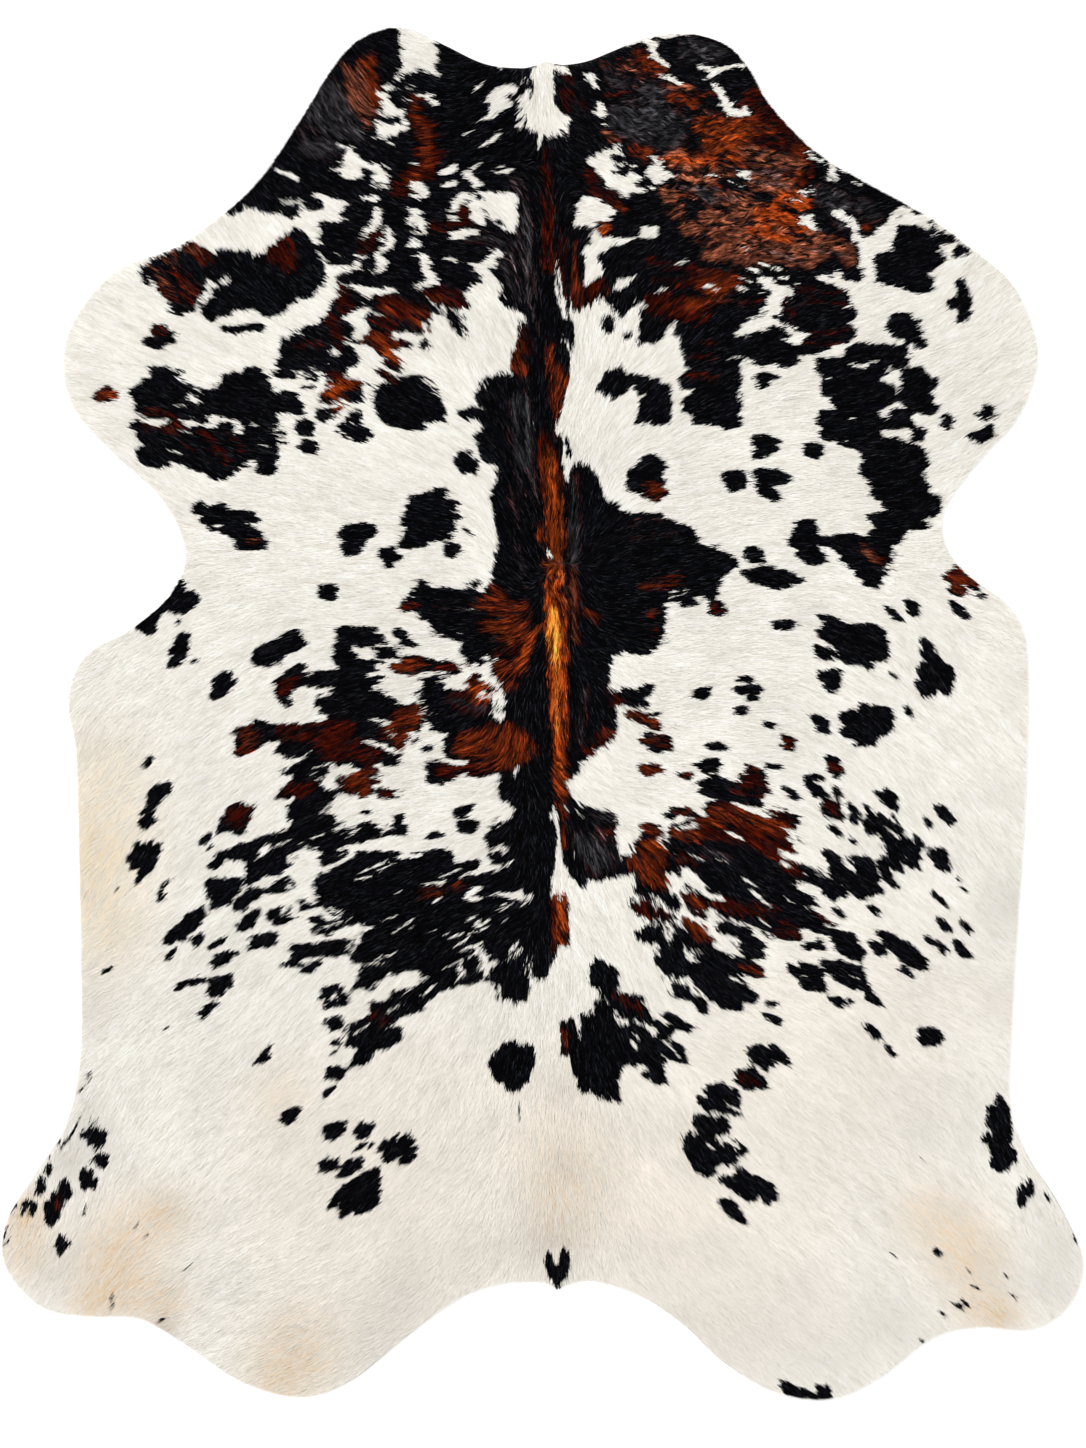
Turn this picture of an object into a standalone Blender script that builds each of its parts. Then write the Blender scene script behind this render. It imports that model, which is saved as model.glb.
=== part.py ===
"""A hair-on cowhide rug, lying flat with its hair up.

Metres, +Z up, neck towards +Y. The origin is the middle of the hide's footprint, on the
surface that it lies on. The hide is one piece of leather with its hair still on: a flat flesh
side, a cut edge as thick as the leather, and above that the lying coat, which rounds over to
the edge and follows the low ridge that the spine leaves in the skin.
"""
from collections import namedtuple
from math import ceil, exp

import bmesh
import bpy
from mathutils import Vector
from mathutils.geometry import delaunay_2d_cdt

# Driving sizes, in metres
HIDE_LENGTH = 2.10         # from the neck's edge to the ends of the hind legs
LEATHER_THICKNESS = 0.002
COAT_DEPTH = 0.002         # short hair, lying down
RIM_WIDTH = 0.010          # over this the coat rounds down to the cut edge
RIDGE_HALF_WIDTH = 0.020   # of the low ridge along the spine

# How closely points are set, in metres
EDGE_STEP = 0.020
TOP_STEP = 0.075
RIDGE_STEP = 0.035

# The photograph shows the hide from straight above. Places are its pixels, in 1086 x 1448,
# and these four are the hide's limits there.
LEFT_PX, RIGHT_PX = 2, 1082
TOP_PX, BOTTOM_PX = 28, 1399
METRES_PER_PX = HIDE_LENGTH / (BOTTOM_PX - TOP_PX)

# The cut edge, clockwise from the middle of the neck
EdgePoint = namedtuple("EdgePoint", "x_px y_px")
EDGE = {
    "neck, right half": [
        EdgePoint(526, 68), EdgePoint(545, 62), EdgePoint(562, 65), EdgePoint(588, 61),
        EdgePoint(618, 49), EdgePoint(650, 37), EdgePoint(690, 34), EdgePoint(725, 45),
        EdgePoint(748, 69),
    ],
    "right shoulder": [
        EdgePoint(769, 105), EdgePoint(812, 150), EdgePoint(863, 182), EdgePoint(925, 216),
        EdgePoint(971, 249), EdgePoint(1011, 284),
    ],
    "right foreleg": [
        EdgePoint(1033, 332), EdgePoint(1035, 368), EdgePoint(1017, 417), EdgePoint(978, 461),
        EdgePoint(946, 504), EdgePoint(942, 537), EdgePoint(962, 571), EdgePoint(1005, 603),
    ],
    "right flank": [
        EdgePoint(1024, 638), EdgePoint(1027, 700), EdgePoint(1024, 810), EdgePoint(1017, 916),
        EdgePoint(1010, 1035), EdgePoint(1009, 1105),
    ],
    "right hind leg": [
        EdgePoint(1026, 1153), EdgePoint(1060, 1206), EdgePoint(1082, 1262),
        EdgePoint(1067, 1306), EdgePoint(1031, 1328), EdgePoint(976, 1326),
        EdgePoint(930, 1338), EdgePoint(882, 1375), EdgePoint(830, 1398),
        EdgePoint(775, 1391), EdgePoint(725, 1363), EdgePoint(682, 1323),
    ],
    "tail": [
        EdgePoint(640, 1295), EdgePoint(595, 1280), EdgePoint(569, 1283), EdgePoint(557, 1289),
        EdgePoint(543, 1281), EdgePoint(500, 1283), EdgePoint(456, 1299),
    ],
    "left hind leg": [
        EdgePoint(402, 1340), EdgePoint(350, 1381), EdgePoint(300, 1396), EdgePoint(240, 1380),
        EdgePoint(183, 1342), EdgePoint(138, 1317), EdgePoint(90, 1315), EdgePoint(42, 1306),
        EdgePoint(6, 1266), EdgePoint(7, 1222), EdgePoint(34, 1176), EdgePoint(67, 1123),
    ],
    "left flank": [
        EdgePoint(81, 1058), EdgePoint(82, 970), EdgePoint(80, 864), EdgePoint(77, 755),
        EdgePoint(69, 700), EdgePoint(86, 656), EdgePoint(133, 628),
    ],
    "left foreleg": [
        EdgePoint(172, 593), EdgePoint(186, 552), EdgePoint(164, 501), EdgePoint(116, 455),
        EdgePoint(75, 409), EdgePoint(64, 360), EdgePoint(78, 315), EdgePoint(119, 270),
    ],
    "left shoulder and neck": [
        EdgePoint(176, 248), EdgePoint(226, 213), EdgePoint(263, 177), EdgePoint(300, 122),
        EdgePoint(333, 69), EdgePoint(362, 39), EdgePoint(403, 28), EdgePoint(440, 43),
        EdgePoint(485, 64),
    ],
}

# The low ridge that the spine leaves in the skin, from the withers to the tail
RidgePoint = namedtuple("RidgePoint", "x_px y_px height")
SPINE_RIDGE = (
    RidgePoint(547, 130, 0.0),
    RidgePoint(557, 430, 0.0007),
    RidgePoint(562, 560, 0.0016),
    RidgePoint(567, 740, 0.0016),
    RidgePoint(561, 860, 0.0006),
    RidgePoint(556, 1250, 0.0),
)
RIDGE_ROWS = (-2.0, -1.0, -0.45, 0.0, 0.45, 1.0, 2.0)   # across the ridge, in half widths

# The rim's cross-section, from the cut edge inwards
RimLoop = namedtuple("RimLoop", "width_share depth_share")
RIM = (RimLoop(0.0, 0.0), RimLoop(0.35, 0.72), RimLoop(1.0, 1.0))

COAT_COLOUR = (0.80, 0.76, 0.68, 1.0)
COAT_ROUGHNESS = 0.6


def to_metres(x_px, y_px):
    """A place in the photograph, as a point on the ground."""
    return Vector((x_px - (LEFT_PX + RIGHT_PX) / 2, (TOP_PX + BOTTOM_PX) / 2 - y_px)) * METRES_PER_PX


def smooth_loop(points, step):
    """Points up to a step apart on the closed Catmull-Rom curve through the given ones."""
    loop = []
    for i, start in enumerate(points):
        before, end, after = points[i - 1], points[(i + 1) % len(points)], points[(i + 2) % len(points)]
        pieces = max(2, ceil((end - start).length / step))
        for k in range(pieces):
            t = k / pieces
            loop.append(0.5 * (2 * start + (end - before) * t
                               + (2 * before - 5 * start + 4 * end - after) * t ** 2
                               + (3 * start - before - 3 * end + after) * t ** 3))
    return loop


def inset_loop(loop, distance):
    """A clockwise loop, moved inwards: to the right of the way that it runs."""
    moved = []
    for i, point in enumerate(loop):
        along = (loop[(i + 1) % len(loop)] - loop[i - 1]).normalized()
        moved.append(point + Vector((along.y, -along.x)) * distance)
    return moved


def is_inside(point, loop):
    """Whether a point lies within a closed loop, by the edges that it has to its right."""
    found = False
    for a, b in zip(loop, loop[1:] + loop[:1]):
        if (a.y > point.y) != (b.y > point.y):
            crossing = a.x + (point.y - a.y) * (b.x - a.x) / (b.y - a.y)
            found ^= point.x < crossing
    return found


def ridge_stretches():
    """Each straight stretch of the spine's ridge: its two ends and the heights there."""
    places = [to_metres(p.x_px, p.y_px) for p in SPINE_RIDGE]
    heights = [p.height for p in SPINE_RIDGE]
    return list(zip(places, places[1:], heights, heights[1:]))


def ridge_height(place):
    """How far the spine's ridge lifts the top at a place."""
    lifts = []
    for start, end, start_height, end_height in ridge_stretches():
        along = end - start
        share = max(0.0, min(1.0, (place - start).dot(along) / along.length_squared))
        away = (place - start - along * share).length
        crest = start_height + (end_height - start_height) * share
        lifts.append(crest * exp(-(away / RIDGE_HALF_WIDTH) ** 2))
    return max(lifts)


def ridge_points():
    """Close rows of points along the spine's ridge, which carry its cross-section."""
    points = []
    for start, end, _, _ in ridge_stretches():
        along = (end - start).normalized()
        across = Vector((-along.y, along.x))
        steps = ceil((end - start).length / RIDGE_STEP)
        for k in range(steps):
            middle = start.lerp(end, (k + 0.5) / steps)
            points += [middle + across * (row * RIDGE_HALF_WIDTH) for row in RIDGE_ROWS]
    return points


def top_points(rim):
    """The points within the rim: rows on the ridge, and an even triangular field beside it."""
    low_x, high_x = min(p.x for p in rim), max(p.x for p in rim)
    low_y, high_y = min(p.y for p in rim), max(p.y for p in rim)
    points = ridge_points()
    ridge_side = max(abs(p.x) for p in points) + TOP_STEP / 2
    for row in range(ceil((high_y - low_y) / TOP_STEP)):
        for column in range(ceil((high_x - low_x) / TOP_STEP)):
            shift = (row % 2) / 2
            place = Vector((low_x + (column + shift) * TOP_STEP, low_y + row * TOP_STEP))
            if abs(place.x) > ridge_side:
                points.append(place)
    return [p for p in points if is_inside(p, rim) and min((p - q).length for q in rim) > EDGE_STEP / 2]


def fill_loop(bm, rim, inner, height):
    """Triangles within the closed loop of vertices rim, through the inner points as well."""
    points = [v.co.xy for v in rim] + inner
    places, _, triangles, sources, _, _ = delaunay_2d_cdt(points, [], [range(len(rim))], 1, 1e-6)
    vertices = []
    for place, source in zip(places, sources):
        on_rim = [i for i in source if i < len(rim)]
        vertices.append(rim[on_rim[0]] if on_rim else bm.verts.new((*place, height(place))))
    for corners in triangles:
        bm.faces.new([vertices[i] for i in corners])


def hide_mesh():
    """The closed solid: flat flesh side, cut edge, rounded rim and ridged top."""
    edge = [to_metres(*point) for stretch in EDGE.values() for point in stretch]
    loop = smooth_loop(edge, EDGE_STEP)
    bm = bmesh.new()
    lower = [bm.verts.new((*p, 0.0)) for p in loop]
    fill_loop(bm, lower, [], lambda place: 0.0)
    for step in RIM:
        level = LEATHER_THICKNESS + COAT_DEPTH * step.depth_share
        upper = [bm.verts.new((*p, level)) for p in inset_loop(loop, RIM_WIDTH * step.width_share)]
        for i in range(len(loop)):
            bm.faces.new((lower[i - 1], lower[i], upper[i], upper[i - 1]))
        lower = upper
    inner = top_points([v.co.xy for v in lower])
    fill_loop(bm, lower, inner, lambda place: LEATHER_THICKNESS + COAT_DEPTH + ridge_height(place))
    bmesh.ops.triangulate(bm, faces=bm.faces)
    bmesh.ops.recalc_face_normals(bm, faces=bm.faces)
    middle_x = (min(p.x for p in loop) + max(p.x for p in loop)) / 2
    middle_y = (min(p.y for p in loop) + max(p.y for p in loop)) / 2
    bmesh.ops.translate(bm, verts=bm.verts, vec=(-middle_x, -middle_y, 0.0))
    mesh = bpy.data.meshes.new("hide")
    bm.to_mesh(mesh)
    bm.free()
    return mesh


def coat_material():
    material = bpy.data.materials.new("hair_on_hide")
    material.use_nodes = True
    shader = material.node_tree.nodes["Principled BSDF"]
    shader.inputs["Base Color"].default_value = COAT_COLOUR
    shader.inputs["Roughness"].default_value = COAT_ROUGHNESS
    shader.inputs["Metallic"].default_value = 0.0
    return material


def main():
    for old in list(bpy.data.objects):
        bpy.data.objects.remove(old)
    hide = bpy.data.objects.new("hide", hide_mesh())
    hide.data.materials.append(coat_material())
    bpy.context.scene.collection.objects.link(hide)


main()
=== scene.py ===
"""The looks of the cowhide rug: its suede underside, its skin and its short lying hair.

Metres, +Z up, neck towards +Y. The coat's markings are strokes placed in the photograph's pixels.
Each hair takes its colour from the coat under its visible half, so that patches get the ragged
edges that real hair gives them.
"""
from collections import namedtuple
from math import cos, radians, sin, sqrt

import bpy
import numpy as np
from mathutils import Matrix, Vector
from mathutils.geometry import delaunay_2d_cdt


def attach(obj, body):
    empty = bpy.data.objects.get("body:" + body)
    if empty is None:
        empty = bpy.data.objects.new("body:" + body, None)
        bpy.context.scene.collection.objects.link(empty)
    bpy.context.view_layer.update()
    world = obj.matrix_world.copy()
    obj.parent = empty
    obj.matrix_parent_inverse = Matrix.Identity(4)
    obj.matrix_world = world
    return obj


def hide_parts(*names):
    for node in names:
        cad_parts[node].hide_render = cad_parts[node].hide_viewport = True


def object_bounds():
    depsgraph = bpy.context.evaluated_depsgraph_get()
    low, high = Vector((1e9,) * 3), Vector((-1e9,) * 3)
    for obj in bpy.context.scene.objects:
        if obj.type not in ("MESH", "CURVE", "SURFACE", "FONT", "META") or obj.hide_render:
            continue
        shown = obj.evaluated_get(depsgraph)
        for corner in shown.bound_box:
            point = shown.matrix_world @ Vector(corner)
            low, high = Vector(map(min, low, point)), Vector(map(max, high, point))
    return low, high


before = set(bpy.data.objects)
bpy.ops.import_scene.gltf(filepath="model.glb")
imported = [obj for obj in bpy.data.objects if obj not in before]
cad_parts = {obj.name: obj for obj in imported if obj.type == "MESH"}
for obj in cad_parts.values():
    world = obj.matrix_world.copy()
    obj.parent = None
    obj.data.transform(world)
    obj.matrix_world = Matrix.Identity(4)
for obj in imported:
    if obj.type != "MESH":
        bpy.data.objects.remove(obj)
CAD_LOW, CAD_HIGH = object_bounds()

# The photograph: its size, and where the hide's limits are in it
PHOTO_WIDTH_PX, PHOTO_HEIGHT_PX = 1086, 1448
HIDE_TOP_PX, HIDE_BOTTOM_PX = 28.0, 1398.9
HIDE_LEFT_PX, HIDE_RIGHT_PX = 2.5, 1082.0
METRES_PER_PX = (CAD_HIGH.y - CAD_LOW.y) / (HIDE_BOTTOM_PX - HIDE_TOP_PX)
MIDDLE_X_PX = (HIDE_LEFT_PX + HIDE_RIGHT_PX) / 2
MIDDLE_Y_PX = (HIDE_TOP_PX + HIDE_BOTTOM_PX) / 2

# The hide in cross-section, in metres
LEATHER_THICKNESS = 0.002
COAT_BASE = 0.0006         # hair roots stand this far above the leather, in the dense underhair
RIM_WIDTH = 0.008          # over this the skin rounds down to the cut edge

# How closely points are set on the skin and on its flesh side, in metres. How far from their
# lattice and how near to the edge they may lie, in shares of that
SKIN_STEP, SKIN_JITTER, SKIN_INSET = 0.0068, 0.12, 0.6
UNDER_STEP, UNDER_JITTER, UNDER_INSET = 0.04, 0.0, 0.4
EDGE_PIECES = 3            # points on the cut edge for each of the solid's
EDGE_STRIDE = 2            # every second one is enough to measure distances from
WELD_DIGITS = 5            # the solid's corners are one point if they agree this far
ROW_SHARE = 0.866          # rows of a lattice are this share of its spacing apart

# The low ridge that the spine leaves, as in the solid: pixels, and height in metres
RidgePoint = namedtuple("RidgePoint", "x_px y_px height")
SPINE_RIDGE = (
    RidgePoint(547, 130, 0.0),
    RidgePoint(557, 430, 0.0007),
    RidgePoint(562, 560, 0.0016),
    RidgePoint(567, 740, 0.0016),
    RidgePoint(561, 860, 0.0006),
    RidgePoint(556, 1250, 0.0),
)
RIDGE_HALF_WIDTH = 0.016

# Layers of hair: how long, how wide at the root and how high the tips stand, in metres, and how
# far single hairs stray from the layer's direction
HairLayer = namedtuple("HairLayer", "name length width lift spread_deg")
HAIR_LAYERS = (
    HairLayer("underhair", 0.012, 0.0024, 0.0012, 5.4),
    HairLayer("coat_lower", 0.015, 0.0019, 0.0019, 6.0),
    HairLayer("coat_upper", 0.016, 0.0016, 0.0026, 7.2),
    HairLayer("guard_hair", 0.018, 0.0014, 0.0033, 8.4),
)
HAIRS_PER_LAYER = 199_000  # at most, and one triangle each
LENGTH_RANGE = (0.72, 1.15)   # of single hairs, in shares of their layer's size
WIDTH_RANGE = (0.7, 1.25)
LIFT_RANGE = (0.55, 1.15)
HAIR_JITTER = 0.5          # how far roots lie from their lattice, in shares of its spacing
HAIR_INSET = 0.0015        # no hair is rooted nearer to the cut edge
OVERHANG = 0.003           # tips reach about this far past it
TRIM_SHARE, TRIMS = 0.72, 3   # longer ones are cut to this share, up to so many times
DROOP, DROOP_REACH = 0.35, 0.010   # tips past the edge hang this steeply, up to this far out
ROLL_DEG = 17.0            # how far the blades are rolled about their length
BORDER_LENGTH = 0.6        # hair keeps this share of its length where it crosses a border of colours

SEED = 7
LAYER_SEED_STEP = 10       # from one layer of hair to the next

# Smooth noise over the hide: the size of its bumps in metres, and how much it adds
Bumps = namedtuple("Bumps", "size share seed")
WAVE_DEG = 13.0            # how far the hair's direction wanders, with the waves
WAVES = (Bumps(0.030, 0.6, SEED + 1), Bumps(0.009, 0.4, SEED + 2))
PATCHES = (Bumps(0.060, 0.04, SEED + 3), Bumps(0.012, 0.02, SEED + 4))   # of brightness
CURL_WAVE = Bumps(0.009, 1.0, SEED + 8)

# Noise drawn out along the hair: how wide, and how far each way it is drawn, in metres
Streak = namedtuple("Streak", "width reach seed")
FINE_STREAK = Streak(0.0021, 0.012, SEED + 5)
CRIMP_STREAK = Streak(0.0026, 0.0035, SEED + 9)   # takes the fine one's place in curly hair
BROAD_STREAK = Streak(0.0075, 0.022, SEED + 6)
SLIP_STREAK = Streak(0.0042, 0.006, SEED + 7)
STREAK_SAMPLES = 7

# Where along a hair its colour is read, and how far that place slips along it with its
# neighbours, on its own, and sideways
SEEN_SHARE = 0.50
SLIP_PX, OWN_SLIP_PX, SIDE_SLIP_PX = 1.6, 0.8, 0.4

# The coat's colours, linear
COAT_COLOURS = {
    "white": (0.885, 0.860, 0.806),
    "black": (0.0011, 0.0012, 0.0020),
    "mahogany": (0.030, 0.0026, 0.0006),
    "russet": (0.088, 0.0120, 0.0026),
    "rust": (0.100, 0.0165, 0.0026),
    "chestnut": (0.170, 0.050, 0.025),
    "orange": (0.262, 0.037, 0.0050),
    "amber": (0.860, 0.215, 0.029),
    # grey and silver pale the dark hair: partly greyish and pale strands, partly a painted sheen of light
    # on curved black hair
    "grey": (0.0170, 0.0165, 0.0190),
    "silver": (0.060, 0.055, 0.060),
    # sheen is a painted sheen: the lighter blue-grey that glossy black hairs show where they catch the
    # light
    "sheen": (0.036, 0.038, 0.046),
    "tan": (0.74, 0.56, 0.36),
    "straw": (0.80, 0.67, 0.47),
    "brown": (0.35, 0.26, 0.19),
    "ash": (0.62, 0.58, 0.54),
}
# The brown and grey ones, and how much of the dark hair each can turn
TINT_STRENGTHS = {
    "mahogany": 0.80, "russet": 0.90, "rust": 0.95, "chestnut": 0.76, "orange": 1.0, "amber": 1.0,
    "grey": 0.78, "silver": 0.75,
}
TINT_SOFTNESS_PX = 3.0
EDGE_SOFTNESS_PX = 0.8
DARK_FROM = 0.15           # hair is dark where this share of the ground under it is
CELLS_PER_PX = 2           # of the grid that the strokes are painted on

# How much the shade of hair varies, with fine streaks and from hair to hair
Shade = namedtuple("Shade", "fine own")
BLACK_SHADE = Shade(0.525, 0.525)
TINT_SHADE = Shade(0.63, 0.35)
PALE_SHADE = Shade(0.05625, 0.04875)
PALE_SHADE_LIMITS = (-0.075, 0.165)        # of the painted shade that darkens white hair in the gaps of its strands, and of the painted highlight that lightens it
STRAND_SHADE_SPREAD = (1.0, 1.12, 1.4)   # how much of that painted shade falls on red, green and blue
STAIN_SHADE = Shade(0.45, 0.45)
STAIN_LIMITS = (0, 2)                # of how strong a stain is from hair to hair
STAIN_REACH = 2.2                    # a stain is painted this many of its radii out
PAINTED_SHEEN_RARITY = 18                    # how few black hairs get a painted sheen, for the light they catch
HAIR_LIMITS = (0.001, 0.95)          # of the colours of hair
ROOT_SHADE = 0.80                    # how bright a hair's root is, as a share of its tip
SKIN_PAINTED_SHADE = 0.75                    # and how bright the skin is, as a share of its hair: painted shade where the skin shows in the gaps among the hairs

# Which dark hairs are brown: it follows the painted share, and varies with broad streaks, with
# fine ones and from hair to hair
BROWN_GAIN, BROWN_START = 1.35, -0.5
BROWN_BROAD, BROWN_FINE, BROWN_OWN = 0.20, 0.40, 0.15
BROWN_RISE = 8.0           # how fast single brown hairs begin at a patch's edge

# The ways that the hair lies, blended from the directions below
FLOW_STEP_PX = 8.0         # of the grid that they are blended on
FLOW_MARGIN = 2            # steps of it past the picture's edge
FLOW_BLEND_PX = 16.0
FLOW_POWER = 1.7           # how fast a reading's share falls off with distance

# The grid of distances to the cut edge, in metres
DISTANCE_STEP, DISTANCE_MARGIN = 0.005, 0.03

NOISE_CELLS = 256          # noise repeats after this many bumps
NOISE_SHIFT = 1000.5       # keeps its coordinates positive
TINY = 1e-6

# The layout of the baked maps: what a hair leaves free in its square, how much of the map's
# width each side of the skin takes, and where the second one starts
HAIR_MAP_MARGIN = 0.06
SKIN_MAP_SHARE, SKIN_MAP_SHIFT = 0.49, 0.5

HAIR_ROUGHNESS, HAIR_SPECULAR = 0.5, 0.01
SKIN_ROUGHNESS, SKIN_SPECULAR = 0.75, 0.2
SUEDE_COLOUR, SUEDE_ROUGHNESS, SUEDE_SHEEN = (0.42, 0.33, 0.24, 1.0), 0.9, 0.2

FLOOR_SIZE, FLOOR_LEVEL = 40.0, -0.0005
FLOOR_COLOUR, FLOOR_ROUGHNESS, FLOOR_SPECULAR = (0.93, 0.93, 0.925, 1.0), 0.9, 0.1
WORLD_COLOUR, WORLD_STRENGTH = (1.0, 0.99, 0.975, 1.0), 0.95
Light = namedtuple("Light", "name place size power")
LIGHTS = (
    Light("window", (-6.2, 4.6, 6.2), 4.0, 530),
    Light("fill", (1.0, -0.5, 7.0), 3.0, 60),
)
CAMERA_LENS, CAMERA_SENSOR = 70.0, 36.0

# Stains in the white hair, soft and round
Stain = namedtuple("Stain", "x_px y_px radius_px colour strength")
STAINS = [Stain(*row) for row in (
    (100, 760, 40, "straw", 0.15), (98, 850, 45, "straw", 0.40), (98, 930, 45, "straw", 0.32),
    (90, 1010, 26, "brown", 0.14), (25, 1215, 24, "tan", 0.55), (30, 1255, 26, "tan", 0.35),
    (60, 1250, 30, "ash", 0.25), (60, 1170, 30, "ash", 0.20), (130, 1235, 40, "tan", 0.36),
    (165, 1215, 26, "tan", 0.40), (110, 1270, 34, "tan", 0.38), (92, 1300, 22, "tan", 0.50),
    (165, 1300, 24, "tan", 0.40), (165, 1325, 14, "brown", 0.30), (130, 1295, 26, "tan", 0.30),
    (300, 1350, 46, "tan", 0.34), (280, 1378, 30, "tan", 0.38), (400, 1300, 40, "ash", 0.20),
    (450, 1270, 40, "ash", 0.22), (380, 1340, 36, "ash", 0.20), (280, 1095, 30, "tan", 0.20),
    (560, 1080, 26, "brown", 0.10), (560, 1170, 28, "brown", 0.14), (570, 1230, 28, "brown", 0.16),
    (550, 1220, 22, "tan", 0.16), (700, 1300, 60, "ash", 0.20), (740, 1350, 50, "ash", 0.26),
    (820, 1330, 60, "ash", 0.22), (900, 1320, 40, "ash", 0.24), (925, 1215, 30, "tan", 0.34),
    (965, 1235, 34, "tan", 0.30), (985, 1265, 26, "tan", 0.32), (950, 1262, 26, "tan", 0.28),
    (1000, 1315, 22, "tan", 0.50), (975, 1308, 24, "tan", 0.34), (1050, 1280, 34, "ash", 0.34),
    (1060, 1240, 26, "ash", 0.26), (860, 1100, 90, "ash", 0.10), (950, 1120, 60, "ash", 0.14),
    (1005, 800, 30, "ash", 0.22), (1008, 900, 30, "ash", 0.24), (1000, 1000, 30, "ash", 0.26),
    (1012, 680, 30, "ash", 0.16), (90, 660, 24, "ash", 0.18), (160, 520, 24, "ash", 0.12),
    (380, 1220, 130, "tan", 0.05), (640, 1230, 110, "tan", 0.07), (565, 1180, 40, "tan", 0.18),
    (960, 960, 70, "ash", 0.12), (100, 800, 60, "straw", 0.26), (95, 900, 60, "straw", 0.20),
    (700, 1180, 170, "tan", 0.09), (860, 1020, 130, "tan", 0.06), (330, 1180, 150, "tan", 0.06),
    (95, 1130, 24, "ash", 0.35), (70, 1155, 20, "ash", 0.30), (60, 1275, 24, "ash", 0.22),
    (560, 1130, 60, "tan", 0.10), (440, 1120, 130, "tan", 0.04), (540, 1240, 34, "brown", 0.14),
    (140, 380, 70, "ash", 0.07), (560, 980, 24, "ash", 0.10),
)]

# Directions in which the hair's tips point, read off the photograph: degrees clockwise from
# the picture's right, so 90 is towards the tail
FlowReading = namedtuple("FlowReading", "x_px y_px degrees")
FLOW_READINGS = [FlowReading(*row) for row in (
    # left
    (155, 338, 208), (105, 395, 195), (250, 510, 187), (200, 490, 205), (160, 480, 222), (200, 560, 172),
    (180, 600, 140), (220, 600, 162), (110, 660, 148), (270, 648, 155), (222, 685, 147), (150, 762, 140),
    (150, 800, 138), (145, 858, 130), (100, 750, 122), (100, 880, 128), (232, 820, 140), (180, 750, 143),
    (185, 925, 140), (205, 990, 145), (262, 1053, 132), (290, 1114, 142), (345, 1190, 138),
    (95, 1135, 115), (60, 1190, 100), (105, 972, 148), (90, 1040, 138), (200, 1050, 140), (330, 592, 180),
    (360, 538, 175), (430, 515, 188), (465, 462, 208), (340, 480, 202), (450, 560, 187), (380, 600, 180),
    (465, 820, 165), (450, 790, 175), (480, 850, 152), (400, 850, 160), (340, 870, 155), (400, 920, 152),
    (500, 900, 155), (330, 1150, 138), (450, 1050, 125), (510, 1065, 105), (520, 1110, 97),
    (410, 400, 210), (350, 100, 245), (240, 230, 235), (490, 350, 240), (500, 100, 155), (460, 135, 160),
    (490, 145, 158), (452, 172, 165), (495, 168, 160), (420, 190, 195), (415, 220, 200), (465, 205, 200),
    (508, 215, 228), (475, 238, 185), (415, 55, 205), (385, 115, 212), (375, 175, 205), (525, 210, 255),
    # left hind leg
    (150, 1150, 128), (200, 1260, 150), (100, 1280, 128), (60, 1240, 115), (20, 1270, 130),
    (180, 1310, 150), (280, 1140, 137), (300, 1250, 152), (260, 1300, 155), (350, 1330, 150),
    (400, 1280, 140), (460, 1260, 132), (440, 1180, 138), (330, 1380, 155), (300, 1200, 138),
    (240, 1360, 152),
    # spine
    (545, 100, 90), (570, 115, 40), (560, 250, 272), (560, 480, 272), (556, 525, 268), (552, 548, 262),
    (556, 576, 88), (575, 500, 272), (576, 540, 272), (556, 610, 85), (575, 590, 70), (590, 650, 25),
    (520, 480, 240), (515, 520, 235), (530, 560, 240), (512, 585, 215), (500, 620, 180), (525, 640, 150),
    (556, 640, 90), (556, 700, 90), (556, 850, 90), (556, 1000, 90), (556, 1150, 90), (555, 1240, 90),
    (556, 1270, 90),
    # right
    (575, 350, 272), (585, 300, 280), (600, 330, 285), (600, 400, 300), (590, 440, 290), (640, 410, 322),
    (650, 398, 325), (700, 400, 340), (650, 478, 352), (765, 445, 3), (770, 485, 355), (735, 480, 345),
    (775, 578, 5), (720, 608, 352), (785, 625, 0), (600, 540, 340), (640, 545, 350), (620, 600, 350),
    (640, 585, 352), (700, 640, 355), (830, 682, 25), (850, 645, 28), (865, 722, 40), (935, 668, 55),
    (960, 300, 322), (905, 330, 338), (970, 350, 332), (985, 412, 332), (985, 435, 330), (960, 460, 328),
    (990, 300, 320), (905, 258, 345), (790, 370, 347), (820, 470, 2), (925, 815, 52), (940, 860, 52),
    (930, 1035, 38), (875, 1035, 45), (900, 980, 25), (950, 900, 45), (800, 960, 20), (700, 692, 350),
    (748, 688, 5), (742, 712, 5), (590, 80, 40), (600, 110, 22), (612, 165, 32), (596, 208, 22),
    (640, 75, 10), (655, 50, 5), (665, 170, 5), (740, 178, 12), (735, 100, 350), (690, 95, 2),
    (780, 190, 8), (600, 245, 322), (650, 230, 335), (700, 140, 355), (760, 220, 350), (830, 215, 350),
    (600, 800, 30), (640, 790, 10), (590, 900, 65), (565, 850, 80), (580, 790, 45), (600, 930, 60),
    (640, 1080, 50), (700, 1040, 32), (560, 1100, 90), (850, 1100, 38), (900, 1200, 40), (950, 1030, 28),
    (960, 700, 38), (990, 750, 45), (1000, 640, 25),
    # right hind leg and rump
    (500, 1140, 127), (510, 1240, 116), (530, 1180, 100), (575, 1200, 83), (590, 1240, 80),
    (600, 1150, 67), (640, 1170, 48), (640, 1250, 52), (700, 1240, 40), (720, 1300, 38), (660, 1300, 45),
    (740, 1360, 40), (800, 1220, 40), (850, 1300, 37), (780, 1330, 38), (900, 1350, 42), (950, 1280, 38),
    (1000, 1240, 50), (1040, 1250, 55), (1050, 1290, 50), (1000, 1300, 40), (860, 1180, 36),
    (1040, 1215, 60), (1005, 1130, 60),
)]

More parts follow.
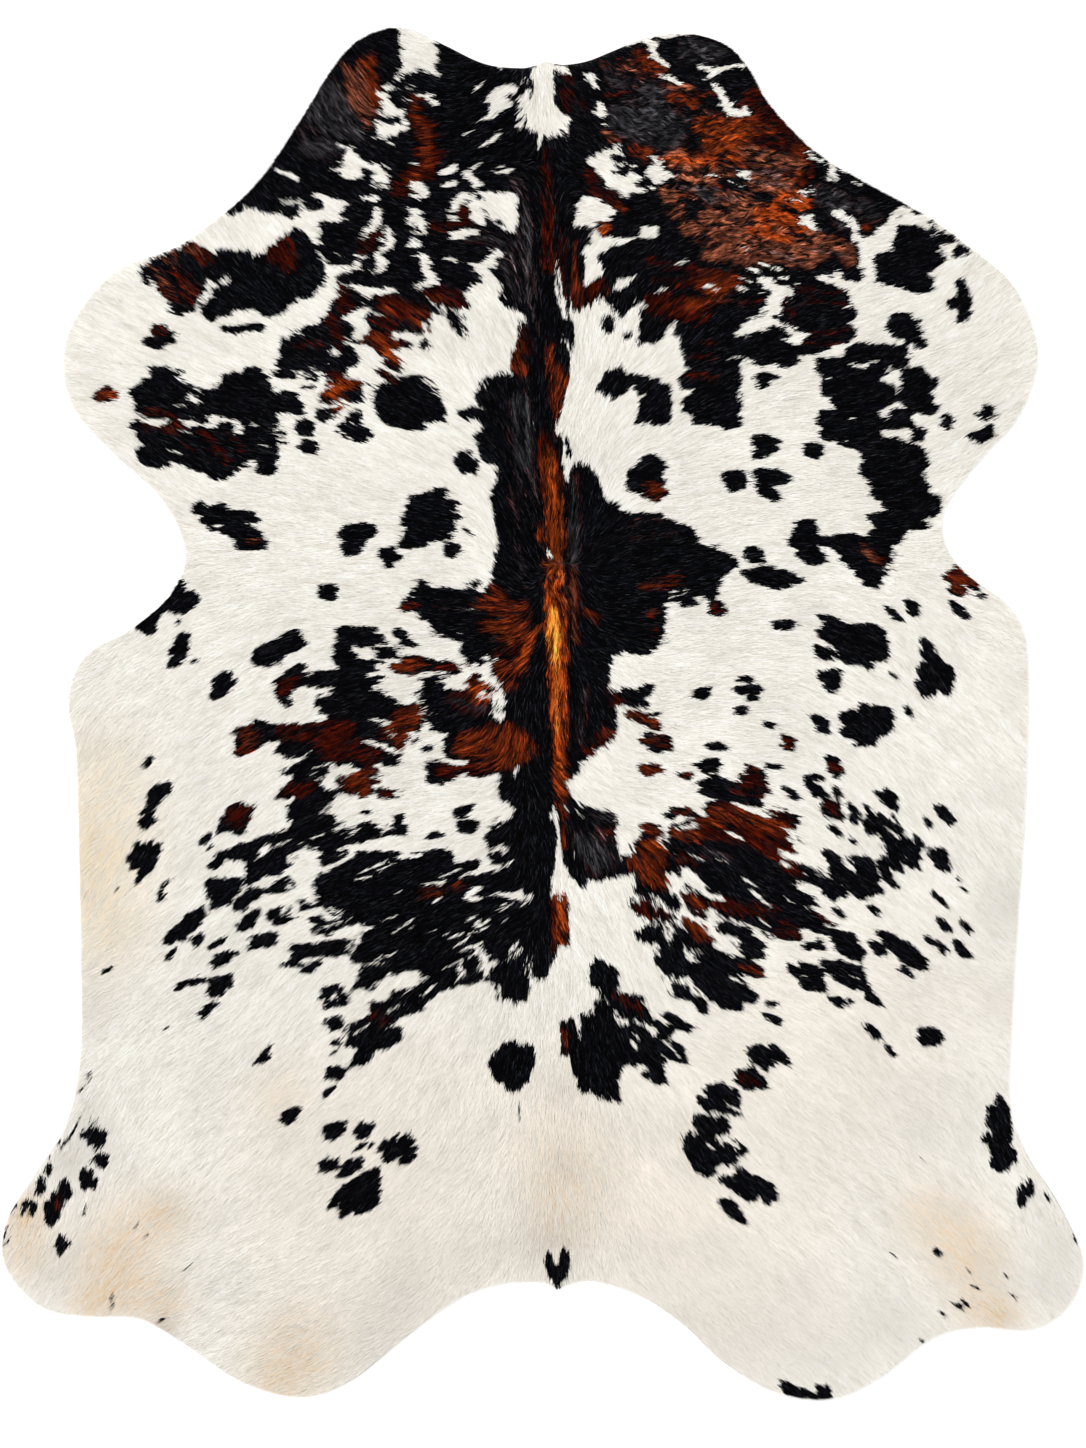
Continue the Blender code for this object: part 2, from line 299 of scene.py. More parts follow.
# Where the hair is curly: its direction wanders by this much more, and it is shorter
FULL_CURL_DEG, CURL_SHORTENING = 24.0, 0.35
Curl = namedtuple("Curl", "x_px y_px radius_px degrees")
CURLS = (
    Curl(650, 95, 75, 34.0),
    Curl(720, 165, 90, 28.0),
    Curl(780, 235, 60, 26.0),
    Curl(556, 574, 20, 45.0),
    Curl(322, 118, 36, 22.0),
    Curl(838, 205, 30, 30.0),
)

# The markings, in tapered strokes: each stroke's two ends and the radius at each
Stroke = namedtuple("Stroke", "x_px y_px end_x_px end_y_px radius_px end_radius_px")


def strokes(*rows):
    """Strokes from their rows. A row with a single radius has it at both ends."""
    return [Stroke(*row[:5], row[-1]) for row in rows]


BLACK_STROKES = {
    "neck, left of the blaze": strokes(
        (395, 60, 310, 140, 58, 50), (480, 110, 480, 200, 70, 62), (400, 110, 400, 190, 60, 55),
        (340, 180, 345, 190, 25, 20), (300, 130, 250, 190, 30, 12), (285, 170, 242, 198, 22, 7),
        (275, 188, 294, 196, 23, 20), (297, 206, 290, 211, 7), (233, 211, 242, 205, 3, 5),
        (400, 215, 395, 240, 60, 35),
    ),
    "neck, right of the blaze": strokes(
        (580, 100, 720, 90, 45, 60), (570, 170, 700, 180, 30, 60), (560, 240, 700, 230, 14, 60),
        (760, 130, 780, 200, 50, 60), (740, 230, 820, 230, 50, 42), (860, 200, 900, 215, 30, 20),
        (620, 285, 690, 290, 20, 25), (600, 290, 628, 300, 5, 10), (615, 300, 621, 312, 7, 4),
        (655, 310, 720, 325, 18, 32), (648, 330, 650, 338, 10, 6), (700, 360, 722, 360, 18),
        (688, 382, 700, 378, 9, 10), (700, 404, 725, 404, 15, 17), (690, 406, 700, 410, 8, 9),
        (722, 420, 726, 424, 9, 6), (715, 390, 722, 380, 14, 16), (780, 260, 845, 262, 20, 16),
        (846, 270, 856, 275, 7, 6),
    ),
    "strip along the neck's spine": strokes(
        (556, 150, 545, 320, 22, 24), (545, 320, 545, 380, 26, 24),
    ),
    "left shoulder": strokes(
        (185, 270, 186, 300, 16, 13), (172, 306, 180, 310, 5), (168, 262, 185, 262, 12, 16),
        (225, 262, 245, 262, 12), (212, 268, 218, 276, 6, 5), (225, 298, 250, 292, 14, 18),
        (213, 310, 225, 304, 11, 12), (262, 280, 300, 270, 26, 24), (296, 240, 305, 262, 11, 16),
        (270, 304, 285, 296, 14, 12), (300, 285, 318, 278, 14, 8), (225, 329, 235, 330, 3, 4),
        (240, 328, 262, 328, 2.5, 4), (156, 330, 164, 331, 5, 4), (150, 341, 170, 338, 4, 6),
        (160, 345, 158, 347, 5, 2), (325, 235, 355, 240, 8, 22), (338, 280, 360, 274, 2, 7),
    ),
    "withers, left of the spine": strokes(
        (345, 275, 400, 278, 5, 8), (400, 262, 410, 285, 14, 10), (455, 275, 470, 285, 15, 10),
        (398, 343, 410, 346, 4, 3), (340, 428, 352, 415, 8, 5), (345, 430, 365, 436, 8),
        (400, 402, 415, 402, 26, 27), (430, 400, 440, 407, 12, 5), (430, 415, 444, 420, 7, 2),
        (405, 425, 424, 427, 5, 3), (462, 460, 470, 466, 8), (462, 413, 474, 413, 3.5, 7),
        (530, 300, 545, 400, 12, 26), (505, 392, 520, 395, 20, 22), (485, 398, 500, 402, 10, 18),
        (490, 412, 510, 420, 8, 20), (480, 415, 500, 425, 6, 12), (500, 440, 520, 445, 20, 22),
    ),
    "right shoulder, lower patches": strokes(
        (810, 290, 840, 297, 12, 9), (800, 305, 845, 312, 20, 11), (790, 310, 820, 325, 16),
        (820, 330, 848, 332, 14, 8), (815, 343, 830, 342, 9, 5), (805, 345, 812, 350, 6, 5),
        (783, 345, 795, 350, 6), (784, 355, 794, 357, 6, 4), (783, 364, 788, 362, 3, 2),
        (845, 306, 852, 314, 7, 6), (740, 342, 780, 345, 8, 10), (745, 350, 780, 352, 6),
        (757, 377, 765, 376, 3, 4), (762, 378, 772, 376, 5, 4), (762, 384, 766, 384, 5, 3),
        (772, 376, 776, 378, 2, 1.5), (755, 360, 765, 364, 4, 3), (606, 378, 618, 375, 4, 6),
        (612, 380, 625, 380, 10, 8), (605, 388, 612, 394, 6, 5), (598, 390, 602, 386, 3, 4),
        (616, 390, 622, 388, 8, 6), (632, 380, 645, 382, 5, 7), (640, 386, 655, 388, 7, 8),
        (655, 385, 664, 390, 6, 7), (664, 392, 664, 412, 6, 7), (645, 406, 662, 408, 8, 10),
        (640, 418, 665, 418, 5, 7), (638, 406, 642, 410, 3, 6), (604, 320, 612, 318, 3, 4),
        (606, 325, 612, 328, 4), (609, 331, 611, 331, 3, 1.5), (624, 338, 630, 336, 2, 2.5),
        (848, 352, 862, 346, 4, 5), (862, 348, 905, 352, 6, 7), (885, 352, 905, 358, 7, 6),
        (895, 362, 903, 362, 8, 6), (908, 344, 922, 344, 4, 4.5), (895, 320, 905, 320, 6, 7),
        (894, 327, 912, 328, 9), (900, 334, 915, 333, 7), (832, 368, 850, 372, 10, 12),
        (830, 388, 870, 388, 9, 14), (850, 400, 880, 395, 16, 15), (830, 420, 860, 420, 13, 14),
        (828, 433, 850, 430, 8, 10), (858, 440, 880, 445, 10, 14), (860, 373, 880, 372, 6),
        (880, 372, 888, 374, 3, 1), (905, 376, 920, 374, 7), (905, 386, 930, 383, 7, 8),
        (925, 386, 936, 383, 4, 3), (885, 397, 930, 397, 5), (910, 403, 930, 404, 6),
        (925, 409, 933, 409, 6, 5), (895, 413, 905, 416, 5, 6), (885, 424, 905, 422, 6),
        (905, 418, 912, 422, 4, 2), (913, 430, 918, 435, 5, 7), (915, 437, 918, 438, 5, 4),
        (875, 455, 905, 455, 14), (870, 470, 910, 470, 10, 16), (880, 490, 915, 490, 10, 14),
        (895, 505, 930, 508, 12, 10), (925, 500, 936, 500, 8, 6), (918, 460, 922, 462, 8, 7),
        (890, 440, 905, 448, 5, 6), (885, 520, 915, 520, 12, 8), (880, 533, 900, 535, 10),
        (912, 235, 925, 238, 10, 8), (898, 240, 915, 245, 8, 14), (895, 258, 930, 255, 14),
        (890, 272, 915, 275, 14), (915, 275, 928, 285, 12, 8), (930, 258, 940, 261, 8, 4),
        (905, 283, 920, 288, 8, 6), (938, 240, 950, 239, 4, 5), (950, 241, 956, 241, 3, 1),
        (959, 249, 966, 252, 5, 4), (956, 255, 957, 257, 3, 2), (929, 222, 934, 230, 1, 3),
        (808, 450, 816, 451, 6, 8), (806, 446, 812, 446, 3), (946, 418, 952, 420, 4, 3),
        (946, 425, 949, 427, 4, 3), (984, 408, 990, 409, 3, 4), (976, 414, 986, 415, 1.5, 3),
        (988, 413, 997, 416, 3, 1.5), (984, 418, 988, 419, 3, 2), (988, 429, 992, 434, 4),
        (970, 438, 988, 433, 4, 5), (978, 442, 984, 438, 3, 4), (960, 283, 966, 290, 4),
        (962, 295, 966, 300, 6, 5), (952, 304, 966, 304, 6), (962, 312, 968, 312, 5, 4),
        (960, 318, 965, 318, 4, 3),
    ),
    "big patch, right of the spine": strokes(
        (588, 485, 590, 520, 12, 22), (575, 480, 578, 500, 4, 8), (600, 520, 640, 540, 20, 26),
        (640, 540, 680, 550, 27, 22), (690, 552, 715, 563, 18, 12), (700, 570, 712, 582, 14, 9),
        (620, 570, 680, 575, 30, 20), (600, 600, 640, 600, 30, 28), (620, 630, 645, 635, 22, 17),
        (590, 560, 590, 640, 22), (590, 640, 590, 690, 20), (680, 588, 700, 588, 10, 8),
        (672, 598, 690, 601, 3, 4),
    ),
    "spots right of the spine, down to the big patch's end": strokes(
        (714, 603, 718, 605, 6, 5), (712, 611, 722, 612, 4, 5), (645, 462, 655, 460, 6),
        (635, 474, 655, 470, 7, 9), (632, 484, 655, 484, 6, 8), (655, 490, 664, 492, 8, 4),
        (645, 495, 658, 498, 3, 4), (726, 475, 740, 474, 4), (728, 482, 742, 480, 5, 6),
        (732, 489, 738, 487, 3, 4), (758, 474, 775, 474, 5, 6), (760, 483, 780, 480, 6, 5),
        (764, 493, 775, 494, 5), (772, 499, 778, 499, 3), (775, 472, 788, 478, 5, 3),
        (748, 550, 756, 550, 3, 4), (750, 556, 760, 556, 5, 4.5), (752, 561, 762, 561, 3, 3.5),
        (745, 572, 770, 572, 2, 5), (755, 576, 785, 576, 5, 7), (768, 570, 772, 569, 3),
        (775, 583, 790, 582, 7, 5), (790, 578, 802, 580, 6, 2), (776, 625, 790, 625, 4.5, 5),
        (740, 679, 750, 679, 3, 3.5), (738, 690, 755, 690, 4, 6), (750, 696, 758, 697, 5, 3),
        (694, 692, 708, 691, 3, 4), (692, 696, 704, 696, 1.5, 3), (638, 692, 648, 688, 4, 5),
        (640, 697, 646, 695, 2), (711, 546, 716, 546, 0.8, 1.5), (753, 437, 765, 437, 2, 3),
        (757, 444, 768, 445, 6, 8), (757, 454, 764, 452, 5, 6), (772, 440, 780, 441, 3, 2),
        (772, 450, 778, 448, 3, 2),
    ),
    "patches left of the spine": strokes(
        (303, 447, 312, 447, 3.5, 4), (306, 452, 314, 451, 2), (460, 455, 466, 457, 4),
        (458, 463, 472, 464, 5, 6), (463, 470, 470, 470, 4), (466, 451, 472, 452, 0.8),
        (512, 470, 515, 500, 14, 24), (515, 500, 517, 545, 24, 17), (515, 560, 512, 575, 20),
        (520, 440, 530, 600, 20, 25), (425, 500, 440, 500, 9, 8), (420, 510, 445, 512, 16, 12),
        (415, 520, 445, 525, 14, 10), (410, 532, 430, 530, 10, 12), (405, 543, 422, 542, 6, 5),
        (438, 492, 446, 492, 4, 3), (440, 530, 455, 528, 8, 2), (445, 505, 458, 503, 6, 2),
        (447, 515, 458, 518, 6, 3), (464, 529, 474, 536, 1.5, 1.2), (430, 539, 450, 538, 2, 1.5),
        (446, 544, 454, 548, 3, 5), (450, 552, 456, 552, 6, 4), (383, 552, 392, 551, 4),
        (388, 557, 398, 558, 4, 3), (388, 565, 392, 566, 3.5, 2), (383, 554, 386, 555, 4),
        (350, 532, 368, 530, 7), (342, 534, 348, 537, 4, 6), (350, 540, 360, 540, 7, 6),
        (348, 549, 358, 548, 7, 6), (368, 535, 374, 534, 5, 3), (326, 590, 332, 590, 6),
        (322, 595, 334, 595, 4), (327, 599, 332, 599, 2), (420, 588, 430, 592, 5, 7),
        (415, 598, 430, 600, 6, 8), (404, 607, 412, 607, 5, 4), (435, 600, 460, 600, 10),
        (432, 612, 460, 612, 10, 12), (445, 622, 480, 622, 9, 13), (470, 635, 500, 635, 8, 12),
        (470, 650, 485, 648, 7, 8), (480, 600, 500, 640, 8, 18), (500, 600, 520, 660, 18, 20),
        (468, 588, 480, 583, 1.2, 1.5), (466, 585, 474, 582, 0.8, 1), (342, 632, 372, 632, 6, 5),
        (345, 640, 380, 638, 8, 4), (340, 650, 350, 650, 7, 8), (338, 657, 360, 658, 6, 4),
        (345, 665, 370, 666, 8, 5), (360, 645, 384, 642, 3, 1.5), (382, 655, 398, 655, 1.5, 2.5),
        (392, 646, 396, 648, 2), (397, 634, 405, 636, 4, 5), (403, 642, 412, 644, 4, 3),
        (392, 668, 410, 668, 4, 7), (405, 660, 420, 662, 5, 6), (412, 670, 422, 668, 6, 4),
        (420, 658, 432, 660, 1.5), (425, 665, 435, 668, 5, 4), (443, 664, 455, 666, 3, 4),
        (448, 670, 457, 672, 4, 3), (440, 668, 446, 668, 2, 3), (372, 661, 384, 662, 1.5),
    ),
    "left foreleg and flank": strokes(
        (146, 453, 165, 455, 9), (150, 460, 165, 463, 6, 5), (175, 450, 200, 455, 12, 13),
        (205, 460, 225, 465, 14, 13), (215, 474, 226, 474, 6, 5), (230, 450, 262, 452, 14, 15),
        (262, 466, 270, 468, 8, 7), (198, 506, 202, 504, 4, 3), (197, 511, 201, 511, 4),
        (210, 512, 222, 508, 6, 5), (206, 519, 230, 518, 6, 9), (230, 516, 250, 516, 6, 5),
        (250, 515, 256, 519, 4, 2), (225, 527, 245, 530, 7, 6), (235, 533, 242, 535, 5),
        (212, 527, 216, 528, 4, 3), (245, 528, 258, 535, 5, 4), (240, 545, 262, 544, 5),
        (262, 542, 270, 543, 3, 1.5), (180, 582, 183, 590, 3, 4), (184, 592, 195, 594, 4, 3),
        (178, 600, 190, 600, 8, 9), (172, 605, 182, 606, 7, 8), (150, 622, 163, 605, 6, 5),
        (142, 627, 152, 628, 5), (190, 598, 196, 600, 8, 4), (177, 622, 180, 622, 2),
        (184, 636, 188, 638, 4, 3), (180, 642, 183, 648, 6), (174, 652, 178, 656, 5, 6),
        (172, 664, 177, 660, 4, 6), (184, 656, 186, 654, 2, 1.5), (193, 662, 197, 660, 1.5, 1),
        (296, 635, 285, 642, 6, 8), (275, 648, 262, 655, 8, 9), (256, 660, 270, 662, 5),
        (275, 655, 285, 650, 6, 5), (280, 662, 288, 656, 3, 1), (252, 662, 258, 662, 2, 3),
    ),
    "right flank, upper spots": strokes(
        (800, 555, 815, 553, 4, 7), (810, 558, 822, 558, 7, 5), (800, 546, 812, 545, 5),
        (790, 541, 812, 544, 3, 4), (840, 545, 880, 548, 8, 12), (855, 558, 885, 560, 6, 10),
        (860, 570, 878, 568, 8, 9), (868, 580, 875, 578, 7), (888, 565, 891, 568, 4, 3),
        (884, 548, 892, 552, 8, 5), (833, 548, 845, 552, 5, 6), (886, 608, 895, 615, 2, 4),
        (895, 617, 901, 620, 4, 2), (908, 604, 914, 607, 4, 5), (912, 611, 917, 614, 5, 3),
        (958, 568, 975, 580, 4), (950, 576, 962, 578, 6, 7), (955, 588, 962, 592, 7, 5),
        (972, 584, 977, 586, 4, 2), (979, 595, 982, 596, 2, 3), (950, 601, 958, 609, 2, 5),
        (960, 611, 966, 617, 5, 3), (825, 621, 838, 622, 4), (826, 632, 840, 630, 8, 9),
        (845, 635, 870, 635, 11, 12), (845, 650, 880, 652, 10), (830, 648, 845, 650, 4, 8),
        (818, 650, 826, 654, 5), (820, 657, 832, 658, 3, 2), (848, 662, 850, 662, 3),
        (866, 665, 870, 666, 4, 3), (891, 674, 896, 677, 1.5, 1.2), (822, 676, 836, 674, 5, 6),
        (828, 684, 838, 680, 6, 5), (830, 690, 834, 690, 3), (924, 641, 930, 650, 3, 6),
        (924, 652, 935, 662, 5, 7), (925, 670, 945, 672, 9), (945, 674, 950, 678, 6, 4),
        (922, 684, 945, 684, 7, 8), (925, 693, 930, 692, 5, 4), (945, 691, 948, 691, 4, 3),
        (860, 706, 868, 708, 3, 4), (845, 718, 870, 718, 6, 12), (850, 730, 875, 728, 9, 12),
        (870, 712, 885, 716, 8, 9), (885, 722, 888, 726, 7, 5), (858, 742, 872, 741, 5, 4),
        (906, 708, 910, 713, 2.5, 3), (815, 718, 822, 724, 4, 6), (820, 729, 828, 731, 4, 3),
        (782, 737, 790, 742, 3, 5), (784, 747, 792, 748, 3), (828, 759, 835, 762, 4, 5),
        (832, 768, 839, 770, 5, 4), (836, 776, 838, 776, 3, 2), (806, 777, 820, 778, 2, 3),
        (806, 783, 818, 790, 3, 5), (815, 792, 822, 796, 5, 3), (784, 788, 795, 794, 2, 3),
        (792, 796, 798, 798, 3, 2), (834, 789, 838, 796, 3, 4), (876, 793, 884, 798, 2, 4),
        (887, 792, 894, 798, 3, 4), (800, 525, 812, 524, 5), (798, 533, 812, 532, 7, 6),
        (835, 540, 855, 538, 6, 5),
    ),
    "left flank spots": strokes(
        (222, 677, 230, 674, 5, 3), (218, 684, 230, 682, 7, 5), (217, 693, 224, 690, 6),
        (232, 680, 236, 682, 3, 1.5), (280, 684, 290, 678, 6, 7), (280, 692, 290, 690, 6, 4),
        (282, 697, 288, 694, 5, 4), (280, 703, 290, 703, 2, 3), (290, 674, 300, 668, 5),
        (150, 759, 147, 765, 3.5, 3), (155, 790, 170, 785, 4), (152, 795, 165, 791, 5, 6),
        (150, 803, 156, 800, 4, 6), (146, 812, 152, 808, 4, 5), (145, 822, 153, 818, 5),
        (143, 827, 147, 826, 3), (138, 845, 142, 850, 4, 6), (132, 858, 150, 850, 5, 9),
        (136, 862, 150, 856, 7, 9), (150, 848, 158, 848, 5), (132, 867, 140, 865, 3, 4),
        (142, 872, 138, 880, 4, 2.5), (150, 865, 144, 872, 5, 4), (136, 884, 138, 881, 1.5, 2),
        (161, 888, 168, 881, 1.5, 2), (160, 896, 163, 893, 3, 3.5), (160, 900, 161, 899, 2),
        (116, 891, 118, 889, 1), (230, 810, 242, 806, 4, 5), (225, 820, 245, 815, 5, 8),
        (222, 828, 240, 825, 4, 7), (246, 810, 252, 808, 4, 3), (219, 831, 222, 829, 2, 3),
        (238, 832, 244, 830, 3), (203, 842, 209, 837, 3.5), (209, 848, 213, 845, 1),
        (236, 732, 245, 730, 3, 4), (245, 735, 262, 730, 7, 8), (262, 732, 300, 732, 8, 9),
        (242, 744, 256, 742, 8, 4), (238, 752, 246, 750, 5, 4), (256, 722, 268, 723, 2.5, 2),
        (282, 750, 300, 748, 5, 8), (288, 755, 298, 756, 4, 3), (285, 772, 298, 770, 4, 6),
        (284, 793, 298, 788, 5, 8), (280, 797, 288, 797, 3, 2), (290, 808, 300, 808, 4, 8),
        (286, 815, 298, 818, 2, 8), (284, 833, 300, 828, 4, 7), (280, 838, 290, 836, 2, 3),
        (225, 854, 245, 850, 4, 6), (240, 850, 256, 846, 6, 5), (258, 843, 275, 837, 5, 3),
        (245, 858, 255, 855, 5), (250, 868, 262, 862, 5, 8), (247, 882, 258, 872, 4, 7),
        (260, 862, 285, 850, 6, 8), (270, 868, 290, 860, 7, 6), (265, 874, 280, 872, 3),
        (275, 845, 300, 840, 4, 6), (285, 850, 298, 846, 6, 4), (213, 866, 219, 862, 4),
        (210, 884, 222, 884, 5, 6), (212, 893, 235, 888, 6, 7), (215, 903, 228, 899, 5.4),
        (225, 884, 240, 880, 5, 4), (240, 903, 255, 893, 5, 6), (236, 908, 245, 908, 2.4, 3.4),
        (250, 893, 262, 892, 5, 1.5), (266, 892, 278, 888, 2.5, 4), (275, 887, 288, 880, 4),
        (282, 890, 290, 886, 3, 4), (190, 921, 205, 913, 5.4, 3.4), (248, 918, 258, 914, 3.4),
        (270, 914, 285, 909, 3.4, 4.4), (275, 919, 290, 918, 3.4, 2.4),
    ),
    "loin, left of the spine": strokes(
        (350, 690, 375, 690, 14, 10), (340, 710, 385, 712, 20, 16), (330, 738, 385, 738, 18, 20),
        (345, 752, 395, 756, 14, 10), (352, 785, 375, 775, 10), (362, 790, 372, 786, 8, 6),
        (384, 795, 394, 793, 4), (400, 715, 415, 712, 8), (395, 730, 415, 725, 12, 8),
        (400, 745, 410, 738, 8, 6), (315, 675, 350, 678, 4, 8), (355, 670, 380, 676, 6, 5),
        (300, 735, 330, 735, 12, 16), (300, 755, 330, 752, 4, 8), (430, 690, 450, 700, 10, 14),
        (440, 705, 480, 710, 16, 14), (450, 720, 500, 722, 12), (465, 690, 480, 700, 8, 10),
        (510, 700, 520, 720, 14, 20), (460, 745, 500, 745, 16, 22), (480, 765, 510, 755, 12, 14),
        (430, 765, 455, 768, 6, 9), (432, 777, 450, 775, 6), (440, 783, 442, 783, 3, 2),
        (425, 749, 432, 748, 2.5), (520, 790, 530, 800, 20), (525, 810, 530, 830, 12, 20),
        (505, 830, 520, 840, 14, 18), (492, 838, 505, 840, 6, 8), (458, 812, 470, 808, 4, 3.5),
        (456, 816, 464, 815, 3, 3.5), (460, 824, 474, 824, 4), (463, 829, 472, 829, 4),
        (431, 836, 441, 834, 3), (398, 818, 402, 817, 4, 3), (396, 826, 402, 826, 5),
        (396, 832, 404, 832, 4), (362, 828, 376, 827, 5), (364, 812, 369, 813, 1.5),
        (305, 790, 322, 790, 6, 4), (305, 805, 318, 806, 12, 6), (308, 820, 330, 825, 12, 6),
        (305, 838, 335, 838, 3, 5), (325, 860, 340, 852, 6, 8), (330, 842, 362, 840, 4, 3),
        (365, 832, 385, 832, 8, 5), (385, 828, 390, 832, 3), (335, 872, 360, 865, 8, 14),
        (340, 890, 420, 880, 20, 28), (345, 905, 430, 900, 12, 25), (375, 858, 395, 860, 7, 8),
        (430, 862, 445, 858, 12, 10), (440, 880, 520, 900, 20, 25), (492, 858, 503, 858, 3, 4),
        (462, 866, 476, 862, 4), (515, 870, 530, 880, 14, 16), (535, 700, 535, 880, 16),
        (520, 640, 530, 700, 20, 16),
    ),
    "loin, right of the spine": strokes(
        (590, 680, 595, 720, 24, 22), (590, 735, 600, 730, 20, 16), (580, 755, 588, 752, 14, 10),
        (570, 765, 574, 768, 6), (620, 697, 640, 698, 5), (630, 713, 645, 712, 6, 4),
        (645, 714, 658, 714, 3, 2), (640, 720, 655, 722, 4, 3), (650, 727, 658, 728, 2, 2.5),
        (645, 740, 665, 741, 5, 6), (652, 748, 668, 745, 4, 5), (658, 751, 662, 751, 2.5),
        (642, 768, 656, 769, 4, 5), (646, 773, 652, 773, 3), (678, 775, 688, 776, 2, 4),
        (710, 746, 720, 746, 4), (720, 748, 727, 749, 3, 1.5), (703, 763, 715, 764, 4, 6),
        (706, 769, 716, 768, 5), (709, 774, 713, 773, 2), (738, 711, 747, 710, 4),
        (768, 725, 774, 726, 3), (702, 785, 725, 785, 3, 6), (715, 791, 745, 790, 5, 9),
        (740, 792, 762, 795, 8), (748, 768, 760, 778, 4, 8), (742, 777, 760, 785, 3, 9),
        (712, 808, 730, 808, 8), (672, 812, 688, 811, 4), (668, 816, 676, 816, 3),
        (685, 822, 720, 822, 2, 8), (715, 812, 740, 815, 8, 10), (740, 818, 780, 828, 10, 12),
        (665, 832, 700, 835, 6, 12), (670, 845, 700, 845, 6, 10), (645, 826, 655, 830, 4, 6),
        (642, 835, 655, 838, 3, 6), (645, 848, 660, 850, 8, 10), (630, 862, 665, 862, 8, 12),
        (640, 878, 668, 880, 6, 10), (640, 890, 660, 888, 6, 8), (570, 815, 578, 840, 7, 16),
        (585, 825, 605, 820, 12, 9), (590, 845, 605, 845, 20, 16), (590, 865, 615, 865, 16, 14),
        (620, 865, 635, 865, 10), (584, 880, 585, 884, 4, 2), (690, 845, 720, 850, 12, 18),
        (700, 862, 740, 862, 10, 20), (730, 850, 780, 865, 20), (725, 880, 760, 885, 14),
        (750, 890, 780, 890, 10, 20), (770, 900, 780, 905, 8, 10), (680, 895, 700, 900, 4, 8),
        (662, 893, 672, 898, 3, 5), (672, 905, 678, 905, 5), (700, 912, 705, 915, 5, 4),
        (636, 902, 655, 905, 4, 8), (645, 912, 665, 918, 5, 7), (725, 908, 760, 915, 7, 8),
        (566, 785, 572, 805, 4, 6), (545, 800, 545, 880, 8),
    ),
    "right flank, lower spots": strokes(
        (824, 806, 836, 806, 4, 6), (828, 812, 840, 814, 6, 5), (848, 805, 854, 812, 3, 5),
        (852, 818, 856, 820, 4), (865, 805, 869, 810, 1.5, 2.5), (886, 800, 894, 806, 5, 4),
        (934, 805, 940, 810, 2, 4), (942, 811, 950, 820, 6, 5), (924, 818, 930, 825, 2, 3),
        (866, 818, 880, 818, 4, 5), (870, 826, 882, 828, 7, 6), (885, 822, 898, 832, 4, 2),
        (884, 836, 890, 838, 5), (784, 825, 794, 828, 4, 3), (832, 828, 839, 834, 3),
        (850, 838, 855, 843, 2), (886, 845, 900, 850, 6, 10), (905, 845, 918, 858, 8, 7),
        (888, 860, 896, 866, 6, 5), (900, 868, 903, 872, 4, 2), (912, 862, 920, 866, 4, 3),
        (908, 864, 911, 866, 2), (915, 837, 921, 845, 2.5, 3.5), (933, 851, 942, 856, 4, 7),
        (940, 862, 946, 866, 6, 5), (958, 878, 960, 881, 1), (961, 887, 966, 891, 1.5, 1),
        (933, 893, 942, 901, 2.5), (943, 902, 946, 906, 1.5, 1), (870, 907, 877, 912, 3, 4),
        (836, 908, 842, 916, 2.5), (826, 917, 833, 925, 2, 2.5), (826, 852, 836, 862, 4, 6),
        (836, 864, 845, 875, 5, 6), (832, 870, 838, 876, 3, 5), (848, 875, 870, 888, 6, 9),
        (850, 880, 862, 892, 8), (868, 890, 878, 890, 7, 4), (828, 888, 836, 893, 5, 6),
        (832, 896, 834, 898, 4, 3), (841, 892, 844, 896, 2, 1.5), (852, 858, 866, 868, 5, 7),
        (866, 868, 876, 880, 7, 4), (860, 862, 872, 864, 6), (884, 876, 895, 886, 3),
        (785, 876, 820, 876, 6, 5), (800, 880, 818, 882, 4, 5), (785, 893, 810, 900, 8, 6),
        (812, 904, 816, 906, 5, 3), (785, 908, 820, 920, 9, 6), (795, 920, 830, 932, 8, 3),
        (785, 930, 800, 935, 10, 6), (835, 936, 850, 940, 6, 8), (842, 945, 858, 955, 8, 7),
        (855, 948, 865, 953, 5, 2), (808, 946, 818, 943, 4, 5), (820, 947, 825, 948, 4, 2),
        (880, 933, 890, 937, 3, 5), (890, 942, 905, 950, 7, 9), (905, 955, 920, 962, 8, 7),
        (900, 950, 912, 956, 7, 8), (873, 943, 880, 951, 4, 5), (901, 968, 911, 974, 3),
        (938, 919, 944, 924, 3, 4), (944, 927, 951, 930, 4, 2), (962, 922, 969, 930, 2.5, 3),
        (927, 937, 931, 942, 2.5, 3), (937, 943, 944, 950, 3, 4), (957, 944, 963, 952, 4, 5),
        (964, 954, 971, 956, 3, 1.5), (790, 966, 796, 973, 3, 4), (802, 967, 815, 975, 5, 10),
        (808, 982, 820, 985, 8, 6), (815, 988, 824, 990, 3, 2), (823, 962, 835, 967, 3, 6),
        (840, 965, 855, 968, 6, 8), (838, 975, 855, 985, 6, 5), (855, 970, 862, 976, 6, 3),
        (862, 984, 868, 990, 5, 4), (868, 995, 876, 1001, 5, 4), (876, 1001, 884, 1006, 3, 1),
        (829, 998, 840, 1001, 2, 4), (838, 1004, 850, 1002, 3),
    ),
    "left flank, lower spots": strokes(
        (188, 919, 203, 910, 4.4, 3.4), (180, 931, 195, 921, 7.4, 6.4), (168, 939, 182, 934, 4.4, 6.4),
        (170, 933, 176, 930, 2.4), (163, 944, 170, 943, 0.9, 2.4), (192, 940, 203, 935, 2.9, 1.9),
        (195, 943, 200, 939, 3.4), (196, 946, 197, 945, 1.4), (168, 956, 174, 951, 2.4),
        (166, 958, 170, 957, 1.4, 2.4), (212, 946, 222, 941, 2.4, 2.9), (222, 940, 227, 937, 1.4, 0.5),
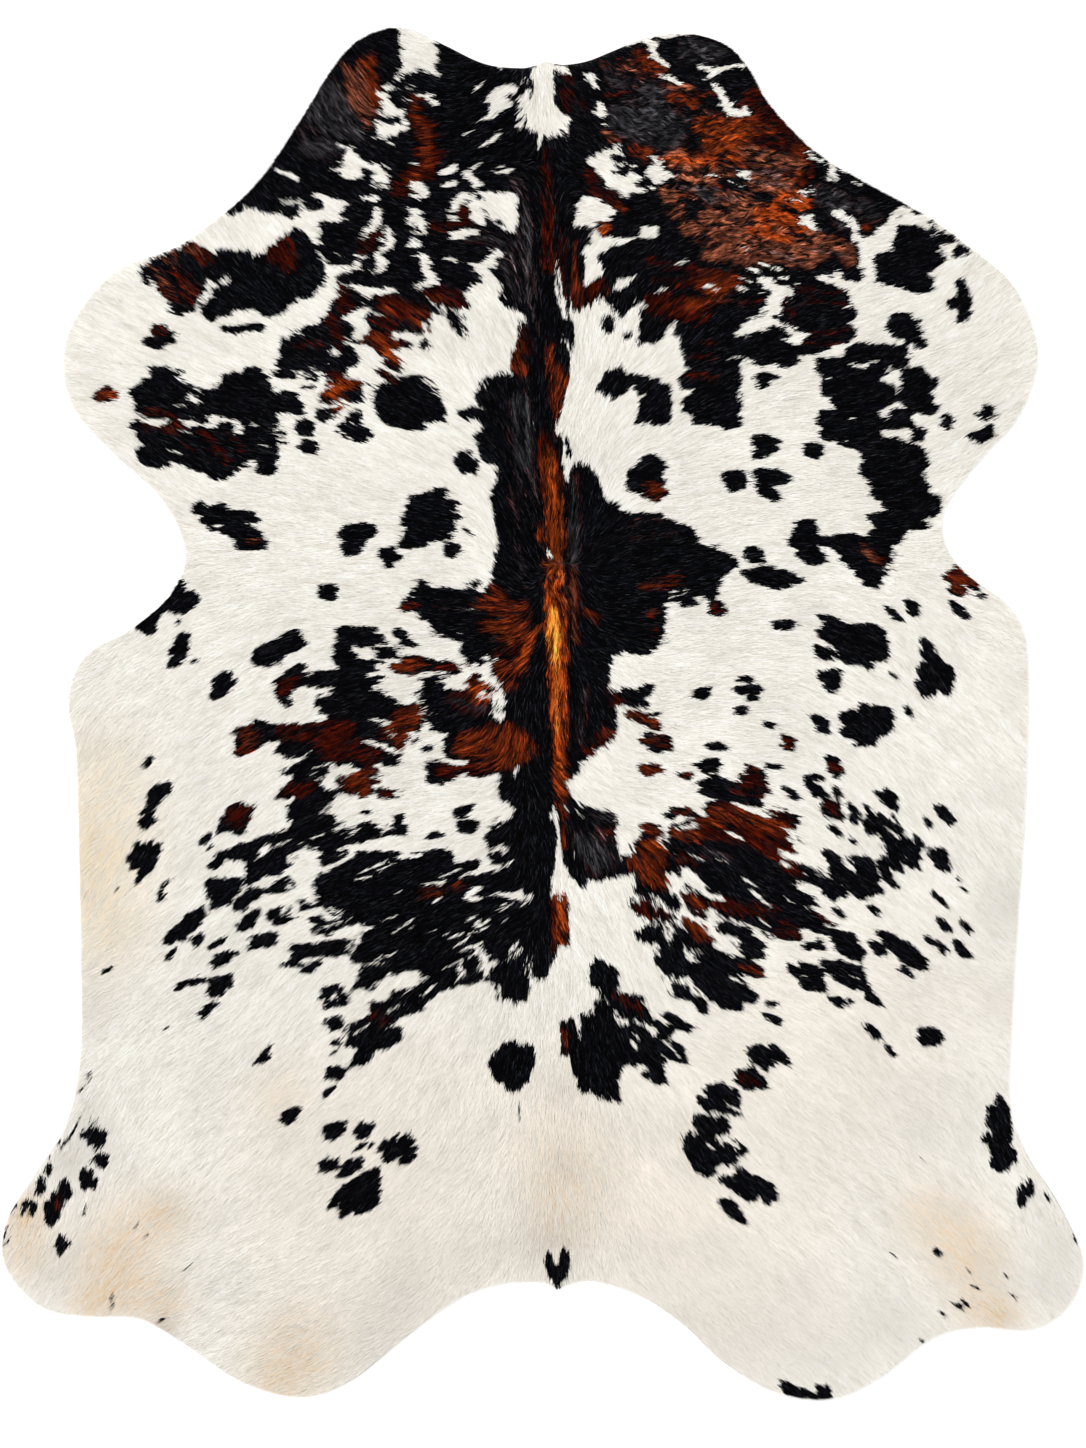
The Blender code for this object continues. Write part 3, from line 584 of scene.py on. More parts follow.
        (210, 949, 214, 948, 0.9, 1.4), (246, 921, 257, 912, 4.4, 3.4), (240, 926, 252, 923, 3.4, 4.4),
        (237, 930, 245, 929, 0.9, 2.4), (272, 914, 282, 909, 4.4, 3.4), (270, 919, 282, 919, 3.4, 5.4),
        (275, 924, 280, 922, 1.4, 2.4), (282, 921, 295, 918, 2.4, 1.4), (252, 939, 275, 935, 3.4),
        (252, 945, 272, 941, 3.4, 4.4), (249, 949, 256, 948, 0.9, 1.4), (268, 945, 276, 941, 2.4),
        (216, 956, 230, 953, 2.4, 2.9), (212, 963, 228, 959, 2.4, 3.4), (230, 955, 238, 953, 2.4, 0.9),
        (216, 967, 222, 963, 0.9, 2.4), (292, 949, 300, 949, 4.4, 5.4), (290, 956, 300, 956, 3.4, 4.4),
        (284, 964, 300, 963, 2.4, 4.4), (180, 985, 195, 980, 2.4), (188, 983, 205, 980, 2.4, 1.9),
        (174, 991, 180, 987, 0.9, 2.4), (212, 981, 230, 977, 3.4, 2.4), (212, 989, 228, 983, 4.4, 5.4),
        (210, 996, 220, 993, 2.4, 4.4), (222, 978, 234, 979, 1.4, 0.9), (206, 1009, 218, 1003, 3.4, 1.9),
        (200, 1014, 208, 1011, 2.4, 3.4), (203, 1018, 206, 1016, 0.9, 1.4), (105, 971, 110, 969, 2),
        (165, 1029, 168, 1027, 0.5), (90, 1073, 89, 1079, 1, 1.5), (262, 1054, 270, 1047, 2.4, 1.4),
        (257, 1062, 266, 1057, 2.4, 4.4), (283, 1115, 298, 1110, 3, 4), (284, 1120, 294, 1117, 4),
        (286, 1124, 289, 1122, 1.5, 2), (95, 397, 108, 391, 3, 5), (100, 400, 112, 397, 3, 4),
        (108, 390, 113, 389, 3, 2), (112, 394, 117, 393, 2, 1),
    ),
    "rump, left of the spine": strokes(
        (314, 920, 322, 919, 4), (318, 926, 345, 920, 4, 1.5), (314, 931, 328, 931, 3, 4),
        (328, 930, 342, 927, 3, 1), (326, 935, 330, 934, 1.5), (302, 950, 325, 950, 7),
        (325, 948, 345, 944, 7, 5), (306, 968, 318, 963, 4, 3), (303, 971, 312, 970, 2, 3),
        (380, 905, 520, 905, 18, 22), (370, 945, 400, 945, 12, 20), (400, 935, 450, 940, 24, 26),
        (400, 955, 412, 955, 16, 12), (365, 955, 385, 955, 8, 6), (368, 970, 390, 968, 7, 6),
        (362, 978, 380, 975, 5), (355, 986, 368, 983, 3, 4), (366, 990, 375, 987, 1.5),
        (440, 960, 470, 965, 18), (500, 930, 525, 940, 28, 22), (505, 960, 525, 965, 20, 14),
        (508, 985, 518, 985, 10, 12), (395, 995, 425, 990, 5, 8), (405, 1005, 415, 1003, 8, 9),
        (415, 1000, 430, 990, 8), (440, 985, 465, 980, 8), (375, 1012, 395, 1010, 7, 6),
        (355, 1026, 390, 1020, 5, 7), (352, 1035, 375, 1035, 6, 12), (380, 1035, 395, 1035, 10, 8),
        (365, 1045, 385, 1040, 8, 9), (360, 1058, 368, 1050, 4, 6), (352, 1065, 360, 1060, 3, 4),
        (360, 1064, 370, 1058, 3, 2), (325, 992, 335, 988, 4), (319, 998, 328, 996, 1.5, 3),
        (335, 990, 350, 992, 3, 2), (328, 1003, 345, 1001, 4), (326, 1008, 335, 1006, 1.5, 2),
        (327, 1021, 340, 1018, 3, 2), (330, 1026, 340, 1024, 3, 4), (331, 1030, 335, 1029, 2),
        (333, 1043, 339, 1040, 2), (333, 1053, 337, 1051, 1.5), (330, 1070, 342, 1070, 4),
        (326, 1077, 340, 1075, 2, 4), (343, 1072, 348, 1068, 2, 1), (326, 1093, 333, 1088, 2.5),
        (323, 1098, 326, 1095, 1, 2), (510, 1050, 525, 1055, 10), (500, 1062, 525, 1062, 11, 10),
        (507, 1075, 520, 1075, 11, 10), (512, 1083, 517, 1083, 8, 7), (493, 1065, 496, 1068, 5),
        (497, 1074, 500, 1078, 5),
    ),
    "rump, right of the spine": strokes(
        (545, 900, 545, 955, 9), (598, 966, 612, 975, 7), (598, 980, 612, 985, 8, 7),
        (605, 993, 625, 1000, 6), (595, 965, 597, 975, 5, 6), (620, 998, 643, 1000, 4, 3),
        (630, 1005, 645, 1012, 7, 5), (615, 1005, 635, 1010, 6, 7), (600, 1006, 610, 1010, 6),
        (645, 1015, 650, 1019, 3, 2), (570, 1025, 572, 1045, 5, 7), (588, 1030, 605, 1030, 10, 14),
        (590, 1050, 612, 1050, 14, 18), (585, 1070, 608, 1070, 12, 14), (588, 1083, 608, 1088, 8, 12),
        (582, 1086, 585, 1088, 5), (612, 1095, 618, 1098, 6, 4), (576, 1055, 580, 1075, 6),
        (600, 1040, 625, 1040, 16, 14), (605, 1060, 625, 1058, 14, 8), (630, 1023, 640, 1028, 3, 5),
        (640, 1030, 648, 1032, 4, 2), (655, 1023, 668, 1030, 3, 5), (662, 1035, 666, 1037, 5, 4),
        (635, 1035, 655, 1042, 4, 6), (630, 1052, 650, 1052, 6, 8), (645, 1045, 665, 1050, 8, 5),
        (655, 1055, 662, 1062, 5, 4), (672, 1043, 682, 1052, 3, 5), (668, 1055, 684, 1060, 3, 3.5),
        (684, 1056, 688, 1062, 3, 1.5), (650, 1066, 662, 1070, 4, 6), (645, 1075, 660, 1076, 3, 7),
        (655, 1082, 664, 1082, 2, 2.5), (640, 935, 650, 932, 5), (650, 930, 660, 930, 6, 7),
        (645, 940, 658, 940, 3, 4), (690, 900, 712, 912, 6, 5), (700, 912, 708, 917, 4, 2),
        (685, 920, 700, 932, 5, 8), (700, 935, 712, 942, 6, 4), (675, 935, 690, 945, 6, 8),
        (665, 960, 685, 965, 8, 12), (690, 962, 720, 965, 14), (715, 975, 730, 990, 16),
        (735, 962, 758, 972, 6, 7), (735, 990, 752, 998, 12, 6), (722, 1003, 740, 1006, 5),
        (700, 980, 712, 990, 10, 12), (660, 955, 668, 955, 5), (674, 986, 684, 990, 4, 6),
        (672, 993, 688, 996, 3, 4), (695, 999, 702, 1004, 4, 5), (700, 1008, 706, 1011, 4, 3),
        (664, 1014, 675, 1020, 3.5, 5), (675, 1022, 688, 1028, 5, 4), (688, 1028, 695, 1028, 3, 1),
        (718, 928, 735, 929, 3, 5), (738, 930, 748, 932, 6, 5), (745, 942, 756, 948, 7, 9),
        (755, 955, 762, 955, 5, 4), (720, 907, 745, 908, 6, 8), (745, 905, 765, 908, 8),
        (765, 922, 780, 930, 3, 8), (768, 1003, 775, 1004, 3), (767, 1016, 778, 1021, 3, 4),
        (750, 1052, 760, 1050, 4, 6), (757, 1060, 772, 1058, 7, 8), (765, 1068, 768, 1070, 4, 2),
        (772, 1050, 785, 1060, 6, 4), (740, 1075, 752, 1073, 5, 6), (745, 1083, 760, 1082, 6, 7),
        (734, 1080, 740, 1081, 1.5, 3), (762, 1080, 766, 1085, 4, 2), (705, 1088, 722, 1086, 3, 4),
        (712, 1095, 730, 1095, 7, 9), (700, 1100, 712, 1105, 4, 6), (715, 1108, 728, 1112, 7, 5),
        (730, 1100, 738, 1103, 4), (722, 1115, 730, 1120, 4, 5), (700, 1120, 712, 1122, 5, 7),
        (705, 1130, 715, 1130, 7), (697, 1117, 702, 1119, 3, 4),
    ),
    "right flank's edge and hind leg": strokes(
        (868, 1027, 876, 1034, 3.5, 4), (874, 1036, 879, 1038, 3, 2), (885, 1044, 891, 1052, 2, 3),
        (891, 1053, 895, 1055, 2.5, 1.5), (922, 1031, 932, 1032, 4, 6), (925, 1040, 937, 1039, 6, 7),
        (936, 1033, 940, 1040, 5, 4), (919, 1038, 922, 1040, 2, 4), (998, 1098, 1004, 1110, 4, 6),
        (993, 1110, 1002, 1120, 6, 9), (993, 1122, 1003, 1128, 8), (988, 1138, 1005, 1138, 6, 8),
        (998, 1150, 1008, 1155, 8, 9), (997, 1163, 1002, 1165, 7, 6), (984, 1139, 988, 1141, 3, 4),
    ),
    "left hock": strokes(
        (84, 1134, 92, 1133, 4, 5.5), (94, 1134, 100, 1136, 7), (93, 1141, 100, 1142, 4.5, 5),
        (98, 1146, 98, 1147, 2, 1.5), (96, 1158, 104, 1158, 4, 4.5), (100, 1155, 104, 1157, 3.5, 4),
        (101, 1162, 104, 1163, 5, 4.5), (103, 1166, 103, 1169, 2.5, 0.8), (85, 1173, 87, 1175, 5, 6),
        (85, 1178, 92, 1180, 5.5, 6), (86, 1184, 93, 1183, 5), (85, 1188, 85, 1189, 1.5, 1),
        (92, 1187, 92, 1189, 1.5, 1), (45, 1170, 49, 1169, 1.5, 3), (48, 1173, 48, 1175, 2.5, 1.2),
        (41, 1183, 43, 1183, 4, 3.5), (40, 1188, 42, 1188, 4), (37, 1192, 42, 1191, 2.5, 2),
        (34.5, 1194, 36, 1193, 0.8, 1), (62, 1186, 66, 1184, 3, 4.5), (66, 1188, 68, 1192, 4, 5),
        (66, 1196, 69, 1195, 4, 3.5), (55, 1196, 57, 1197, 4, 4.5), (52, 1203, 56, 1203, 5, 5.5),
        (53, 1210, 57, 1209, 5.5, 5), (51, 1217, 55, 1215, 5), (48, 1221, 52, 1221, 3.5, 4),
        (48, 1225, 50, 1224, 1.2, 2), (25, 1205, 24, 1209, 2.5, 3), (22, 1213, 23, 1212, 1, 1.5),
        (30, 1204, 33, 1203, 2.5, 3), (32, 1207, 36, 1206, 3, 2), (32, 1211, 35, 1210, 2.5, 1.5),
        (32, 1215, 33, 1213, 0.8, 1), (11, 1212, 16, 1204, 0.8, 1.2), (4, 1239, 6.5, 1228, 1, 0.9),
        (6, 1242, 7, 1242, 1.5, 1.2), (61, 1238, 63, 1238, 3.5), (60, 1243, 66, 1245, 4),
        (60, 1249, 62, 1248, 4), (59, 1254, 60, 1253, 1.5, 2), (59, 1142, 60.5, 1139, 0.7, 0.8),
        (48, 1161, 49, 1159, 0.7),
    ),
    "left thigh": strokes(
        (326, 1130, 332, 1128, 4, 5), (332, 1128, 343, 1123, 5, 3), (330, 1134, 336, 1132, 4, 3),
        (326, 1139, 330, 1136, 1.5, 3), (356, 1132, 362, 1129, 3, 6), (362, 1128, 372, 1126, 6, 3),
        (360, 1136, 367, 1133, 4.5, 4), (354, 1151, 360, 1147, 1, 2), (360, 1147, 366, 1143, 2, 1.2),
        (369, 1148, 373, 1143, 1, 1.5), (381, 1149, 388, 1146, 3, 7), (388, 1147, 394, 1146, 8),
        (388, 1155, 396, 1152, 6), (384, 1160, 392, 1159, 2.5, 3), (394, 1138, 397, 1135, 3, 1),
        (404, 1141, 412, 1140, 5, 3.5), (404, 1147, 412, 1150, 6), (406, 1156, 412, 1154, 6, 5),
        (403, 1162, 408, 1161, 2.5), (405, 1136, 408, 1135, 2, 1), (320, 1166, 328, 1163, 3.5, 6),
        (328, 1163, 335, 1163, 6.5, 5), (321, 1170, 332, 1169, 1.5, 2), (338, 1166, 340, 1166, 3, 1.5),
        (346, 1167, 352, 1164, 4, 6), (352, 1164, 360, 1161, 6, 4), (345, 1173, 356, 1169, 4, 6),
        (336, 1178, 343, 1174, 1.5, 3), (340, 1197, 352, 1190, 6, 11), (352, 1188, 368, 1183, 10, 12),
        (366, 1177, 376, 1172, 7, 4), (352, 1198, 368, 1195, 13), (345, 1206, 355, 1204, 6, 8),
        (360, 1205, 370, 1202, 9, 7), (329, 1206, 338, 1201, 1.5, 6), (340, 1216, 346, 1212, 1.5, 4),
        (376, 1180, 380, 1178, 3, 1.5),
    ),
    "tail": strokes(
        (549, 1258, 554, 1278, 3, 4), (547, 1264, 551, 1274, 2.5, 3), (552, 1260, 556, 1280, 1.5, 3),
        (563, 1254, 564, 1264, 3, 5), (566, 1262, 562, 1272, 4.5), (561, 1268, 558, 1283, 4, 3),
        (556, 1280, 557, 1287, 3, 1), (560, 1281, 567, 1276, 1.5, 0.8), (548, 1252, 549, 1258, 1, 2),
        (563, 1249, 564, 1254, 1, 3), (568, 1254, 568, 1262, 1, 2.5),
    ),
    "right thigh": strokes(
        (697, 1122, 704, 1128, 5, 7), (715, 1126, 724, 1128, 8, 6), (710, 1138, 716, 1137, 2),
        (683, 1139, 692, 1140, 2.5, 3), (690, 1146, 700, 1146, 6, 7), (696, 1155, 708, 1154, 8),
        (702, 1163, 711, 1162, 8), (705, 1171, 710, 1170, 5), (708, 1176, 710, 1175, 1.5),
        (718, 1146, 728, 1148, 4, 5), (724, 1154, 732, 1154, 7, 6), (724, 1160, 733, 1160, 5, 4.5),
        (735, 1141, 742, 1150, 2, 4.5), (743, 1153, 745, 1154, 2, 1), (722, 1179, 730, 1181, 4, 7),
        (733, 1182, 742, 1180, 8, 10), (744, 1186, 754, 1186, 11), (738, 1171, 742, 1172, 3, 4),
        (760, 1188, 766, 1190, 10, 9), (770, 1194, 776, 1197, 6, 4), (765, 1201, 770, 1202, 2.5, 2),
        (748, 1196, 756, 1196, 5, 4), (719, 1175, 722, 1180, 1, 3), (722, 1202, 729, 1203, 3, 4),
        (727, 1208, 733, 1208, 5, 6), (733, 1214, 739, 1215, 5, 4.5), (740, 1219, 745, 1221, 4, 2),
        (718, 1198, 722, 1201, 1, 3),
    ),
    "right hock": strokes(
        (995, 1162, 1008, 1161, 6, 5), (999, 1168, 1004, 1167, 4, 3.5), (1029, 1182, 1028, 1190, 3.5, 5),
        (1024, 1190, 1024, 1197, 5, 6), (1020, 1199, 1021, 1203, 4, 3.5), (1020, 1206, 1021, 1206, 1.5),
        (1046, 1196, 1048, 1198, 1.2), (1074, 1237, 1076, 1241, 1), (934, 1252, 938, 1255, 1.2),
        (936, 1250, 941, 1253, 1.5, 1.2), (963, 1301, 968, 1305, 1.3), (953, 1303, 962, 1309, 0.7, 0.9),
        (958, 1302, 964, 1308, 0.7, 0.9), (966, 1304, 970, 1308, 1, 0.8),
        (940, 1312, 944, 1316, 1.3, 1.2), (921, 1340, 923, 1343, 1.3, 1.2), (783, 1385, 790, 1388, 4, 5),
        (788, 1390, 800, 1393, 5), (800, 1396, 828, 1396, 3), (804, 1393, 812, 1396, 4, 3),
        (818, 1387, 826, 1389, 3, 4), (820, 1392, 828, 1393, 4), (829, 1397, 831, 1397, 2, 1.5),
    ),
    "left foreleg, upper spot": strokes(
        (146, 342, 156, 343, 3.5, 5.5), (154, 331, 162, 330, 4, 5.5), (170, 335, 176, 334, 4, 2.5),
        (157, 348, 160, 349, 2, 1), (224, 328, 230, 330, 2.5, 3.5), (240, 330, 250, 328, 2.5, 3),
        (246, 325, 256, 326, 1.5, 3),
    ),
    "left foreleg, lower patch": strokes(
        (152, 371, 166, 371, 4, 5), (158, 376, 170, 376, 6, 5), (172, 374, 182, 372, 3, 1.5),
        (150, 390, 175, 390, 11, 13), (135, 389, 142, 391, 3, 8), (132, 393, 140, 394, 4, 8),
        (142, 402, 160, 402, 8, 13), (141, 410, 150, 410, 6, 8), (150, 415, 160, 413, 4, 6),
        (170, 395, 184, 393, 13, 9), (182, 387, 193, 388, 3, 2.5), (180, 405, 200, 405, 6, 7),
        (195, 410, 205, 412, 7, 8), (198, 418, 205, 418, 4), (160, 408, 185, 411, 8, 7),
        (133, 427, 142, 426, 2.5, 4), (145, 432, 160, 435, 8, 6), (165, 430, 175, 426, 6),
        (150, 441, 175, 440, 8, 12), (142, 452, 165, 452, 6, 11), (146, 458, 160, 461, 7, 8),
        (160, 462, 168, 464, 6, 3), (175, 439, 200, 437, 11, 10), (200, 437, 225, 438, 9, 10),
        (222, 427, 230, 428, 5), (192, 461, 225, 462, 8, 14), (210, 471, 224, 473, 6, 7),
        (226, 380, 255, 376, 6, 7), (225, 392, 262, 388, 12, 13), (197, 391, 215, 394, 3, 6),
        (207, 401, 250, 400, 9, 13), (250, 400, 290, 402, 13, 11), (288, 397, 298, 395, 4, 3),
        (290, 405, 298, 408, 8, 7), (230, 406, 265, 412, 7, 11), (246, 422, 272, 424, 6, 9),
        (250, 434, 272, 436, 8, 9), (248, 448, 270, 448, 13, 10), (262, 462, 270, 464, 9, 8),
        (262, 470, 268, 471, 5), (240, 442, 242, 452, 8, 6), (246, 369, 258, 372, 2, 4),
        (264, 378, 270, 384, 4), (276, 430, 283, 434, 4, 1.5), (276, 445, 284, 443, 4, 1.5),
        (276, 456, 283, 457, 3, 1), (298, 410, 305, 412, 4, 1.5), (297, 428, 305, 424, 3, 5),
        (305, 424, 312, 428, 5, 6), (300, 433, 312, 432, 3, 5), (303, 436, 308, 436, 2, 1.5),
        (301, 447, 312, 444, 2.5, 3), (303, 449, 315, 449, 3, 2), (306, 441, 316, 443, 1.5),
        (310, 452, 316, 453, 1.5, 1), (165, 275, 192, 268, 13, 14), (172, 290, 192, 288, 11, 12),
        (196, 255, 207, 262, 6), (198, 280, 202, 285, 7), (145, 280, 150, 284, 3, 2),
        (170, 310, 180, 312, 3, 4),
    ),
    "left shoulder, lower patches": strokes(
        (342, 293, 350, 294, 7), (344, 299, 358, 300, 9, 7), (338, 305, 345, 310, 7),
        (333, 315, 343, 312, 7, 6), (330, 324, 340, 325, 9, 5), (334, 333, 344, 334, 8, 5),
        (362, 299, 369, 302, 3, 2.5), (284, 352, 300, 345, 5, 14), (279, 364, 290, 362, 4, 11),
        (274, 374, 290, 373, 3, 5), (300, 340, 330, 336, 11, 12), (295, 355, 318, 358, 11, 10),
        (325, 345, 346, 350, 9, 6), (340, 362, 352, 360, 9, 6), (332, 372, 342, 372, 6, 4),
        (350, 350, 357, 356, 3), (320, 366, 332, 370, 5, 4), (380, 305, 395, 304, 9, 11),
        (395, 308, 418, 304, 13), (376, 320, 398, 322, 3, 11), (380, 330, 390, 332, 5),
        (405, 320, 425, 318, 11, 7), (412, 328, 426, 330, 5, 4), (424, 334, 428, 335, 2, 1),
        (372, 316, 376, 322, 3, 4), (368, 341, 384, 345, 4, 7), (380, 350, 392, 352, 5, 7),
        (390, 355, 402, 362, 5, 3), (386, 362, 400, 366, 4, 3), (378, 368, 398, 378, 1.2),
        (386, 366, 400, 372, 1.2, 1), (421, 345, 430, 343, 3), (328, 384, 350, 381, 2, 4),
        (323, 393, 345, 388, 3.5, 7), (340, 395, 360, 392, 7, 8), (355, 383, 368, 382, 4, 2.5),
        (360, 391, 370, 391, 7, 5), (362, 399, 370, 401, 4, 2), (322, 401, 345, 403, 2, 3.5),
        (320, 411, 340, 408, 4, 6), (340, 407, 352, 405, 4, 1.5), (325, 418, 332, 418, 3, 1.5),
        (432, 248, 470, 250, 8, 12), (440, 262, 466, 268, 12, 9), (446, 276, 470, 276, 10),
        (428, 292, 462, 290, 8, 7), (438, 298, 460, 298, 8, 6), (450, 306, 467, 305, 5, 3),
        (448, 316, 464, 318, 4, 3), (430, 306, 440, 312, 4, 3), (455, 325, 466, 331, 4, 3),
        (458, 333, 463, 338, 2.5, 1), (470, 264, 476, 272, 6), (478, 278, 480, 282, 4, 2),
        (506, 262, 530, 262, 12, 20), (500, 272, 512, 280, 8, 12), (508, 290, 530, 294, 8, 12),
        (524, 345, 545, 345, 8, 14), (518, 358, 540, 358, 8, 14), (522, 368, 540, 368, 10, 12),
        (572, 250, 577, 295, 6), (575, 296, 580, 311, 5, 1.5), (585, 292, 600, 291, 8, 9),
        (583, 302, 590, 303, 4, 3),
    ),
    "spine": strokes(
        (545, 425, 548, 480, 10, 13), (552, 480, 560, 560, 15, 17), (560, 560, 561, 640, 18, 17),
        (560, 640, 558, 720, 14, 11), (558, 720, 560, 800, 11, 8), (560, 800, 562, 850, 5, 3),
        (562, 318, 564, 352, 7, 9),
    ),
    "shoulders and forelegs, details": strokes(
        (725, 288, 745, 288, 8, 12), (745, 296, 755, 304, 12), (754, 308, 758, 311, 8, 7),
        (836, 171, 841, 175, 5, 3), (868, 228, 872, 232, 7, 6), (860, 358, 885, 360, 6, 7),
        (820, 365, 822, 375, 7, 5), (875, 415, 877, 428, 7, 6), (908, 408, 930, 410, 5),
        (918, 449, 922, 456, 4), (684, 345, 690, 354, 4, 5), (640, 395, 655, 396, 2.5, 2),
        (637, 421, 664, 422, 3, 3.5), (698, 419, 714, 420, 5), (724, 420, 736, 422, 7, 6),
        (738, 360, 737, 384, 5), (479, 436, 484, 457, 4), (486, 459, 500, 463, 3),
        (576, 470, 590, 471, 4), (578, 462, 580, 470, 0.8, 2), (628, 491, 650, 495, 2, 3),
    ),
    "left flank and loin, details": strokes(
        (226, 474, 232, 474, 4, 3), (240, 522, 256, 520, 2.5), (246, 537, 262, 538, 2),
        (240, 548, 266, 547, 2.5), (178, 586, 172, 594, 2, 2.5), (139, 627, 150, 631, 3),
        (189, 636, 186, 646, 2.5, 2), (374, 531, 374, 532, 3), (430, 538, 450, 537, 2, 1.5),
        (386, 561, 392, 561, 3), (420, 583, 427, 583, 3.5, 2), (413, 592, 421, 590, 4, 5),
        (407, 600, 420, 597, 3, 5), (414, 609, 426, 612, 4, 7), (424, 617, 436, 622, 4, 7),
        (436, 630, 446, 630, 6, 8), (446, 634, 466, 640, 4), (438, 588, 450, 590, 2),
        (470, 590, 474, 601, 7, 6), (464, 650, 470, 656, 5), (498, 660, 505, 682, 8),
        (467, 664, 474, 676, 2.5, 5), (470, 683, 480, 686, 4, 4.5), (480, 686, 500, 692, 4.5, 2),
        (428, 679, 440, 676, 6, 4), (418, 690, 420, 700, 5, 6), (375, 650, 398, 650, 4, 5),
        (396, 632, 408, 642, 4), (333, 646, 333, 656, 3, 4), (292, 681, 336, 684, 5, 7),
        (286, 650, 302, 643, 6, 4), (218, 856, 240, 857, 3, 4), (262, 739, 292, 740, 2.5, 3),
        (248, 750, 260, 744, 3.5, 2.5), (292, 676, 298, 684, 6), (289, 786, 300, 780, 3, 5),
        (322, 697, 322, 712, 7), (418, 690, 419, 716, 4), (428, 717, 442, 724, 5, 7),
        (298, 766, 325, 766, 7, 5), (300, 778, 318, 780, 8, 6), (345, 766, 370, 764, 2.5, 4),
        (376, 790, 397, 794, 4), (316, 800, 326, 806, 6, 4), (318, 815, 332, 818, 4),
        (342, 832, 356, 834, 3.5, 4), (468, 808, 475, 805, 3, 1.5), (321, 846, 334, 850, 4, 6),
        (322, 876, 323, 898, 4, 5), (506, 774, 505, 796, 7, 6), (300, 903, 311, 905, 4, 3),
    ),
    "spine and rump": strokes(
        (560, 440, 561, 470, 3.5), (567, 441, 569, 455, 2, 2.2), (572, 474, 584, 477, 3),
        (570, 476, 570, 512, 2.5), (577, 540, 577, 542, 5), (569, 710, 569, 745, 2.5, 3.5),
        (568, 776, 574, 772, 4, 3), (556, 900, 558, 942, 5, 4), (564, 897, 565, 942, 4),
        (552, 945, 551, 960, 5, 4), (546, 962, 540, 974, 6), (566, 850, 580, 884, 3, 2),
    ),
    "right flank and loin, details": strokes(
        (648, 515, 660, 517, 2.5), (664, 521, 690, 530, 2, 2.5), (720, 555, 737, 562, 4, 2),
        (723, 574, 733, 565, 4), (706, 595, 716, 592, 3.5, 3), (684, 604, 697, 603, 2.5),
        (662, 617, 663, 640, 5), (612, 652, 618, 652, 4, 3), (610, 656, 610, 664, 3, 2),
        (632, 652, 650, 652, 2.5), (746, 474, 744, 486, 2), (768, 486, 787, 481, 2.5, 2),
        (742, 572, 752, 577, 3, 5), (756, 568, 772, 568, 2), (661, 462, 663, 482, 3, 2.5),
        (806, 538, 830, 542, 4, 5), (790, 544, 800, 548, 2, 3), (870, 482, 876, 498, 2, 2.5),
        (870, 518, 877, 523, 4, 5), (905, 528, 926, 526, 2.5, 3.5), (842, 555, 858, 566, 3, 6),
        (872, 584, 877, 587, 4, 2), (966, 583, 976, 588, 2, 3), (818, 617, 830, 618, 2.5, 3),
        (883, 632, 886, 642, 3.5, 3), (828, 640, 838, 642, 3), (832, 652, 841, 656, 3, 4),
        (845, 660, 868, 661, 3.5, 3), (618, 692, 642, 692, 4.5, 3), (618, 703, 646, 704, 3.5, 2.5),
        (626, 716, 640, 718, 2, 3), (642, 722, 658, 725, 2.5, 3), (642, 735, 652, 734, 1.5),
        (608, 813, 616, 823, 3, 4), (580, 806, 598, 812, 2.5), (694, 765, 701, 766, 1.5, 3),
        (700, 784, 718, 780, 3, 5), (698, 790, 716, 794, 2.5, 6), (716, 797, 742, 801, 4, 5),
        (768, 766, 779, 767, 2.5, 2), (778, 812, 798, 820, 3, 4), (686, 810, 697, 816, 3, 2),
        (710, 828, 730, 828, 5, 6), (728, 827, 800, 843, 4, 5), (680, 856, 690, 863, 6, 7),
        (703, 873, 716, 890, 5, 7), (634, 846, 639, 852, 4, 5), (826, 874, 842, 880, 6, 5),
        (884, 868, 890, 878, 2.5, 3.5), (884, 860, 893, 866, 4), (864, 820, 870, 832, 3, 3.5),
        (892, 818, 902, 834, 3, 2.5), (806, 781, 826, 798, 3, 3.5), (632, 905, 642, 914, 4),
        (662, 946, 682, 946, 4.5, 4), (672, 925, 692, 941, 5, 6), (692, 944, 713, 947, 4, 3.5),
        (716, 899, 745, 897, 3), (735, 916, 767, 926, 3.5), (763, 928, 772, 936, 4),
        (738, 944, 753, 960, 4), (664, 974, 692, 977, 3.5, 3), (582, 1018, 600, 1014, 3.5, 4),
        (624, 1016, 646, 1012, 3, 4), (564, 1025, 565, 1052, 3.5), (632, 1060, 661, 1061, 4),
        (704, 1106, 717, 1117, 2, 3), (688, 1136, 706, 1140, 3.5, 4), (706, 1140, 717, 1144, 3, 2),
        (686, 1148, 698, 1168, 3.5, 4),
    ),
    "left rump, details": strokes(
        (322, 902, 337, 912, 5, 4), (345, 917, 374, 921, 2.5, 3.5), (364, 923, 377, 924, 3),
        (358, 935, 357, 958, 4, 5), (325, 955, 349, 948, 4, 6), (396, 970, 421, 964, 2.5, 5),
        (424, 978, 435, 984, 5, 6), (325, 990, 347, 993, 3.5), (372, 1002, 395, 1003, 3.5, 4),
        (398, 1014, 421, 1012, 4.5, 3.5), (490, 978, 501, 984, 4.5, 6), (502, 994, 523, 996, 5.5, 5),
        (350, 1043, 363, 1044, 4.5, 5), (335, 1044, 346, 1044, 1.5, 1.8), (347, 1026, 348, 1036, 3.5, 4),
        (530, 1048, 531, 1060, 3.5), (47, 1205, 48, 1222, 3.2), (61, 1190, 61, 1206, 2, 3),
        (334, 1138, 346, 1128, 2, 2.2), (86, 1207, 85, 1210, 0.9), (144, 1239, 147, 1236, 0.8),
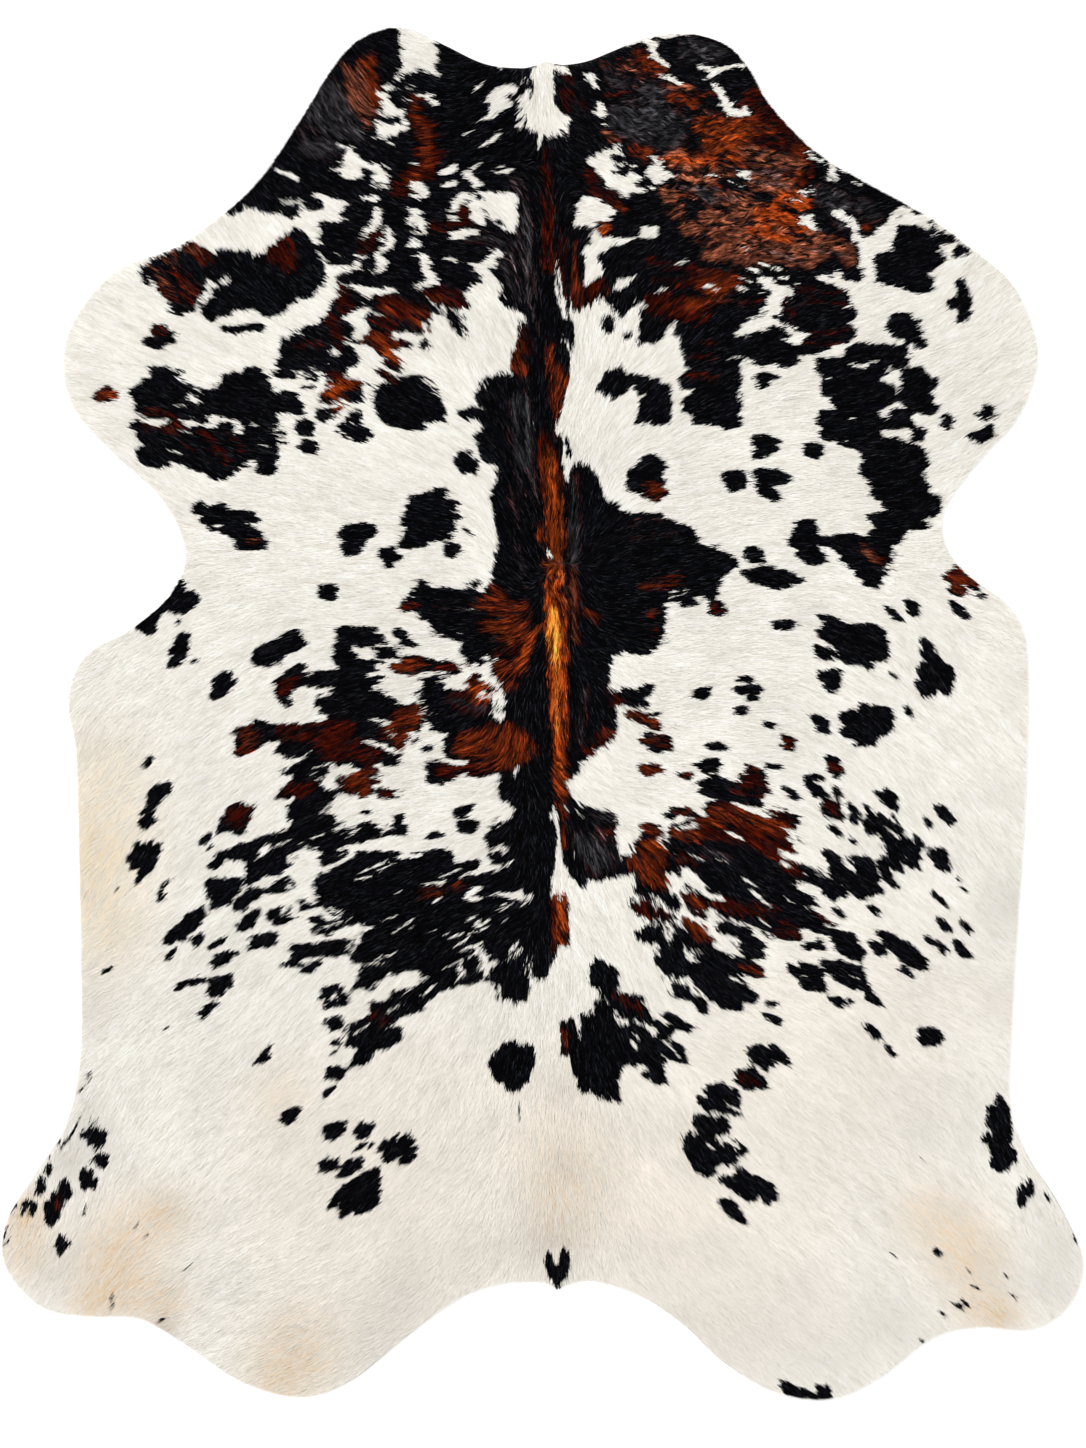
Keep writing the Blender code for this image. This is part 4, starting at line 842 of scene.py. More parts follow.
        (160, 1320, 166, 1317, 1.1, 0.6), (112, 1291, 112, 1309, 0.4), (186, 1269, 190, 1266, 0.6, 0.5),
        # Three thin strokes, from (90, 1122) to (98, 1121) and from (80, 1118) down to (60, 1148), are
        # painted shadows in creases of the skin at the left hock
        (136, 1225, 139, 1222, 0.5, 0.4), (80, 1091, 85, 1085, 0.6, 0.5), (90, 1122, 98, 1121, 0.6, 0.5),
        (80, 1118, 72, 1134, 0.4, 0.5), (72, 1134, 60, 1148, 0.5, 0.4), (892, 1254, 897, 1257, 0.6, 0.5),
        (973, 1286, 978, 1288, 0.8, 0.7), (967, 1270, 969, 1272, 0.5), (923, 1159, 924, 1162, 0.6, 0.5),
        (519, 1108, 520, 1116, 0.5, 0.4), (1012, 1295, 1015, 1298, 0.6, 0.5),
        (1006, 1276, 1007, 1278, 0.6, 0.5),
    ),
    "small patches": strokes(
        (543, 610, 545, 700, 5), (533, 600, 536, 645, 6),
    ),
    "neck edges": strokes(
        (836, 343, 848, 341, 2), (782, 362, 798, 360, 3, 2.5), (843, 357, 853, 358, 2, 1.5),
        (832, 399, 834, 407, 2), (842, 442, 850, 446, 3, 2), (641, 342, 645, 340, 2),
        (658, 338, 661, 336, 3, 2), (652, 40, 660, 39, 2),
    ),
    "patches, fine details": strokes(
        (146, 272, 158, 266, 6, 7), (156, 262, 172, 262, 5, 7), (145, 278, 148, 278, 3.5),
        (163, 282, 166, 288, 6, 7),
    ),
    "right loin, fine details": strokes(
        (742, 822, 786, 830, 9, 10), (760, 840, 790, 852, 9, 8), (744, 806, 780, 812, 6),
    ),
    "right rump, fine details": strokes(
        (740, 958, 748, 962, 2), (900, 860, 910, 862, 3, 2), (928, 852, 934, 860, 2),
        (880, 944, 886, 954, 2), (906, 964, 924, 968, 2), (824, 970, 858, 982, 1.5, 2),
        (790, 970, 800, 978, 2.5), (880, 864, 884, 876, 2),
    ),
    "left side, fine details": strokes(
        (470, 657, 480, 664, 3, 2), (486, 652, 492, 659, 1.5), (296, 676, 306, 674, 1.5),
        (432, 728, 444, 732, 1.2), (330, 760, 348, 765, 2), (336, 779, 344, 776, 2.5),
        (318, 795, 331, 795, 4, 5), (466, 760, 470, 772, 4, 5), (302, 833, 336, 831, 1.3),
        (344, 828, 356, 833, 2.5, 2), (302, 843, 314, 848, 2.5, 2), (488, 838, 492, 848, 2),
        (488, 855, 500, 853, 2), (317, 881, 317, 893, 2), (302, 908, 316, 906, 1.5),
        (340, 924, 358, 922, 1.5), (366, 934, 376, 928, 1.5, 2), (416, 969, 424, 972, 2, 3),
        (355, 1058, 359, 1050, 1.5), (188, 244, 212, 257, 3), (270, 248, 286, 243, 3, 5),
        (206, 275, 216, 282, 1.5), (222, 275, 236, 275, 2, 2.5), (306, 297, 318, 289, 1.5),
        (302, 367, 318, 377, 2.5, 2), (329, 352, 330, 362, 1.5), (214, 412, 240, 416, 2, 3),
    ),
    "middle, fine details": strokes(
        (576, 802, 590, 811, 3, 1.5), (665, 604, 671, 602, 2), (754, 582, 768, 585, 1.5, 2),
        (788, 585, 803, 581, 2, 1.5), (830, 550, 842, 560, 1.5, 2), (848, 566, 858, 577, 1.5),
        (813, 564, 822, 562, 1.5), (886, 733, 893, 728, 2),
    ),
    "left shoulder, edges": strokes(
        (318, 247, 324, 251, 3, 3.5), (328, 255, 334, 258, 4.5, 5), (340, 260, 349, 261, 4, 1.5),
        (309, 236, 316, 248, 2, 2.5), (338, 283, 352, 283, 1.5), (355, 283, 384, 287, 1.5, 2),
        (399, 290, 403, 292, 2.5, 1), (370, 301, 376, 296, 2.5, 1.5), (366, 316, 368, 322, 2),
        (345, 323, 350, 335, 3.5), (342, 341, 362, 342, 1.5, 2), (371, 322, 372, 336, 2.5),
        (376, 337, 392, 338, 2), (362, 340, 372, 334, 2.5, 3.5), (275, 376, 295, 377, 1.5),
        (296, 369, 306, 375, 1.5), (304, 378, 318, 381, 1.2), (308, 368, 316, 372, 1),
        (305, 389, 314, 385, 1), (316, 366, 328, 374, 1.5), (328, 376, 344, 378, 2.5, 2),
        (322, 398, 332, 398, 3, 2), (318, 414, 324, 420, 2), (350, 402, 358, 402, 1.5),
        (357, 412, 358, 420, 3, 4), (384, 338, 394, 345, 2), (250, 204, 264, 209, 3),
        (266, 210, 280, 212, 2.5, 1.5), (228, 214, 238, 213, 2, 1.5), (342, 213, 346, 213, 3.5, 6),
    ),
}

MAHOGANY_STROKES = {
    "neck and shoulders": strokes(
        (417, 102, 417, 118, 8), (425, 128, 428, 135, 12, 8), (430, 152, 428, 172, 12, 8),
        (420, 170, 400, 190, 8), (464, 207, 463, 222, 6, 8), (434, 227, 450, 225, 6, 4),
        (375, 232, 368, 250, 8, 10), (280, 250, 290, 262, 14, 10), (160, 285, 172, 300, 5, 6),
        (195, 248, 207, 258, 7, 6), (590, 172, 596, 190, 6, 8), (760, 110, 790, 170, 22, 24),
        (600, 285, 580, 300, 6, 9), (655, 305, 700, 312, 12, 11), (845, 250, 848, 262, 8, 7),
        (608, 195, 616, 205, 6, 5),
    ),
    "body, upper half": strokes(
        (782, 737, 790, 745, 4, 6), (832, 765, 838, 768, 5, 4), (445, 668, 455, 668, 5),
        (510, 650, 515, 660, 14, 12), (404, 608, 412, 607, 3),
    ),
    "loin": strokes(
        (282, 688, 292, 680, 7, 6), (285, 732, 340, 732, 7, 14), (330, 748, 375, 752, 12, 9),
        (352, 785, 375, 775, 9), (384, 794, 394, 793, 4), (284, 791, 298, 788, 4, 6),
        (230, 815, 245, 812, 7), (300, 790, 310, 785, 5), (590, 752, 600, 742, 6),
        (612, 690, 616, 705, 5), (748, 770, 765, 792, 7, 8), (720, 812, 780, 825, 10, 14),
        (740, 830, 790, 855, 10, 12), (660, 745, 668, 745, 4, 5), (700, 908, 706, 914, 6, 4),
        (645, 905, 665, 912, 6), (783, 815, 790, 845, 6, 5), (785, 866, 800, 870, 6, 5),
        (785, 930, 798, 935, 9, 5), (830, 806, 838, 812, 5), (820, 915, 832, 923, 3),
        (455, 700, 480, 706, 8), (445, 770, 458, 774, 6),
    ),
    "rump": strokes(
        (566, 1035, 568, 1048, 4, 3), (720, 905, 770, 912, 6, 7), (552, 905, 554, 950, 4, 3),
    ),
    "legs": strokes(
        (154, 330, 160, 333, 6),
    ),
    "left shoulder, lower patches": strokes(
        (340, 295, 350, 312, 9, 8), (332, 322, 338, 335, 7, 6), (385, 302, 400, 310, 9, 10),
        (380, 322, 392, 328, 6), (430, 292, 460, 298, 7), (520, 335, 525, 350, 7, 8),
        (592, 292, 600, 291, 7, 8), (450, 306, 464, 306, 4, 3),
    ),
    "spine": strokes(
        (545, 440, 545, 500, 6, 5), (574, 300, 576, 260, 3, 4),
    ),
    "shoulders and forelegs, details": strokes(
        (866, 227, 872, 232, 6),
    ),
    "spine and rump": strokes(
        (553, 890, 555, 955, 3), (566, 720, 567, 742, 3),
    ),
    "right flank and loin, details": strokes(
        (682, 856, 690, 863, 5, 6), (640, 905, 652, 914, 8), (700, 828, 790, 840, 9),
        (628, 912, 640, 918, 5, 4),
    ),
    "small patches": strokes(
        (548, 222, 549, 268, 6, 7), (561, 240, 562, 300, 4, 3), (412, 308, 424, 314, 6, 7),
        (642, 586, 674, 580, 4, 6), (690, 270, 705, 285, 7), (700, 186, 735, 200, 8),
    ),
    "thin streaks": strokes(
        (566, 90, 584, 106, 3, 4), (705, 342, 715, 346, 2), (374, 1014, 384, 1020, 3),
        (420, 894, 446, 884, 3), (230, 812, 238, 824, 4), (574, 480, 575, 600, 4, 5),
        (572, 600, 576, 640, 4, 3), (556, 556, 561, 600, 5, 6),
    ),
    "patches, fine details": strokes(
        (176, 272, 196, 290, 5), (180, 296, 190, 302, 4, 5), (800, 290, 836, 292, 2),
        (806, 300, 840, 304, 2), (812, 334, 844, 330, 3), (806, 343, 836, 344, 3, 2),
        (786, 298, 792, 330, 3), (205, 432, 228, 462, 4), (232, 436, 244, 452, 2),
        (250, 544, 262, 541, 1.5), (862, 548, 878, 560, 3, 4), (650, 612, 656, 632, 3),
        (711, 607, 718, 610, 2), (692, 375, 712, 378, 2.5, 3), (300, 346, 318, 344, 3, 2.5),
        (742, 1077, 757, 1082, 3, 3.5), (57, 1198, 57, 1204, 2, 2.5), (592, 612, 596, 622, 3),
        (740, 304, 784, 300, 2), (196, 252, 212, 264, 3), (184, 446, 196, 452, 2),
        (330, 350, 342, 345, 2), (614, 994, 640, 1010, 1, 3), (150, 412, 170, 416, 3),
        (164, 432, 180, 425, 4), (148, 428, 158, 428, 2), (628, 1002, 640, 1010, 1),
    ),
    "right neck, fill": strokes(
        (648, 262, 690, 270, 2), (652, 280, 700, 286, 2), (600, 66, 650, 60, 2), (690, 356, 712, 360, 2),
        (604, 98, 640, 88, 1),
    ),
    "right loin, fine details": strokes(
        (646, 862, 660, 884, 6), (736, 790, 768, 782, 4, 5),
    ),
    "left side, fine details": strokes(
        (188, 244, 212, 257, 3), (372, 764, 373, 782, 3), (466, 760, 470, 772, 5, 6),
    ),
    "spine and neck": strokes(
        (545, 152, 548, 215, 5, 6), (556, 72, 570, 80, 3, 4), (562, 92, 566, 106, 5, 4),
    ),
    "left shoulder, edges": strokes(
        (328, 376, 344, 378, 3), (322, 398, 332, 398, 3),
    ),
}

RUSSET_STROKES = {
    "neck and shoulders": strokes(
        (365, 338, 400, 345, 5, 8), (385, 350, 398, 357, 6, 4), (385, 361, 403, 366, 3),
        (380, 372, 396, 380, 3.5, 4), (342, 385, 355, 383, 4), (340, 405, 347, 411, 4, 3),
        (640, 55, 658, 72, 7, 8), (608, 130, 612, 138, 4), (632, 150, 645, 152, 5, 6),
        (642, 158, 648, 164, 4), (615, 202, 624, 210, 3), (705, 285, 735, 282, 8, 9),
        (690, 305, 720, 300, 6, 5), (770, 180, 790, 190, 12, 9), (575, 250, 582, 280, 5),
        (868, 230, 868, 233, 6, 4), (800, 150, 790, 175, 6, 10),
    ),
    "body, upper half": strokes(
        (650, 488, 664, 490, 6, 4), (655, 497, 660, 498, 4, 3), (492, 588, 500, 592, 5),
        (478, 605, 500, 603, 5, 10), (500, 610, 522, 612, 9, 11), (490, 625, 520, 630, 8, 11),
        (500, 668, 522, 668, 5, 7), (392, 668, 410, 668, 4, 6), (405, 660, 420, 662, 4, 5),
        (958, 568, 975, 580, 4), (950, 576, 962, 578, 5, 6), (955, 588, 962, 592, 5, 4),
        (105, 392, 118, 390, 4),
    ),
    "loin": strokes(
        (236, 732, 245, 732, 3, 5), (245, 740, 256, 738, 6, 5), (240, 750, 246, 748, 4),
        (400, 715, 415, 712, 7), (395, 730, 412, 725, 11, 7), (402, 745, 408, 738, 6, 5),
        (360, 785, 372, 775, 6), (468, 682, 500, 690, 5, 3), (505, 684, 512, 684, 7, 6),
        (465, 745, 500, 740, 12, 16), (485, 765, 510, 755, 9, 12), (505, 735, 525, 750, 14, 12),
        (458, 886, 462, 884, 4, 3), (418, 900, 442, 893, 2, 3), (602, 830, 612, 832, 4, 6),
        (630, 714, 645, 713, 6, 4), (643, 720, 655, 722, 4, 3), (650, 727, 658, 728, 2, 2.5),
        (643, 740, 658, 740, 4), (642, 768, 656, 769, 4, 5), (646, 773, 652, 773, 3),
        (678, 775, 686, 776, 2, 3), (645, 826, 655, 830, 4, 6), (645, 848, 660, 850, 7, 9),
        (632, 863, 660, 863, 6, 7), (645, 878, 665, 880, 7, 8), (672, 832, 695, 835, 6, 8),
        (676, 812, 688, 811, 3), (690, 822, 720, 822, 2, 6), (715, 812, 740, 815, 6, 8),
        (685, 898, 698, 902, 5, 6), (600, 735, 612, 733, 4),
    ),
    "rump": strokes(
        (566, 1035, 566, 1042, 2), (685, 920, 700, 932, 4, 7), (700, 935, 710, 941, 5, 3),
        (745, 965, 760, 975, 4), (692, 900, 708, 910, 4), (557, 905, 557, 945, 2.5, 2),
        (95, 397, 108, 391, 3, 5), (100, 400, 112, 397, 3, 4),
    ),
    "left foreleg, lower patch": strokes(
        (186, 286, 194, 292, 4), (172, 430, 178, 434, 3),
    ),
    "left shoulder, lower patches": strokes(
        (415, 322, 427, 328, 5), (370, 341, 386, 346, 4, 6), (384, 352, 402, 364, 6, 4),
        (378, 368, 398, 378, 2), (330, 388, 350, 384, 5, 6), (325, 396, 345, 402, 4),
        (335, 409, 350, 406, 4, 3), (518, 345, 512, 362, 5, 6), (516, 360, 522, 372, 6),
        (577, 250, 578, 292, 4, 5), (560, 372, 565, 392, 5, 6), (552, 372, 556, 395, 5),
    ),
    "spine": strokes(
        (550, 350, 552, 400, 4), (556, 405, 558, 440, 3, 2), (538, 458, 545, 475, 3, 4),
        (560, 700, 562, 790, 7, 5), (561, 800, 563, 845, 4, 3), (562, 890, 565, 945, 3),
    ),
    "left flank and loin, details": strokes(
        (497, 662, 503, 680, 7), (467, 664, 474, 676, 2.5, 4), (472, 684, 482, 687, 3, 4),
        (246, 736, 246, 752, 6), (350, 776, 362, 790, 9, 8),
    ),
    "small patches": strokes(
        (416, 312, 424, 314, 2.5, 3), (384, 305, 388, 312, 2, 2.5), (434, 297, 446, 301, 2),
        (644, 586, 672, 581, 2, 3.5), (700, 124, 746, 128, 9, 12), (704, 158, 756, 160, 8),
        (586, 612, 596, 618, 2, 3),
    ),
    "thin streaks": strokes(
        (350, 75, 372, 60, 4, 5), (563, 600, 564, 660, 4),
    ),
    "neck, fine details": strokes(
        (372, 78, 375, 112, 6), (360, 68, 372, 66, 4),
    ),
    "right neck, fill": strokes(
        (752, 118, 776, 134, 3), (664, 190, 684, 196, 2), (670, 212, 684, 220, 2),
        (700, 270, 730, 276, 3), (700, 96, 716, 92, 2),
    ),
    "right loin, fine details": strokes(
        (752, 818, 782, 830, 5, 6),
    ),
    "spine and neck": strokes(
        (672, 96, 694, 102, 6), (417, 102, 418, 130, 3), (426, 130, 428, 165, 4), (420, 174, 404, 190, 3),
    ),
    "left shoulder, edges": strokes(
        (362, 340, 372, 334, 3, 4), (376, 337, 392, 338, 3),
    ),
}

RUST_STROKES = {
    "spine and neck": strokes(
        (551, 455, 553, 500, 9), (554, 500, 556, 545, 10), (552, 560, 554, 600, 9),
        (706, 128, 742, 132, 8, 11), (704, 148, 742, 148, 6), (492, 628, 510, 640, 5, 7),
    ),
}

CHESTNUT_STROKES = {
    "small patches": strokes(
        (676, 158, 700, 168, 11, 8), (716, 170, 730, 172, 6, 5), (745, 158, 780, 166, 6, 5),
        (668, 192, 676, 212, 7, 9), (755, 180, 785, 186, 10, 9), (708, 216, 748, 228, 8, 12),
        (708, 252, 762, 252, 10, 15), (690, 232, 696, 238, 6, 5), (775, 256, 820, 254, 8),
        (720, 196, 745, 198, 6), (355, 108, 362, 122, 6, 7), (322, 82, 332, 92, 5, 6),
        (840, 245, 850, 262, 6, 5), (790, 262, 810, 266, 6), (742, 214, 780, 240, 12, 13),
        (775, 246, 800, 246, 6, 7),
    ),
    "thin streaks": strokes(
        (573, 484, 575, 600, 0.6, 1), (571, 600, 575, 640, 1, 0.6), (345, 70, 356, 112, 4, 5),
        (562, 560, 566, 600, 1),
    ),
    "patches, fine details": strokes(
        (160, 256, 176, 268, 2), (170, 250, 180, 262, 1.5), (150, 266, 156, 274, 0.6),
        (158, 270, 164, 284, 1.2), (166, 274, 170, 296, 1.5), (186, 250, 200, 252, 1.5),
        (866, 552, 876, 562, 0.6), (645, 606, 655, 612, 0.6), (860, 546, 870, 554, 0.6),
        (720, 300, 740, 302, 0.8), (248, 541, 258, 538, 0.4),
    ),
    "neck, fine details": strokes(
        (356, 76, 360, 120, 9, 12),
    ),
    "right neck, fill": strokes(
        (692, 194, 752, 206, 6, 7), (684, 226, 750, 238, 6, 7), (812, 236, 848, 248, 6, 7),
        (676, 176, 712, 182, 4), (744, 150, 800, 166, 6, 5), (606, 132, 614, 142, 2),
        (600, 64, 640, 72, 1.5), (628, 62, 642, 78, 2), (700, 108, 712, 112, 2),
        (640, 104, 664, 116, 0.6),
    ),
    "spine and neck": strokes(
        (668, 86, 686, 88, 4, 5),
    ),
}

ORANGE_STROKES = {
    "neck and shoulders": strokes(
        (604, 226, 603, 232, 5), (597, 231, 604, 231, 2, 4), (712, 290, 722, 292, 4, 3),
    ),
    "loin": strokes(
        (470, 690, 490, 697, 2, 3), (476, 697, 486, 700, 2), (530, 640, 524, 658, 5),
        (646, 848, 655, 842, 4, 3),
    ),
    "rump": strokes(
        (562, 898, 564, 940, 4),
    ),
    "spine": strokes(
        (554, 600, 556, 650, 10), (556, 650, 557, 720, 8, 7), (557, 720, 559, 790, 6, 5),
        (541, 530, 540, 538, 4),
    ),
    "left shoulder, lower patches": strokes(
        (388, 350, 398, 360, 4, 3), (332, 392, 348, 386, 3), (342, 404, 350, 406, 3, 2),
    ),
    "left flank and loin, details": strokes(
        (482, 687, 500, 692, 3, 2), (472, 686, 484, 694, 1.5, 2),
    ),
    "small patches": strokes(
        (730, 158, 740, 158, 3), (778, 200, 806, 204, 5, 6), (782, 196, 806, 204, 5, 7),
        (770, 212, 800, 226, 7, 8), (756, 210, 770, 232, 3, 6),
    ),
    "thin streaks": strokes(
        (564, 612, 565, 735, 2.5), (660, 160, 700, 162, 2), (750, 230, 788, 240, 4, 5),
        (562, 560, 558, 600, 1), (548, 572, 562, 584, 1.2), (546, 584, 562, 590, 1),
        (536, 628, 524, 650, 2, 1.5), (544, 624, 532, 636, 1.5, 2),
    ),
    "right neck, fill": strokes(
        (676, 158, 712, 166, 3), (716, 140, 744, 144, 2),
    ),
    "spine and neck": strokes(
        (549, 470, 551, 492, 1.5), (556, 500, 558, 530, 2), (548, 520, 550, 545, 1.5),
        (553, 455, 554, 470, 2), (553, 590, 554, 602, 5, 7), (712, 124, 736, 128, 1.5),
        (704, 140, 730, 146, 1.5), (720, 134, 742, 138, 1.5),
    ),
}

AMBER_STROKES = {
    "spine": strokes(
        (553, 612, 554, 640, 5, 6), (554, 640, 556, 664, 5, 3),
    ),
    "spine and neck": strokes(
        (554, 628, 555, 652, 5), (557, 655, 557, 690, 1.5, 1.2), (556, 700, 557, 730, 0.8),
    ),
}

# Greyish dark hair, partly a painted sheen of light on curved black hair
GREY_STROKES = {
    "neck and shoulders": strokes(
        (620, 120, 665, 130, 16, 22), (650, 90, 655, 110, 10, 12), (690, 50, 715, 55, 14, 12),
        (825, 195, 845, 215, 12, 14), (862, 205, 872, 215, 8, 7),
    ),
    "loin": strokes(
        (585, 845, 600, 860, 14), (600, 818, 612, 816, 6, 4), (583, 690, 580, 740, 4),
        (573, 500, 575, 560, 5),
    ),
    "spine": strokes(
        (572, 480, 575, 560, 4, 5),
    ),
    "small patches": strokes(
        (648, 98, 655, 110, 8, 9), (608, 74, 620, 84, 6), (520, 400, 524, 460, 10, 12),
        (700, 192, 712, 200, 7, 6), (316, 108, 350, 130, 20, 16), (304, 150, 332, 150, 8, 10),
        (326, 84, 332, 95, 9, 10),
    ),
    "thin streaks": strokes(
        (514, 466, 524, 506, 2), (524, 440, 536, 500, 2), (510, 490, 518, 526, 1.5),
        (516, 545, 526, 590, 2), (440, 604, 478, 612, 3), (452, 700, 486, 710, 3, 2),
        (700, 850, 724, 858, 4), (630, 524, 676, 516, 1), (630, 540, 672, 534, 1),
    ),
    "neck, fine details": strokes(
        (470, 240, 500, 236, 4, 3), (500, 250, 516, 300, 4, 5), (486, 236, 520, 246, 3),
        (524, 210, 530, 270, 4),
    ),
}

# Fine pale lines in the dark hair: partly pale strands, partly a painted sheen
SILVER_STROKES = {
    "small patches": strokes(
        (306, 112, 322, 150, 1.2, 1), (314, 104, 330, 146, 1.2, 1), (322, 96, 340, 140, 1.4, 1),
        (330, 88, 348, 134, 1.2, 1), (338, 84, 356, 136, 1), (346, 100, 362, 140, 1, 0.8),
        (300, 128, 312, 158, 1.2, 1), (322, 140, 332, 158, 1.2, 1), (336, 146, 344, 152, 1),
        (352, 130, 372, 146, 1, 0.8), (612, 82, 640, 92, 1), (620, 100, 650, 104, 1),
        (640, 84, 668, 92, 0.8), (616, 118, 640, 122, 1), (640, 112, 664, 122, 1),
        (630, 132, 656, 136, 1), (650, 100, 672, 106, 0.8), (668, 118, 690, 120, 0.8),
        (690, 46, 716, 54, 1), (700, 56, 724, 60, 1), (760, 172, 780, 178, 1), (756, 182, 784, 186, 1),
        (820, 190, 846, 196, 1), (826, 204, 850, 208, 1), (838, 222, 856, 232, 1, 0.8),
        (520, 190, 528, 262, 1, 0.6), (526, 280, 538, 330, 0.8, 0.6),
    ),
    "thin streaks": strokes(
        (518, 472, 526, 500, 0.3), (530, 470, 536, 505, 0.3), (522, 560, 530, 585, 0.3),
        (590, 830, 604, 858, 0.5), (596, 822, 612, 850, 0.5), (584, 846, 592, 866, 0.5),
        (704, 846, 730, 862, 0.3),
    ),
    "neck, fine details": strokes(
        (514, 178, 525, 230, 1), (521, 176, 533, 240, 1), (528, 230, 538, 300, 1),
        (518, 232, 527, 290, 1), (523, 262, 534, 322, 1), (512, 252, 521, 300, 0.8),
        (507, 272, 519, 318, 0.8), (502, 240, 514, 262, 0.6), (480, 238, 502, 244, 0.6),
    ),
    "right neck, fill": strokes(
        (672, 186, 720, 190, 0.5), (700, 200, 740, 198, 0.5), (812, 250, 848, 256, 0.6),
        (764, 250, 800, 262, 0.6), (742, 172, 790, 170, 0.6),
    ),
}

